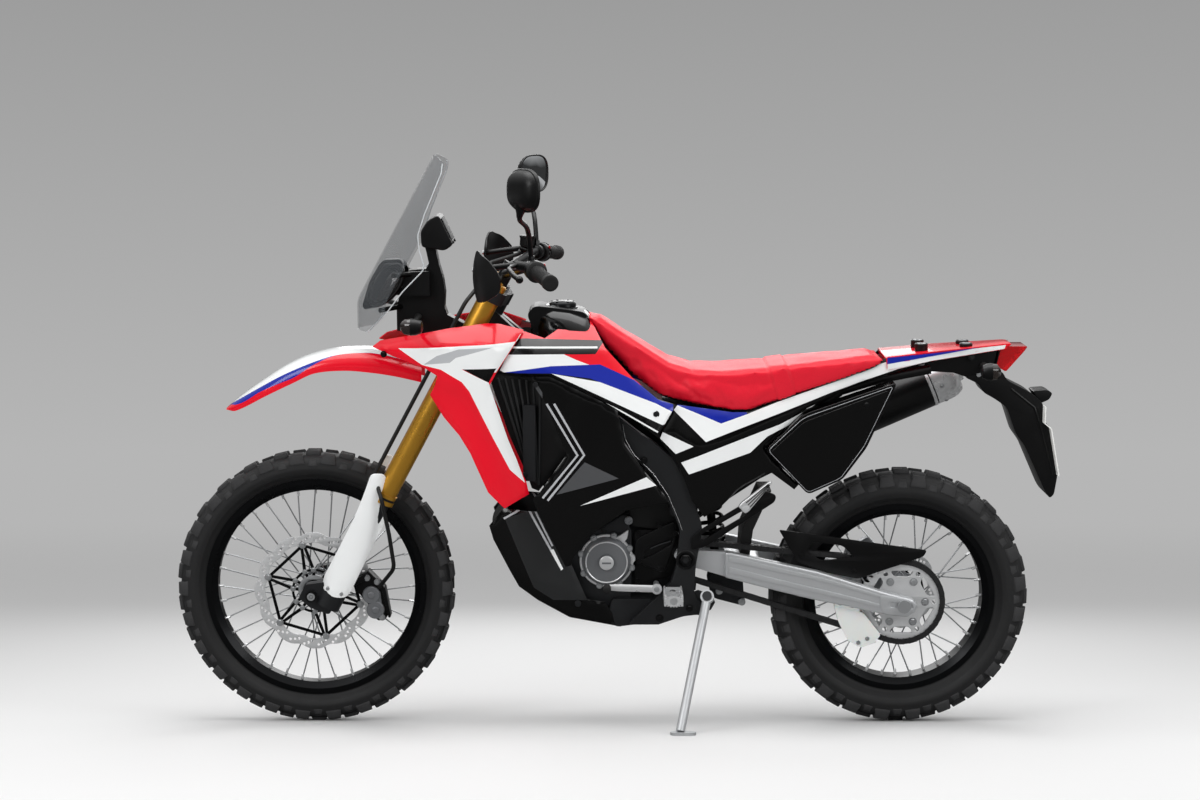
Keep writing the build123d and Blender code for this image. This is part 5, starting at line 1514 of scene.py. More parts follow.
def inflated(piece, pressure, furthest):
    """The cover of piece blown up as cloth, no point of it moved further than furthest."""
    scene = bpy.context.scene
    rest = [v.co.copy() for v in piece.data.vertices]
    cloth = piece.modifiers.new("cover", "CLOTH")
    cloth.settings.use_pressure = True
    cloth.settings.uniform_pressure_force = pressure
    cloth.settings.effector_weights.gravity = 0.0
    cloth.settings.quality = 3
    cloth.point_cache.frame_start, cloth.point_cache.frame_end = 1, 20
    for number in range(1, 21):
        scene.frame_set(number)
    made = bpy.data.meshes.new_from_object(piece.evaluated_get(bpy.context.evaluated_depsgraph_get()))
    piece.modifiers.clear()
    for v, start in zip(made.vertices, rest):
        move = v.co - start
        if move.length > furthest:
            v.co = start + move * (furthest / move.length)
    return made


class MOTORCYCLE_OT_seat(bpy.types.Operator):
    """A one-piece vinyl seat: its cover blown up as cloth, with a band sewn across and a dark base edge."""

    bl_idname = "motorcycle.seat"
    bl_label = "Seat"

    def execute(self, context):
        mesh = bpy.data.meshes.new("seat_vinyl")
        bm = bmesh.new()
        bm.from_mesh(frame["nodes"]["seat"].data)
        bmesh.ops.remove_doubles(bm, verts=bm.verts, dist=1e-6)
        bm.to_mesh(mesh)
        bm.free()
        seat = bpy.data.objects.new("seat_vinyl", mesh)
        bpy.context.scene.collection.objects.link(seat)
        seat.modifiers.new("remesh", "REMESH").voxel_size = 0.0065
        relax = seat.modifiers.new("relax", "SMOOTH")
        relax.factor, relax.iterations = 0.5, 10
        made = bpy.data.meshes.new_from_object(seat.evaluated_get(bpy.context.evaluated_depsgraph_get()))
        seat.modifiers.clear()
        seat.data = made
        for v in made.vertices:
            v.co -= v.normal * 0.003
        seat.data = inflated(seat, 4.0, 0.006)
        seat.modifiers.new("fine", "SUBSURF").levels = 1
        seat.modifiers["fine"].render_levels = 1
        made = bpy.data.meshes.new_from_object(seat.evaluated_get(bpy.context.evaluated_depsgraph_get()))
        seat.modifiers.clear()
        seat.data = made
        normals = [v.normal.copy() for v in made.vertices]
        points = [UPRIGHT @ v.co for v in made.vertices]
        lowest = {}
        for point in points:
            key = round(point.x / 12)
            lowest[key] = min(lowest.get(key, 1e9), point.z)
        for v, normal, point in zip(made.vertices, normals, points):
            band = point.x - (336 + (point.z - 905) * 0.3)
            rise = 2.6 * (smoothstep(-48, -44, band) - smoothstep(-3, 1, band))
            rise -= 1.6 * math.exp(-(((band + 50) / 3.0) ** 2)) + 1.6 * math.exp(-(((band - 3) / 3.0) ** 2))
            v.co += normal * rise * 0.001
        made.materials.clear()
        for name in ("seat_vinyl_red_embossed", "seat_vinyl_black_embossed"):
            made.materials.append(MATERIALS[name])
        for face in made.polygons:
            face.use_smooth = True
            point = UPRIGHT @ face.center
            low = lowest.get(round(point.x / 12), 1e9)
            face.material_index = 1 if point.z < low + 9 else 0
        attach(seat, "chassis")
        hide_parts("seat")
        return {"FINISHED"}


class MOTORCYCLE_OT_engine(bpy.types.Operator):
    """Cast crankcase, cylinder with its head, the round covers and their bolts."""

    bl_idname = "motorcycle.engine"
    bl_label = "Engine"

    def execute(self, context):
        case = [
            (568, 340), (600, 305), (690, 283), (800, 300), (852, 350), (856, 460), (812, 520), (640, 535),
            (575, 500),
        ]
        left = [(668, 300), (800, 306), (846, 352), (850, 455), (800, 510), (668, 520)]
        barrel = [(655, 515), (806, 500), (826, 605), (680, 622)]
        head = [(678, 622), (828, 604), (842, 690), (838, 740), (700, 752), (672, 700)]
        lid = [(702, 752), (836, 740), (834, 785), (812, 790), (702, 802)]
        shape = Shape("aluminium_cast_dark", "aluminium_cast_grey", "rubber_moulded_black")
        shape.plate(case, -104, 60, 4, soft=16, segments=3)
        shape.plate(left, 50, 103, 6, soft=20, segments=3)
        shape.plate(barrel, -66, 66, 3, soft=10)
        shape.plate(head, -75, 75, 5, soft=10)
        shape.plate(lid, -64, 64, 6, number=1, soft=12)
        for i in range(7):
            z = 532 + i * 12
            shift = (z - 515) * 0.2
            shape.plate(
                [(650 + shift, z), (812 + shift, z - 1), (812 + shift, z + 2), (650 + shift, z + 3)], -72, 72,
                1, soft=1,
            )
        for x, z in ((600, 325), (640, 695)):
            shape.take(bar((x, -111.5, z), (x, 111.5, z), 13))
        shape.take(bar((800, -129, 330), (800, 129, 330), 8))
        ring = [
            (678, 312), (738, 305), (796, 314), (836, 356), (842, 410), (838, 452), (796, 500), (736, 508),
            (680, 508),
        ]
        shape.scatter(bolt(5, 4), along_y(ring, 102.5), 2)
        lid_ring = [
            ((x, s * 62, z), facing((0, s, 0)), 0.8) for x, z in ((716, 775), (820, 768)) for s in (1, -1)
        ]
        shape.scatter(bolt(5, 4), lid_ring, 2)
        shape.take(bar((640, -60, 560), (676, -60, 560), 22))
        shape.plate(
            [(590, 296), (640, 276), (706, 268), (730, 290), (716, 340), (600, 340)], -118, 118, 4, soft=8
        )
        shape.plate(
            [(548, 498), (556, 545), (586, 602), (630, 655), (664, 668), (690, 640), (668, 515)], -84, 84, 6,
            number=2, soft=10, segments=3,
        )
        shape.take(bar((600, 60, 590), (668, 60, 600), 15, 3), 2)
        shape.done("engine_cast", "chassis", "engine")

        shape = Shape(
            "aluminium_cast_grey", "steel_zinc_plated", "black_steel_powder_coated",
            "aluminium_machined_bright_and_painted_highlight", "aluminium_cast_dark",
        )
        centre = (730, 434)
        profile = [
            (103.5, 2), (103.5, 66), (109, 66), (112, 65), (113, 60), (118, 58.5), (124, 57), (127, 55),
            (130, 53), (131, 51.5), (131, 49.5), (129.5, 48.5), (129.5, 20), (131, 19.5), (136, 19),
            (138, 17.5), (138, 9), (137, 8), (137, 2),
        ]
        shape.take(lathe(profile, centre, 72, closed=False))
        shape.take(
            lathe([(129.8, 52.6), (131.2, 51.6), (131.6, 50.2), (130.6, 48.8), (129, 50)], centre, 72), 3
        )
        shape.take(lathe([(104, 62), (111, 66.3), (113.5, 65), (114, 61)], centre, 72), 3)
        shape.take(
            lathe(
                [(137.2, 2), (137.2, 18), (138.6, 17.4), (139.4, 16), (139.4, 2)], centre, 48, closed=False
            ),
            3,
        )
        ears = [polar(centre, 64, (i + 0.35) / 8) for i in range(8)]
        for x, z in ears:
            shape.take(bar((x, 103.5, z), (x, 116, z), 8.5, 2, 20))
        shape.scatter(bolt(5.2, 5), along_y(ears, 115.5), 1)
        shape.plate([(741, 436), (719, 436), (719, 432), (741, 432)], 139, 141, 0.6)
        wedge = [(712, 488), (676, 512), (680, 490), (690, 478), (700, 492)]
        shape.plate(wedge, 103.5, 116, 2, number=3, soft=4)
        shape.take(
            turned([(0, 13), (10, 13), (12, 11.5), (12, 7), (10, 6)], (672, 103.5, 439), (672, 120, 439), 28),
            3,
        )
        shape.take(
            turned([(0, 10), (8, 10), (9.5, 8.5), (9.5, 5), (8, 4)], (676, 103.5, 534), (676, 120, 534), 24)
        )
        shape.plate([(676, 500), (745, 512), (690, 548), (672, 542)], 101, 107, 2, number=4, soft=8)
        right = [
            (-104.5, 2), (-104.5, 78), (-126, 77), (-136, 72), (-142, 62), (-144, 44), (-148, 42), (-148, 2)
        ]
        shape.take(lathe(right, (700, 420), 72, closed=False))
        rim = [((x, -128, z), facing((0, -1, 0)), 1.0) for x, z in circle(700, 420, 72, 9)]
        shape.scatter(bolt(5.5, 8), rim, 2)
        cover = softened(
            [(648, 492), (562, 532), (558, 486), (588, 400), (648, 424), (662, 440), (660, 480)], 10
        )
        recess = softened([(640, 436), (634, 462), (566, 492), (570, 474), (616, 446)], 6)
        shape.take(cut_sheet([cover, recess[::-1]], 96, 104, 2), 2)
        shape.plate(cover, 90, 98, 1, number=2)
        shape.take(swept([(572, 101, 481), (600, 101, 472), (622, 101, 462)], 2.2, 8), 4)
        shape.plate([(545, 396), (660, 368), (662, 508), (552, 504)], 84, 91, 2, number=2, soft=14)
        shape.scatter(bolt(5, 4), along_y([(600, 520), (650, 430), (594, 410), (562, 500)], 103.5), 2)
        shape.scatter(bolt(5, 4), along_y([(556, 408), (652, 378), (652, 500)], 90.5), 2)
        shape.done("engine_covers_cast", "chassis", "engine_covers")
        return {"FINISHED"}


class MOTORCYCLE_OT_exhaust(bpy.types.Operator):
    """Enamelled muffler with its bright end cap, heat shield and hanger, and the bent pipe to it."""

    bl_idname = "motorcycle.exhaust"
    bl_label = "Exhaust"

    def execute(self, context):
        start, end = Vector((300, -168, 659)), Vector((-150, -170, 856))
        along = (end - start).normalized()
        total = (end - start).length
        shape = Shape(
            "muffler_black_enamel", "aluminium_machined_bright_and_painted_highlight", "steel_zinc_plated", "black_pp_satin_moulded"
        )
        body = [
            (0, 24), (6, 27), (40, 38), (110, 55), (122, 56), (total - 64, 56), (total - 60, 55.5),
            (total - 58, 40),
        ]
        shape.take(turned(body, start, end, 48))
        cap = [
            (total - 59, 40), (total - 59, 56), (total - 20, 55.8), (total - 6, 53), (total + 8, 46),
            (total + 10, 42), (total + 2, 40), (total + 2, 24), (total + 21, 23), (total + 21, 20),
            (total - 30, 19),
        ]
        shape.take(turned(cap, start, end, 48), 1)
        for at in (118, total - 66):
            shape.take(
                turned(
                    [(at - 4, 40), (at - 4, 56), (at - 3, 57), (at + 3, 57), (at + 4, 56), (at + 4, 40)],
                    start, end, 48,
                ),
                1,
            )
        bolts = []
        side = along.cross(Vector((0, 1, 0))).normalized()
        for i in range(6):
            a = 2 * math.pi * i / 6 + 0.4
            out = side * math.cos(a) + side.cross(along).normalized() * math.sin(a)
            bolts.append((start + along * (total - 40) + out * 55.4, facing(out), 0.8))
        shape.scatter(bolt(5, 3.5, False), bolts, 2)
        # The heat shield wraps the outer side of the can and is drawn in at its hems.
        outer = Vector((0, -1, 0))
        shield = []
        for i in range(13):
            middle = start + along * mix(130, total - 80, i / 12)
            row = []
            for k in range(15):
                a = math.radians(mix(-75, 75, k / 14))
                out = outer * math.cos(a) + outer.cross(along).normalized() * math.sin(a)
                row.append(middle + out * (59.5 - 1.5 * max(0, abs(k - 7) - 5)))
            shield.append(row)
        shape.take(thickened(facing_out(grid_skin(shield), outer), 2.0), 3)
        shape.take(bar((60, -74, 800), (60, -160, 800), 8), 3)
        shape.done("muffler_capped", "chassis", "muffler")
        shape = Shape("steel_exhaust_heat_stained", "steel_zinc_plated")
        points = [
            (806, -30, 690), (878, -46, 672), (850, -134, 562), (715, -148, 521), (560, -172, 526),
            (420, -170, 607), (300, -168, 659),
        ]
        path = filleted(points, [34, 44, 60, 80, 80], 0.15)
        shape.take(swept(path, 19, 24))
        flange = turned([(38, 20), (38, 27), (44, 27), (44, 20)], points[0], points[1], 24)
        shape.take(flange, 1)
        # Two clamps on the last straight run.
        bend, end = Vector(points[5]), Vector(points[6])
        band = [(-8, 19), (-8, 22), (8, 22), (8, 19)]
        for t in (0.45, 0.96):
            p = bend.lerp(end, t)
            shape.take(turned(band, p, p + (end - bend).normalized(), 24), 1)
        shape.done("exhaust_pipe_bent", "chassis", "exhaust_pipe")
        return {"FINISHED"}


class MOTORCYCLE_OT_rear_frame(bpy.types.Operator):
    """Swingarm with pressed ridges, chain guard and guide, shock with its coil, and the frame plates."""

    bl_idname = "motorcycle.rear_frame"
    bl_label = "Swingarm, shock and frame plates"

    def execute(self, context):
        arm = [
            (562, 446), (556, 462), (487, 459), (421, 455), (337, 436), (211, 408), (47, 356), (-23, 338),
            (-36, 323), (-28, 305), (-9, 293), (37, 298), (131, 319), (225, 338), (318, 361), (431, 391),
            (501, 412), (545, 424),
        ]
        top = [(487, 459), (421, 455), (337, 436), (211, 408), (47, 356)]
        low = [(37, 298), (131, 319), (225, 338), (318, 361), (431, 391), (501, 412)]
        shape = Shape("aluminium_brushed", "steel_zinc_plated")
        rear = [(440, 457)] + [p for p in arm if p[0] < 440] + [(440, 394)]
        shape.plate(rear, 94.2, 121, 6, both=True, segments=3)
        shape.plate(
            [(565, 445), (556, 462), (480, 459), (430, 456), (430, 391), (500, 412), (548, 425)], 88.5, 111.4,
            3, both=True,
        )
        for share, wide in ((0.24, 13), (0.66, 15)):
            xs = [mix(430, 60, i / 12) for i in range(13)]
            ring = stripe([(x, mix(curve_at(top, x), curve_at(low, x), share)) for x in xs], wide, 0.6)
            shape.plate(ring, 119, 123.7, 1.6, both=True)
        slot = softened([(34, 333), (-22, 328), (-22, 316), (34, 319)], 6)
        shape.take(
            cut_sheet(
                [softened([(60, 350), (-20, 336), (-33, 322), (-8, 297), (52, 304)], 10), slot[::-1]], 120.5,
                123.7, 1,
            ),
            both=True,
        )
        shape.take(bar((-33, 108, 322), (10, 108, 324), 5), 1, both=True)
        shape.plate([(345, 388), (432, 398), (440, 440), (350, 434)], -94.5, 94.5, 2, soft=12)
        shape.take(bar((537, 88.5, 443), (537, 111.5, 443), 21), both=True)
        shape.done("swingarm_brushed", "chassis", "swingarm")

        guard = [
            (307, 508), (250, 500), (-59, 456), (-50, 440), (-8, 425), (110, 384), (200, 402), (260, 428)
        ]
        window = softened([(225, 478), (150, 468), (120, 440), (200, 430), (238, 452)], 10)
        shape = Shape("black_pp_satin_moulded")
        shape.take(cut_sheet([softened(guard, 7), window[::-1]], 89.8, 93.8, 0.8))
        shape.scatter(bolt(5, 3, False), along_y([(250, 444), (120, 405)], 93.2))
        shape.done("chain_guard_moulded", "chassis", "chain_guard")
        guide = softened([(168, 318), (95, 298), (50, 241), (66, 223), (99, 208), (132, 227), (156, 274)], 8)
        shape = Shape("nylon_milky_moulded", "steel_zinc_plated")
        shape.plate(guide, 89.3, 93.8, 1)
        shape.plate(guide, 64.2, 67.7, 1)
        shape.plate([(60, 222), (99, 209), (130, 228), (126, 236), (98, 222), (66, 232)], 66, 91, 1, soft=3)
        shape.plate([(104, 300), (168, 316), (168, 333), (106, 333)], 89.3, 93.8, 1, soft=4)
        shape.scatter(bolt(4, 3.4), along_y([(152, 322), (122, 316), (84, 232), (106, 222)], 93.2), 1)
        shape.done("chain_guide_moulded", "chassis", "chain_guide")

        shape = Shape("aluminium_cast_dark", "black_steel_powder_coated", "steel_zinc_plated")
        foot, head = Vector((461, 0, 455)), Vector((484, 0, 668))
        axis = (head - foot).normalized()
        side = Vector((0, 1, 0))
        other = axis.cross(side)
        reach, turns, steps = (head - foot).length, 7.5, 20
        coil = []
        for i in range(int(turns * steps) + 1):
            a = 2 * math.pi * i / steps
            around = (side * math.cos(a) + other * math.sin(a)) * 25.5
            coil.append(foot + axis * mix(6, reach - 6, i / (turns * steps)) + around)
        shape.take(swept(coil, 5.2, 8), 1)
        shape.take(bar((450, 0, 342), (486, 0, 690), 11), 1)
        shape.take(bar(foot - axis * 4, foot + axis * 5, 31))
        shape.take(bar(head - axis * 12, head, 31))
        shape.take(bar((472, 0, 560), (484, 0, 668), 18))
        shape.take(bar((486, -24, 692), (486, 24, 692), 15))
        link = softened([(385, 300), (468, 322), (480, 372), (450, 402), (392, 400)], 16)
        shape.plate(link, 24, 34, 2, both=True)
        shape.take(bar((392, -40, 312), (392, 40, 312), 9), 2)
        shape.take(bar((449, -40, 340), (449, 40, 340), 9), 2)
        shape.done("rear_shock_coiled", "chassis", "rear_shock")

        spar = [
            (697, 785), (690, 741), (669, 702), (621, 654), (586, 602), (560, 541), (551, 515), (560, 428),
            (573, 384), (677, 280), (603, 280), (542, 301), (501, 306), (499, 332), (516, 358), (512, 428),
            (497, 515), (499, 532), (521, 602), (542, 645), (568, 693), (621, 737),
        ]
        shape = Shape(
            "grey_aluminium_painted_satin", "aluminium_machined_bright_and_painted_highlight", "black_steel_powder_coated"
        )
        shape.take(prism(softened(spar, 9, 3), 134, 141, 2.6, segments=3), both=True)
        # A thin bright line along each plate's front edge: a painted highlight.
        edge = [
            (x - 3, 139.6, z)
            for x, z in ((694, 778), (688, 742), (667, 704), (619, 656), (584, 604), (558, 543), (549, 517))
        ]
        shape.take(swept(filleted(edge, 20), 1.6, 6), 1, both=True)
        shape.take(
            turned(
                [(0, 24), (2.5, 24), (3.5, 22.5), (3.5, 18), (1, 17)], (537, 140, 443), (537, 148, 443), 36
            ),
            2, both=True,
        )
        shape.take(
            turned([(0, 14), (6, 14), (8, 12), (8, 8.5), (5, 8)], (537, 140, 443), (537, 148, 443), 6), 2,
            both=True,
        )
        shape.scatter(bolt(7, 6), along_y([(600, 297), (640, 690), (527, 322)], 140.5), 2, both=True)
        shape.done("frame_plates_painted", "chassis", finish_slot="frame")
        return {"FINISHED"}


class MOTORCYCLE_OT_foot_parts(bpy.types.Operator):
    """Serrated pegs, folded passenger pegs, gear lever and brake pedal."""

    bl_idname = "motorcycle.foot_parts"
    bl_label = "Pegs and pedals"

    def execute(self, context):
        shape = Shape("aluminium_machined_bright_and_painted_highlight", "rubber_moulded_black", "black_steel_powder_coated")
        outer = softened([(546, 348), (592, 348), (592, 378), (546, 378)], 5)
        crown = []
        for i in range(32):
            r = (14.5 if i % 2 else 18.5) * (1 + 0.3 * abs(math.cos(2 * math.pi * i / 32)))
            crown.append(
                (569 + r * math.cos(2 * math.pi * i / 32), 364.5 + 0.8 * r * math.sin(2 * math.pi * i / 32))
            )
        shape.take(cut_sheet([crown, circle(569, 364, 9, 24)[::-1]], 244, 249.6, 0.8), both=True)
        shape.plate(outer, 152, 158, 1.5, both=True)
        for x in (549, 589):
            shape.plate([(x - 3, 352), (x + 3, 352), (x + 3, 378), (x - 3, 378)], 155, 247, 1, both=True)
        teeth = [((x, y, 377), Euler((0, 0, 0)), 1.0) for x in (549, 589) for y in range(160, 245, 9)]
        tooth = prism([(-3, 0), (3, 0), (1, 5), (-1, 5)], -3.2, 3.2)
        shape.scatter(tooth, teeth, 0, both=True)
        for y in (178, 200, 222):
            shape.plate([(552, 350), (586, 350), (586, 372), (552, 372)], y - 3, y + 3, 1, both=True)
        shape.take(bar((569, 140.3, 364), (569, 158, 364), 10), 2, both=True)
        bracket = softened(
            [(524, 468), (524, 500), (500, 520), (345, 616), (318, 604), (322, 588), (490, 476)], 8
        )
        hole = softened([(500, 490), (505, 504), (400, 566), (388, 558)], 6)
        for sign, plate in ((1, 140), (-1, 198)):
            part = cut_sheet([bracket, hole[::-1]], plate + 0.3, plate + 8, 1.2)
            root, tip = Vector((402, plate + 17, 570)), Vector((332, plate + 20, 640))
            side, long = Vector((0.707, 0, 0.707)), (tip - root).normalized()
            slab = [
                root + side * 13, root + long * 12 + side * 15, tip + side * 4, tip - side * 3,
                root + long * 12 - side * 13, root - side * 11,
            ]
            peg = prism([(p.x, p.z) for p in slab], plate + 9, plate + 25, 4, segments=3)
            eye = bar((392, plate + 4, 572), (394, plate + 26, 574), 9)
            grooves = [
                prism(stripe([(a.x, a.z), (b.x, b.z)], 2.4), plate + 24, plate + 25.8, 0.4)
                for a, b in (
                    (root + long * 20 + side * k, tip - long * 8 + side * k * 0.3) for k in (-7, 0, 7)
                )
            ]
            for piece, number in [(part, 2), (peg, 0), (eye, 0)] + [(g, 1) for g in grooves]:
                if sign < 0:
                    bmesh.ops.transform(piece, matrix=Matrix.Scale(-1, 4, (0, 1, 0)), verts=piece.verts)
                    bmesh.ops.reverse_faces(piece, faces=piece.faces)
                shape.take(piece, number)
            if sign < 0:
                shape.take(bar((509, -140.3, 490), (509, -199, 490), 9), 2)
        shape.done("footpegs_serrated", "chassis", "footpegs")

        shape = Shape("aluminium_machined_bright_and_painted_highlight", "rubber_moulded_black", "steel_zinc_plated")
        shape.take(bar((608, 104.5, 376), (608, 172, 376), 7), 2)
        arm = filleted([(608, 165, 376), (650, 168, 378), (700, 170, 380), (729, 170, 381)], 30)
        shape.take(swept(arm, [9] * (len(arm) - 1) + [7], 10, 0.55))
        shape.take(bar((608, 159, 376), (608, 171, 376), 13, 2))
        shape.take(bar((729, 168, 381), (729, 204, 381), 9, 3), 1)
        rings = [((729, y, 381), facing((0, 1, 0)), 1.0) for y in range(174, 202, 5)]
        shape.scatter(
            turned([(0, 8.8), (0.6, 9.8), (2, 9.8), (2.6, 8.8)], (0, 0, 0), (0, 0, 1), 16), rings, 1
        )
        shape.take(bar((590, -166, 332), (590, -140.5, 332), 9), 2)
        pedal = filleted([(590, -163, 332), (660, -163, 326), (742, -163, 368)], 40)
        shape.take(swept(pedal, 9, 10, 0.5))
        shape.plate([(728, 364), (756, 364), (756, 372), (728, 372)], -204, -160, 2)
        shape.done("foot_controls_forged", "chassis", "foot_controls")
        return {"FINISHED"}


def oval_rings(stations, count=32, power=2.4):
    """Superellipse rings; each station is (x, side centre, height centre, half width, half height)."""
    turns = [(math.cos(2 * math.pi * i / count), math.sin(2 * math.pi * i / count)) for i in range(count)]
    return [
        [
            Vector(
                (
                    at,
                    side + wide * math.copysign(abs(c) ** (2 / power), c),
                    up + high * math.copysign(abs(s) ** (2 / power), s),
                )
            )
            for c, s in turns
        ]
        for at, side, up, wide, high in stations
    ]


class MOTORCYCLE_OT_tank(bpy.types.Operator):
    """Rounded tank top with its cap, the tail cover and the side box."""

    bl_idname = "motorcycle.tank"
    bl_label = "Tank, tail and side box"

    def execute(self, context):
        stations = [
            (666, 856, 40, 30), (700, 862, 92, 62), (740, 900, 96, 92), (780, 934, 98, 104),
            (820, 944, 98, 106), (860, 952, 92, 104), (890, 960, 72, 92), (905, 972, 56, 66),
            (914, 985, 44, 40),
        ]
        shape = Shape("black_abs_gloss_moulded", "black_aluminium_anodised", "black_pp_satin_moulded")
        shape.take(skinned(oval_rings([(x, 0, z, w, h) for x, z, w, h in stations], 40, 3.0)))
        nose = [(787, 1042), (774, 1030), (872, 990), (905, 990), (924, 1036), (905, 1056), (860, 1052)]
        shape.plate(nose, -62, 62, 10, number=2, soft=12, segments=3)
        shape.take(
            turned(
                [(0, 38), (3, 38), (4, 34), (12, 33), (15, 31), (17.5, 26), (17.5, 8), (18, 7)],
                (838, 0, 1044), (838.4, 0, 1062), 40,
            ),
            1,
        )
        rim = [((x, y, 1061.4), Euler((0, 0, 0)), 0.5) for x, y in circle(838, 0, 27, 6)]
        shape.scatter(bolt(5, 3, False), rim, 1)
        shape.done("fuel_tank_moulded", "chassis", "fuel_tank")

        tail = [(52, 934), (-60, 946), (-250, 962), (-262, 961), (-246, 948), (-24, 918), (48, 902)]
        bm = prism(softened(tail, 4), -92, 92, 0)
        half_width = [(52, 92), (-100, 74), (-263, 42)]
        for v in bm.verts:
            v.co.y = math.copysign(curve_at(half_width, v.co.x) - 4, v.co.y)
        bm = rounded(bm, 3, 2, 40)
        bosses = [(-40, 36), (-40, -36), (-150, 30), (-150, -30)]
        shape = Shape(
            "red_abs_gloss_moulded", "black_pp_satin_moulded", "blue_abs_gloss_moulded",
            "white_abs_gloss_moulded",
        )
        shape.take(bm)
        bands = (
            (3, 0.0, [(49, 926), (-60, 940), (-178, 952.5), (-246, 958), (-242, 949), (-60, 924), (48, 903)]),
            (2, 0.5, [(49, 932.5), (-60, 942), (-178, 953.5), (-60, 935), (49, 917)]),
        )
        for number, out, band in bands:
            strip = prism(band, -1.5, 1.5, 0)
            bmesh.ops.subdivide_edges(strip, edges=list(strip.edges), cuts=3, use_grid_fill=True)
            for v in strip.verts:
                v.co.y = curve_at(half_width, v.co.x) - 3.9 + out + v.co.y * 0.5
            shape.take(strip, number, both=True)
        for x, y in bosses:
            shape.take(
                turned([(0, 16), (20, 16), (22, 14), (22, 11.4), (0, 11.4)], (x, y, 940), (x, y, 962), 24), 1
            )
        shape.done("tail_cover_moulded", "chassis", "tail_cover")

        box = [(345, 715), (262, 796), (244, 806), (30, 880), (101, 720), (158, 642), (241, 605)]
        shape = Shape("black_abs_gloss_moulded", "silver_film_stripe_and_painted_highlight", "black_steel_powder_coated")
        shape.plate(box, 80, 141, 4, soft=12, segments=3)
        lid = [(333, 712), (258, 782), (242, 790), (52, 862), (116, 728), (168, 652), (241, 617)]
        shape.plate(lid, 120, 149.5, 8, soft=9, segments=3)
        # A thin silver line round the lid's edge: a painted highlight.
        shape.take(
            swept(
                [
                    (x, 142, z)
                    for x, z in softened(
                        [(339, 714), (260, 789), (243, 798), (40, 871), (108, 724), (163, 646), (241, 611)],
                        10,
                    )
                ],
                0.7, 6, closed=True,
            ),
            1,
        )
        shape.scatter(bolt(6, 3.4, False), along_y([(104, 826)], 149.0), 2)
        shape.done("side_box_moulded", "chassis", "side_box")
        return {"FINISHED"}


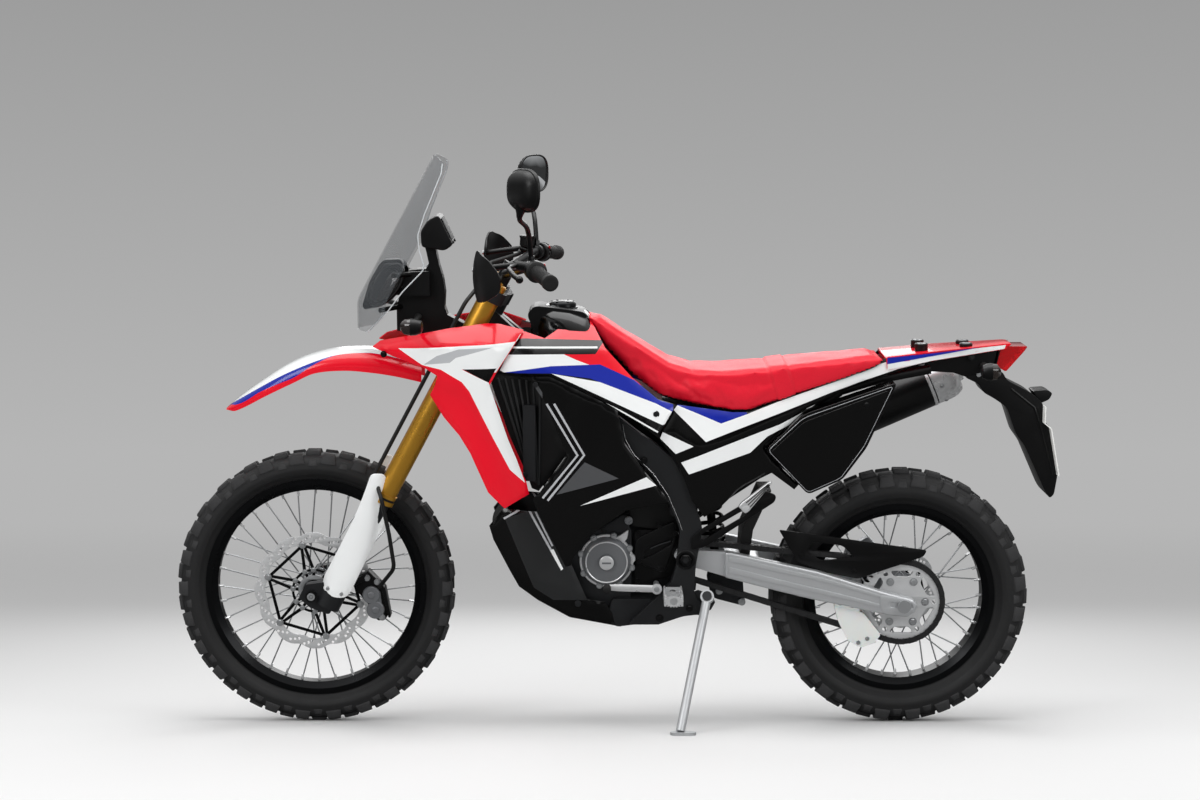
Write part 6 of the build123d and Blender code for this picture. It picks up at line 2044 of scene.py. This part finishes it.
class MOTORCYCLE_OT_lamps(bpy.types.Operator):
    """Tail light, rear fender with its hood and blank plate, and the signals."""

    bl_idname = "motorcycle.lamps"
    bl_label = "Lamps, rear fender and plate"

    def execute(self, context):
        shape = Shape("lamp_lens_red_moulded", "black_pp_satin_moulded")
        shape.plate(
            [(-236, 955), (-300, 955), (-292, 943), (-248, 892), (-224, 906)], -41, 41, 6, soft=5, segments=3
        )
        shape.plate([(-232, 956), (-240, 956), (-240, 898), (-222, 906)], -40, 40, 2, number=1)
        rows = [
            ((x, 38.5, z), facing((0, 1, 0)), 1.0)
            for x, z in ((-252, 938), (-264, 938), (-276, 941), (-256, 922), (-266, 926))
        ]
        lens = turned([(0, 5), (1.5, 4.4), (2.4, 2)], (0, 0, 0), (0, 0, 1), 12)
        shape.scatter(lens, rows, 0, both=True)
        shape.done("tail_light_moulded", "chassis", "tail_light")

        outline = [
            (-240, 893), (-250, 872), (-308, 843), (-340, 814), (-342, 772), (-357, 759), (-379, 639),
            (-372, 590), (-362, 580), (-350, 597), (-298, 710), (-276, 739), (-253, 804), (-221, 826),
            (-195, 840), (-182, 862), (-146, 879), (-180, 890), (-212, 895),
        ]
        bm = prism(softened(outline, 10, 3), -66, 66, 0)
        for v in bm.verts:
            half = curve_at([(-100, 42), (-250, 43), (-340, 60), (-390, 65)], v.co.x)
            v.co.y = math.copysign(half, v.co.y)
        shape = Shape("black_pp_satin_moulded", "steel_zinc_plated")
        shape.take(rounded(bm, 3.5, 2, 45))
        for y in (-42, 42):
            shape.take(
                swept(
                    [
                        (-262, y * 1.05, 850), (-318, y * 1.3, 806), (-334, y * 1.36, 760),
                        (-366, y * 1.44, 640),
                    ],
                    3.4, 8,
                )
            )
        hood = softened([(-317, 843), (-352, 846), (-366, 838), (-358, 822), (-336, 812)], 6)
        shape.plate(hood, -34, 34, 4)
        shape.scatter(bolt(5, 3.4, False), [((-182, 38, 885), facing((0, 1, 0)), 1.3)], 1, both=True)
        shape.done("rear_fender_moulded", "chassis", "rear_fender")

        shape = Shape("plate_blank_enamelled", "steel_zinc_plated")
        plate = [
            (-376, 640), (-354, 757), (-338, 770), (-338, 812), (-341, 812), (-341, 771), (-357, 758),
            (-379.5, 640),
        ]
        shape.plate(plate, -87, 87, 0.8)
        heads = [((-365, y, 716), facing((-0.98, 0, 0.18)), 1.0) for y in (-62, 62)]
        shape.scatter(bolt(6, 3, False), heads, 1)
        shape.done("number_plate_blank", "chassis", "number_plate")

        shape = Shape("rubber_moulded_black", "lamp_lens_smoked_moulded", "black_pp_satin_moulded")
        for x, y, z, inner, radius, long in ((1190, 232, 1025, 34, 20.5, 27), (-192, 152, 907, 46, 21, 24)):
            shape.take(
                turned(
                    [(0, 10), (12, 8.5), (16, 6.5), (y - inner - 24, 6.5), (y - inner - 20, 9)],
                    (x, inner, z), (x, y, z), 20,
                ),
                both=True,
            )
            body = oval_rings(
                [
                    (-long, y, z, 6, 6), (-long + 4, y, z, 15, 15),
                    (-long * 0.4, y, z, radius - 1, radius - 1), (long * 0.1, y, z, radius, radius),
                ],
                32, 2.2,
            )
            lens = oval_rings(
                [
                    (long * 0.1, y, z, radius - 0.6, radius - 0.6),
                    (long * 0.6, y, z, radius - 2, radius - 2), (long - 3, y, z, 12, 12), (long, y, z, 4, 4),
                ],
                32, 2.2,
            )
            sign = 1 if x > 0 else -1
            for rings, number in ((body, 2), (lens, 1)):
                placed = [[Vector((x + sign * p.x, p.y, p.z)) for p in ring] for ring in rings]
                shape.take(skinned(placed), number, both=True)
        shape.done("turn_signals_smoked", "chassis", "turn_signals")
        return {"FINISHED"}


class MOTORCYCLE_OT_cockpit(bpy.types.Operator):
    """Clear screen with a painted highlight along its edge, twin headlight with its oval bezels, and the
    instrument.
    """

    bl_idname = "motorcycle.cockpit"
    bl_label = "Screen, headlight and instrument"

    def execute(self, context):
        bend = [(0, 0), (22, 4), (48, 14), (76, 30), (98, 52), (112, 78)]
        spine = filleted([(1342, 0, 994), (1342, 0, 1066), (1148, 0, 1422)], 60, 0.1)
        dense = []
        for a, b in zip(spine, spine[1:]):
            steps = max(1, int((b - a).length / 12))
            dense += [a.lerp(b, i / steps) for i in range(steps)]
        dense.append(spine[-1])
        across = [112 * k / 24 for k in range(-24, 25)]
        bm = grid_skin([[(p.x - curve_at(bend, abs(y)), y, p.z) for y in across] for p in dense])
        rear_edge = [
            (1309, 994), (1262, 1040), (1220, 1095), (1166, 1150), (1179, 1202), (1181, 1231), (1165, 1280),
            (1124, 1378),
        ]
        edge = [(1148, 1422), (1352, 1075), (1352, 990)] + rear_edge + [(1120, 1402)]
        shape = Shape("screen_polycarbonate_clear", "screen_edge_painted_highlight")
        shape.take(thickened(facing_out(trimmed(bm, softened(edge, 9, 3)), (1, 0, 0)), 3.0))
        # The pale rim along the rear edge is a painted highlight.
        rim = []
        for x, z in rear_edge + [(1122, 1400)]:
            front = curve_at([(994, 1342), (1066, 1342), (1422, 1148)], z)
            side = curve_at([(back, y) for y, back in bend], front - x)
            rim.append((x + 1, side, z))
        shape.take(swept(filleted(rim, 18), 1.5, 8), 1, both=True)
        shape.done("windscreen_clear", "chassis", "windscreen")

        shape = Shape("black_pp_satin_moulded", "lamp_glint_painted_highlight", "lamp_lens_smoked_moulded")
        housing = [
            (1284, 1154), (1274, 1164), (1228, 1166), (1224, 1118), (1253, 1073), (1296, 1048), (1322, 1042),
            (1328, 1052), (1309, 1112),
        ]
        shape.plate(housing, -20, 20, 3, soft=12, segments=3)
        cheeks = [(mix(1246, x, 0.8), mix(1110, z, 0.86)) for x, z in housing]
        shape.plate(cheeks, -36, 36, 8, soft=12, segments=3)
        tall, wide = Vector((-0.48, 0, 0.875)), Vector((0.9, -0.43, 0))
        outward = tall.cross(wide).normalized()

        def oval(centre, out, high, across, turns):
            return [
                Vector(centre) + outward * out + tall * (high * math.sin(t)) + wide * (across * math.cos(t))
                for t in turns
            ]

        full = [2 * math.pi * k / 56 for k in range(56)]
        bezel = [
            (-14, 56, 37), (-4, 61, 41), (0, 62, 42), (2.5, 60, 40), (2.5, 57, 37.5), (-1, 55, 36),
            (-1, 52.5, 34), (1, 51.5, 33), (1, 49.5, 31), (-13, 44, 25),
        ]
        shape.take(skinned([oval((1267, 45, 1104), *ring, full) for ring in bezel]), both=True)
        lens = ((-14, 47, 28), (-9, 46, 27), (-6, 40, 22), (-5, 20, 11))
        shape.take(skinned([oval((1270, 44, 1102), *ring, full) for ring in lens]), 2, both=True)
        # A bright arc inside each lens: a painted highlight, the lamp's glint.
        part = [math.radians(mix(-75, 75, k / 16)) for k in range(17)]
        glint = [p + wide * 3 for p in oval((1270, 44, 1102), -6.5, 42, 20, part)]
        shape.take(swept(glint, [0.6] + [1.7] * 15 + [0.6], 8), 1, both=True)
        shape.done("headlight_twin", "chassis", "headlight")

        shape = Shape("black_pp_satin_moulded", "display_panel_dark", "rubber_moulded_black")
        shape.plate(
            [(1163, 1262), (1136, 1276), (1101, 1204), (1122, 1189), (1178, 1198), (1180, 1236)], -56, 56, 6,
            soft=9, segments=3,
        )
        shape.plate([(1131, 1266), (1106, 1213), (1104, 1214), (1129, 1267)], -47, 47, 0.8, number=1)
        for y in (-30, 30):
            shape.take(bar((1104, y, 1208), (1101, y, 1209.5), 4, 1, 16), 2)
        shape.done("instrument_moulded", "chassis", "instrument")
        return {"FINISHED"}


class MOTORCYCLE_OT_controls(bpy.types.Operator):
    """Ribbed grips, switch housings, levers, brake fluid tank, mirrors and hand guards."""

    bl_idname = "motorcycle.controls"
    bl_label = "Handlebar, grips, mirrors and guards"

    def execute(self, context):
        clamp = FORK @ Vector((12, 0, 922))
        inner = clamp + Vector((-62, 205, 30))
        outer = clamp + Vector((-112, 392, 12))
        along = (outer - inner).normalized()
        root = outer - along * 122
        tip = outer + along * 8
        shape = Shape("rubber_moulded_black")
        # A flange, ribs with grooves between them, and the bar end.
        ribs, first_rib, last_rib, crest, groove = 16, 9, 118, 16.9, 15.2
        step = (last_rib - first_rib) / ribs
        profile = [(0, 12), (0, 25), (3, 25), (5, 22), (6, 17)]
        for i in range(ribs):
            s = first_rib + step * i
            profile += [(s, crest), (s + step * 0.55, crest)]
            profile += [(s + step * 0.62, groove), (s + step * 0.95, groove)]
        profile += [(120, 17), (122, 19), (137, 19), (138, 17), (138, 12)]
        shape.take(turned(profile, root, tip, 28), both=True)
        shape.done("grips_ribbed", "steering", "grips")

        perch_a, perch_b = root - along * 62, root - along * 38
        front = perch_b + Vector((46, -4, 10))
        shape = Shape(
            "black_pp_satin_moulded", "black_steel_powder_coated", "steel_zinc_plated",
            "lamp_lens_red_moulded",
        )
        switches = [(0, 12), (0, 22), (3, 24), (29, 24), (32, 22), (32, 12)]
        shape.take(turned(switches, root - along * 34, root - along * 2, 24), both=True)
        shape.take(bar(perch_a, perch_b, 18, 3), 1, both=True)
        arm = filleted([perch_b - along * 12, perch_b - along * 8 + Vector((26, -2, 5)), front], 20)
        shape.take(swept(arm, [14] + [12] * (len(arm) - 2) + [10], 14), 1, both=True)
        lever = filleted(
            [
                front + Vector((-10, -4, 0)), front + Vector((10, 42, -6)), front + Vector((-6, 122, -14)),
                front + Vector((-20, 172, -18)),
            ],
            [30, 60],
        )
        shape.take(swept(lever, [7.5] + [6.2] * (len(lever) - 2) + [6.5], 12, 0.8), 1, both=True)
        a, b = lever[-1] - Vector((1, 9, -1)), lever[-1] + Vector((0, 8, -1))
        shape.take(turned([(0, 5), (3, 8), (9, 9), (14, 8), (17, 5)], a, b, 16), 1, both=True)
        a, b = front + Vector((0, 0, -10)), front + Vector((0, 0, 10))
        shape.take(turned([(0, 7), (2, 10), (9, 10), (11, 8)], a, b, 18), 2, both=True)
        for k, (shift, up) in enumerate(((12, 14), (22, 4), (22, 20))):
            spot = root - along * shift + Vector((-22, 0, up - 8))
            shape.take(bar(spot, spot + Vector((-4, 0, 1)), 4.4, 1.2, 16), 3 if k == 2 else 0, both=True)
        # The brake fluid tank stands on the right side only.
        foot, top = [
            Vector((p.x, -p.y, p.z)) for p in (perch_a + Vector((22, 4, 12)), perch_a + Vector((20, 4, 40)))
        ]
        shape.take(turned([(0, 14), (4, 19), (22, 19), (23, 20.5), (28, 20.5), (29, 18)], foot, top, 28))
        shape.done("controls_moulded", "steering", "controls")

        base = perch_a + along * 12
        middle = clamp + Vector((-49, 372, 218))
        stem = filleted(
            [
                base + Vector((0, 0, 6)), base + Vector((6, 18, 95)), middle + Vector((6, -14, -66)),
                middle + Vector((0, 0, -24)),
            ],
            [60, 30],
        )
        shape = Shape("black_pp_satin_moulded", "mirror_glass_silvered", "black_steel_powder_coated")
        shape.take(swept(stem, 6, 14), 2, both=True)
        shape.take(bar(base + Vector((0, 0, 4)), base + Vector((1, 2, 30)), 9, 2, 6), 2, both=True)
        turn = Matrix.Translation(middle) @ Matrix.Rotation(math.radians(34), 4, "Z")
        stations = [
            (-11, 56, 45), (-13.6, 59, 47), (-12.6, 61.4, 49.4), (-9, 61.8, 49.8), (-5, 60, 48.4),
            (-4, 57.4, 46), (2, 55, 43.6), (9, 48, 38), (14, 38, 29), (17, 24, 18), (18, 8, 6),
        ]
        shell = oval_rings([(x, 0, 0, w, h) for x, w, h in stations], 56, 2.8)
        shape.take(skinned(shell), both=True, matrix=turn)
        neck = [
            middle + Vector((5, -12, -62)), middle + Vector((3, -7, -52)), middle + Vector((1, -2, -42)),
            middle + Vector((0, 0, -30)),
        ]
        shape.take(swept(neck, [6.4, 9, 13, 15], 16), both=True)
        glass = oval_rings([(-12, 0, 0, 56, 45), (-11.4, 0, 0, 57, 46)], 56, 2.8)
        shape.take(skinned(glass), 1, both=True, matrix=turn)
        shape.done("mirrors_moulded", "steering", "mirrors")

        bow = [(208, 1038), (250, 1043), (300, 1038), (350, 1016), (392, 972)]
        edge = softened(
            [
                (212, 1176), (232, 1196), (300, 1212), (360, 1196), (391, 1160), (388, 1120), (350, 1096),
                (290, 1089), (236, 1104), (212, 1130),
            ],
            16,
        )
        heights, widths = [1086 + 130 * k / 16 for k in range(17)], [205 + 190 * i / 26 for i in range(27)]
        # Cut flat with y laid along x, then bent round the lever.
        bm = trimmed(grid_skin([[(y, 0, z) for z in heights] for y in widths]), edge)
        for v in bm.verts:
            y, z = v.co.x, v.co.z
            v.co = (curve_at(bow, y) - 10 * ((z - 1150) / 62) ** 2, y, z)
        shape = Shape("black_pp_satin_moulded", "steel_zinc_plated")
        shape.take(thickened(facing_out(bm, (1, 0, 0)), 3.5), both=True)
        shape.take(bar((1036, 228, 1160), perch_b + Vector((40, -6, 10)), 7), both=True)
        shape.scatter(bolt(5.5, 4), [((1042, 232, 1160), facing((1, 0, 0)), 1.0)], 1, both=True)
        shape.done("hand_guards_moulded", "steering", "hand_guards")
        return {"FINISHED"}


class MOTORCYCLE_OT_calipers(bpy.types.Operator):
    """Cast calipers with their pistons' bosses, pins and bolts, and the fork's seals and clamp bolts."""

    bl_idname = "motorcycle.calipers"
    bl_label = "Calipers and fork trim"

    def execute(self, context):
        shape = Shape("aluminium_cast_grey", "steel_zinc_plated", "black_steel_powder_coated")
        ring = softened(
            [(1350, 384), (1322, 397), (1285, 352), (1270, 282), (1298, 270), (1322, 318), (1350, 350)], 12
        )
        shape.plate(ring, 43.5, 53.4, 3, number=2)
        shape.plate(ring, 66.5, 74, 2, number=2)
        back = softened([(1322, 398), (1285, 352), (1270, 282), (1264, 284), (1277, 358), (1318, 402)], 3)
        shape.plate(back, 45, 82, 1.5, number=2)
        for x, z in ((1312, 340), (1302, 302)):
            shape.take(turned([(0, 22), (9, 22), (11, 20), (11, 12)], (x, 73, z), (x, 84, z), 32))
            shape.take(turned([(0, 9), (2.4, 9), (3.4, 7.6), (3.4, 4)], (x, 83.6, z), (x, 90, z), 24))
        shape.plate([(1322, 352), (1290, 352), (1283, 290), (1314, 288)], 72, 80, 2, soft=8)
        arm = stripe([(1384, 356), (1352, 372), (1322, 388)], 15)
        shape.plate(arm, 76, 84, 2, number=2)
        for x, z in ((1322, 384), (1296, 374), (1286, 284)):
            shape.take(bar((x, 72, z), (x, 83, z), 9, 2), 2)
        shape.scatter(bolt(6, 4), along_y([(1378, 360), (1322, 384), (1296, 374), (1286, 284)], 82.5), 1)
        shape.done("front_caliper_cast", "steering", "front_caliper")
        shape = Shape("aluminium_cast_grey")
        rear = softened([(38, 420), (78, 386), (96, 350), (138, 362), (120, 420), (70, 452)], 10)
        shape.plate(rear, -93.6, -85.4, 3)
        shape.plate(rear, -70.6, -61.5, 3)
        shape.plate(
            [(38, 424), (70, 456), (122, 424), (140, 364), (132, 362), (112, 412), (72, 442), (46, 418)], -92,
            -62, 2, soft=4,
        )
        shape.done("rear_caliper_cast", "chassis", "rear_caliper")

        shape = Shape("rubber_moulded_black", "steel_zinc_plated", "gold_aluminium_anodised_drawn")
        for low, high, radius in ((292, 298, 28.4), (298, 306, 28.6)):
            a, b = FORK @ Vector((19, 100, low)), FORK @ Vector((19, 100, high))
            width = high - low
            seal = [(0, 26.2), (0, radius - 1), (1, radius)]
            seal += [(width - 1, radius), (width, radius - 1), (width, 26.2)]
            shape.take(turned(seal, a, b, 36), both=True)
        cap_a, cap_b = FORK @ Vector((19, 100, 892)), FORK @ Vector((19, 100, 900))
        shape.take(turned([(0, 25), (3, 24), (5, 14), (8, 13)], cap_a, cap_b, 32), 2, both=True)
        heads = [(FORK @ Vector((52, 84, up)), facing(STEER_AHEAD), 1.1) for up in (672, 865)]
        shape.scatter(bolt(5, 5), heads, 1, both=True)
        a, b = FORK @ Vector((0, 0, 879)), FORK @ Vector((0, 0, 896))
        shape.take(turned([(0, 16), (12, 16), (14, 13), (17, 12)], a, b, 6), 1)
        shape.done("fork_seals_and_bolts", "steering", finish_slot="fork_tubes")
        return {"FINISHED"}


class MOTORCYCLE_OT_finishes(bpy.types.Operator):
    """Finishes of the nodes whose own shape is shown."""

    bl_idname = "motorcycle.finishes"
    bl_label = "Finishes"

    def execute(self, context):
        table = {
            "frame": "grey_aluminium_painted_satin",
            "subframe": "black_steel_powder_coated",
            "radiator": "aluminium_cast_dark",
            "fairing_stay": "black_pp_satin_moulded",
            "inner_mudguard": "rubber_moulded_black",
            "rack_bosses": "steel_zinc_plated",
            "side_stand": "silver_steel_painted",
            "rear_axle": "steel_zinc_plated",
            "front_sprocket": "steel_chain_oiled",
            "handlebar": "black_steel_powder_coated",
        }
        for name, material in table.items():
            paint_node(name, material)
        return {"FINISHED"}


class MOTORCYCLE_OT_stage(bpy.types.Operator):
    """A plain pale floor, soft studio lights and the camera."""

    bl_idname = "motorcycle.stage"
    bl_label = "Stage"

    def execute(self, context):
        size = 60.0
        floor_mesh = bpy.data.meshes.new("studio_floor")
        floor_mesh.from_pydata(
            [(-size, -size, 0), (size, -size, 0), (size, size, 0), (-size, size, 0)], [], [(0, 1, 2, 3)]
        )
        floor = bpy.data.objects.new("studio_floor", floor_mesh)
        bpy.context.scene.collection.objects.link(floor)
        material = bpy.data.materials.new("studio_floor_painted")
        material.use_nodes = True
        tree = material.node_tree
        tree.nodes.clear()
        # The painted floor fades with distance into the backdrop, and its mirror image in gloss is kept dark.
        place = add_node(tree, "ShaderNodeTexCoord").outputs["Object"]
        far = add_node(tree, "ShaderNodeVectorMath", {0: place}, operation="LENGTH").outputs["Value"]
        fade = {"Value": far, "From Min": 2.4, "From Max": 17.0}
        fade = add_node(tree, "ShaderNodeMapRange", fade, interpolation_type="SMOOTHSTEP").outputs["Result"]
        glossy = add_node(tree, "ShaderNodeLightPath").outputs["Is Glossy Ray"]
        colour = add_node(tree, "ShaderNodeMix", {"Factor": glossy}, data_type="RGBA")
        colour.inputs[6].default_value = linear("#eeeeee")
        colour.inputs[7].default_value = linear("#585858")
        paint = {"Base Color": colour.outputs[2], "Roughness": 0.9}
        paint = add_node(tree, "ShaderNodeBsdfPrincipled", paint)
        haze = add_node(tree, "ShaderNodeEmission", {"Color": linear("#b6b6b6"), "Strength": 1.0})
        mixed = add_node(tree, "ShaderNodeMixShader", {0: fade, 1: paint.outputs[0], 2: haze.outputs[0]})
        add_node(tree, "ShaderNodeOutputMaterial", {"Surface": mixed.outputs[0]})
        floor_mesh.materials.append(material)

        world = bpy.data.worlds.new("studio")
        bpy.context.scene.world = world
        world.use_nodes = True
        tree = world.node_tree
        tree.nodes.clear()
        # The camera sees a grey backdrop, darker above; gloss sees a dark room with a bright ceiling.
        up = add_node(tree, "ShaderNodeTexCoord").outputs["Generated"]
        up = add_node(tree, "ShaderNodeSeparateXYZ", {"Vector": up}).outputs["Z"]
        rise = {"Value": up, "From Min": 0.0, "From Max": 0.2}
        rise = add_node(tree, "ShaderNodeMapRange", rise).outputs["Result"]
        backdrop = add_node(tree, "ShaderNodeMix", {"Factor": rise}, data_type="RGBA")
        backdrop.inputs[6].default_value = linear("#b6b6b6")
        backdrop.inputs[7].default_value = linear("#9c9c9c")
        ceiling = {"Value": up, "From Min": 0.15, "From Max": 0.9, "To Min": 0.04, "To Max": 1.4}
        ceiling = add_node(tree, "ShaderNodeMapRange", ceiling).outputs["Result"]
        path = add_node(tree, "ShaderNodeLightPath").outputs
        rays = {0: path["Is Camera Ray"], 1: path["Is Transmission Ray"]}
        clear = add_node(tree, "ShaderNodeMath", rays, operation="MAXIMUM")
        lit = add_node(tree, "ShaderNodeBackground", {"Color": (1, 1, 1, 1), "Strength": 0.45})
        room = add_node(tree, "ShaderNodeBackground", {"Color": (1, 1, 1, 1), "Strength": ceiling})
        shown = add_node(tree, "ShaderNodeBackground", {"Color": backdrop.outputs[2], "Strength": 1.0})
        mixed = {0: path["Is Glossy Ray"], 1: lit.outputs[0], 2: room.outputs[0]}
        mixed = add_node(tree, "ShaderNodeMixShader", mixed)
        mixed = {0: clear.outputs[0], 1: mixed.outputs[0], 2: shown.outputs[0]}
        mixed = add_node(tree, "ShaderNodeMixShader", mixed)
        add_node(tree, "ShaderNodeOutputWorld", {"Surface": mixed.outputs[0]})

        for name, place, aim, power, width, depth in (
            ("overhead softbox", (0.0, 0.4, 3.2), (0, 0, 0.5), 60, 3.2, 2.0),
            ("front softbox", (2.6, 3.2, 2.2), (0.2, 0, 0.6), 45, 1.8, 1.4),
            ("rear softbox", (-2.8, 2.6, 1.8), (-0.2, 0, 0.6), 28, 1.6, 1.4),
            ("far softbox", (0.0, -3.4, 2.4), (0, 0, 0.6), 30, 2.4, 1.4),
        ):
            lamp = bpy.data.lights.new(name, "AREA")
            lamp.shape = "RECTANGLE"
            lamp.size, lamp.size_y, lamp.energy = width, depth, power
            obj = bpy.data.objects.new(name, lamp)
            bpy.context.scene.collection.objects.link(obj)
            obj.location = place
            obj.rotation_euler = (Vector(aim) - Vector(place)).to_track_quat("-Z", "Y").to_euler()

        camera_data = bpy.data.cameras.new("camera")
        camera = bpy.data.objects.new("camera", camera_data)
        bpy.context.scene.collection.objects.link(camera)
        camera_data.lens = 67.7
        camera_data.shift_y = 0.043
        ahead_of_axle, distance, height = 0.746, 5.5, 0.678
        camera.location = (REAR_AXLE.x + ahead_of_axle, distance, height)
        camera.rotation_euler = (math.pi / 2, 0, math.pi)
        bpy.context.scene.camera = camera
        bpy.context.scene.view_settings.view_transform = "Standard"
        return {"FINISHED"}


class MOTORCYCLE_PT_panel(bpy.types.Panel):
    """Lists the settings and the steps in their order."""

    bl_label = "Motorcycle"
    bl_idname = "MOTORCYCLE_PT_panel"
    bl_space_type = "VIEW_3D"
    bl_region_type = "UI"
    bl_category = "Motorcycle"

    def draw(self, context):
        for settings in (colours(), sizes()):
            for name in settings.bl_rna.properties.keys():
                if name not in ("rna_type", "name"):
                    self.layout.prop(settings, name)
        for step in STEPS:
            self.layout.operator(step.bl_idname)


STEPS = (
    MOTORCYCLE_OT_tyres,
    MOTORCYCLE_OT_wheels,
    MOTORCYCLE_OT_brakes,
    MOTORCYCLE_OT_chain,
    MOTORCYCLE_OT_shrouds,
    MOTORCYCLE_OT_fairings,
    MOTORCYCLE_OT_covers,
    MOTORCYCLE_OT_front_fender,
    MOTORCYCLE_OT_fork,
    MOTORCYCLE_OT_calipers,
    MOTORCYCLE_OT_controls,
    MOTORCYCLE_OT_cockpit,
    MOTORCYCLE_OT_tank,
    MOTORCYCLE_OT_lamps,
    MOTORCYCLE_OT_engine,
    MOTORCYCLE_OT_exhaust,
    MOTORCYCLE_OT_rear_frame,
    MOTORCYCLE_OT_foot_parts,
    MOTORCYCLE_OT_seat,
    MOTORCYCLE_OT_finishes,
    MOTORCYCLE_OT_stage,
)
CLASSES = (MotorcycleColours, MotorcycleSizes, *STEPS, MOTORCYCLE_PT_panel)


def register():
    """Registers the classes and their settings."""
    for cls in CLASSES:
        bpy.utils.register_class(cls)
    bpy.types.Scene.motorcycle_colours = bpy.props.PointerProperty(type=MotorcycleColours)
    bpy.types.Scene.motorcycle_sizes = bpy.props.PointerProperty(type=MotorcycleSizes)


def unregister():
    """Removes the settings and the classes."""
    del bpy.types.Scene.motorcycle_colours
    del bpy.types.Scene.motorcycle_sizes
    for cls in reversed(CLASSES):
        bpy.utils.unregister_class(cls)


def main():
    """Builds everything in order."""
    register()
    make_materials(colours())
    for step in STEPS:
        group, name = step.bl_idname.split(".")
        getattr(getattr(bpy.ops, group), name)()


if __name__ == "__main__":
    main()
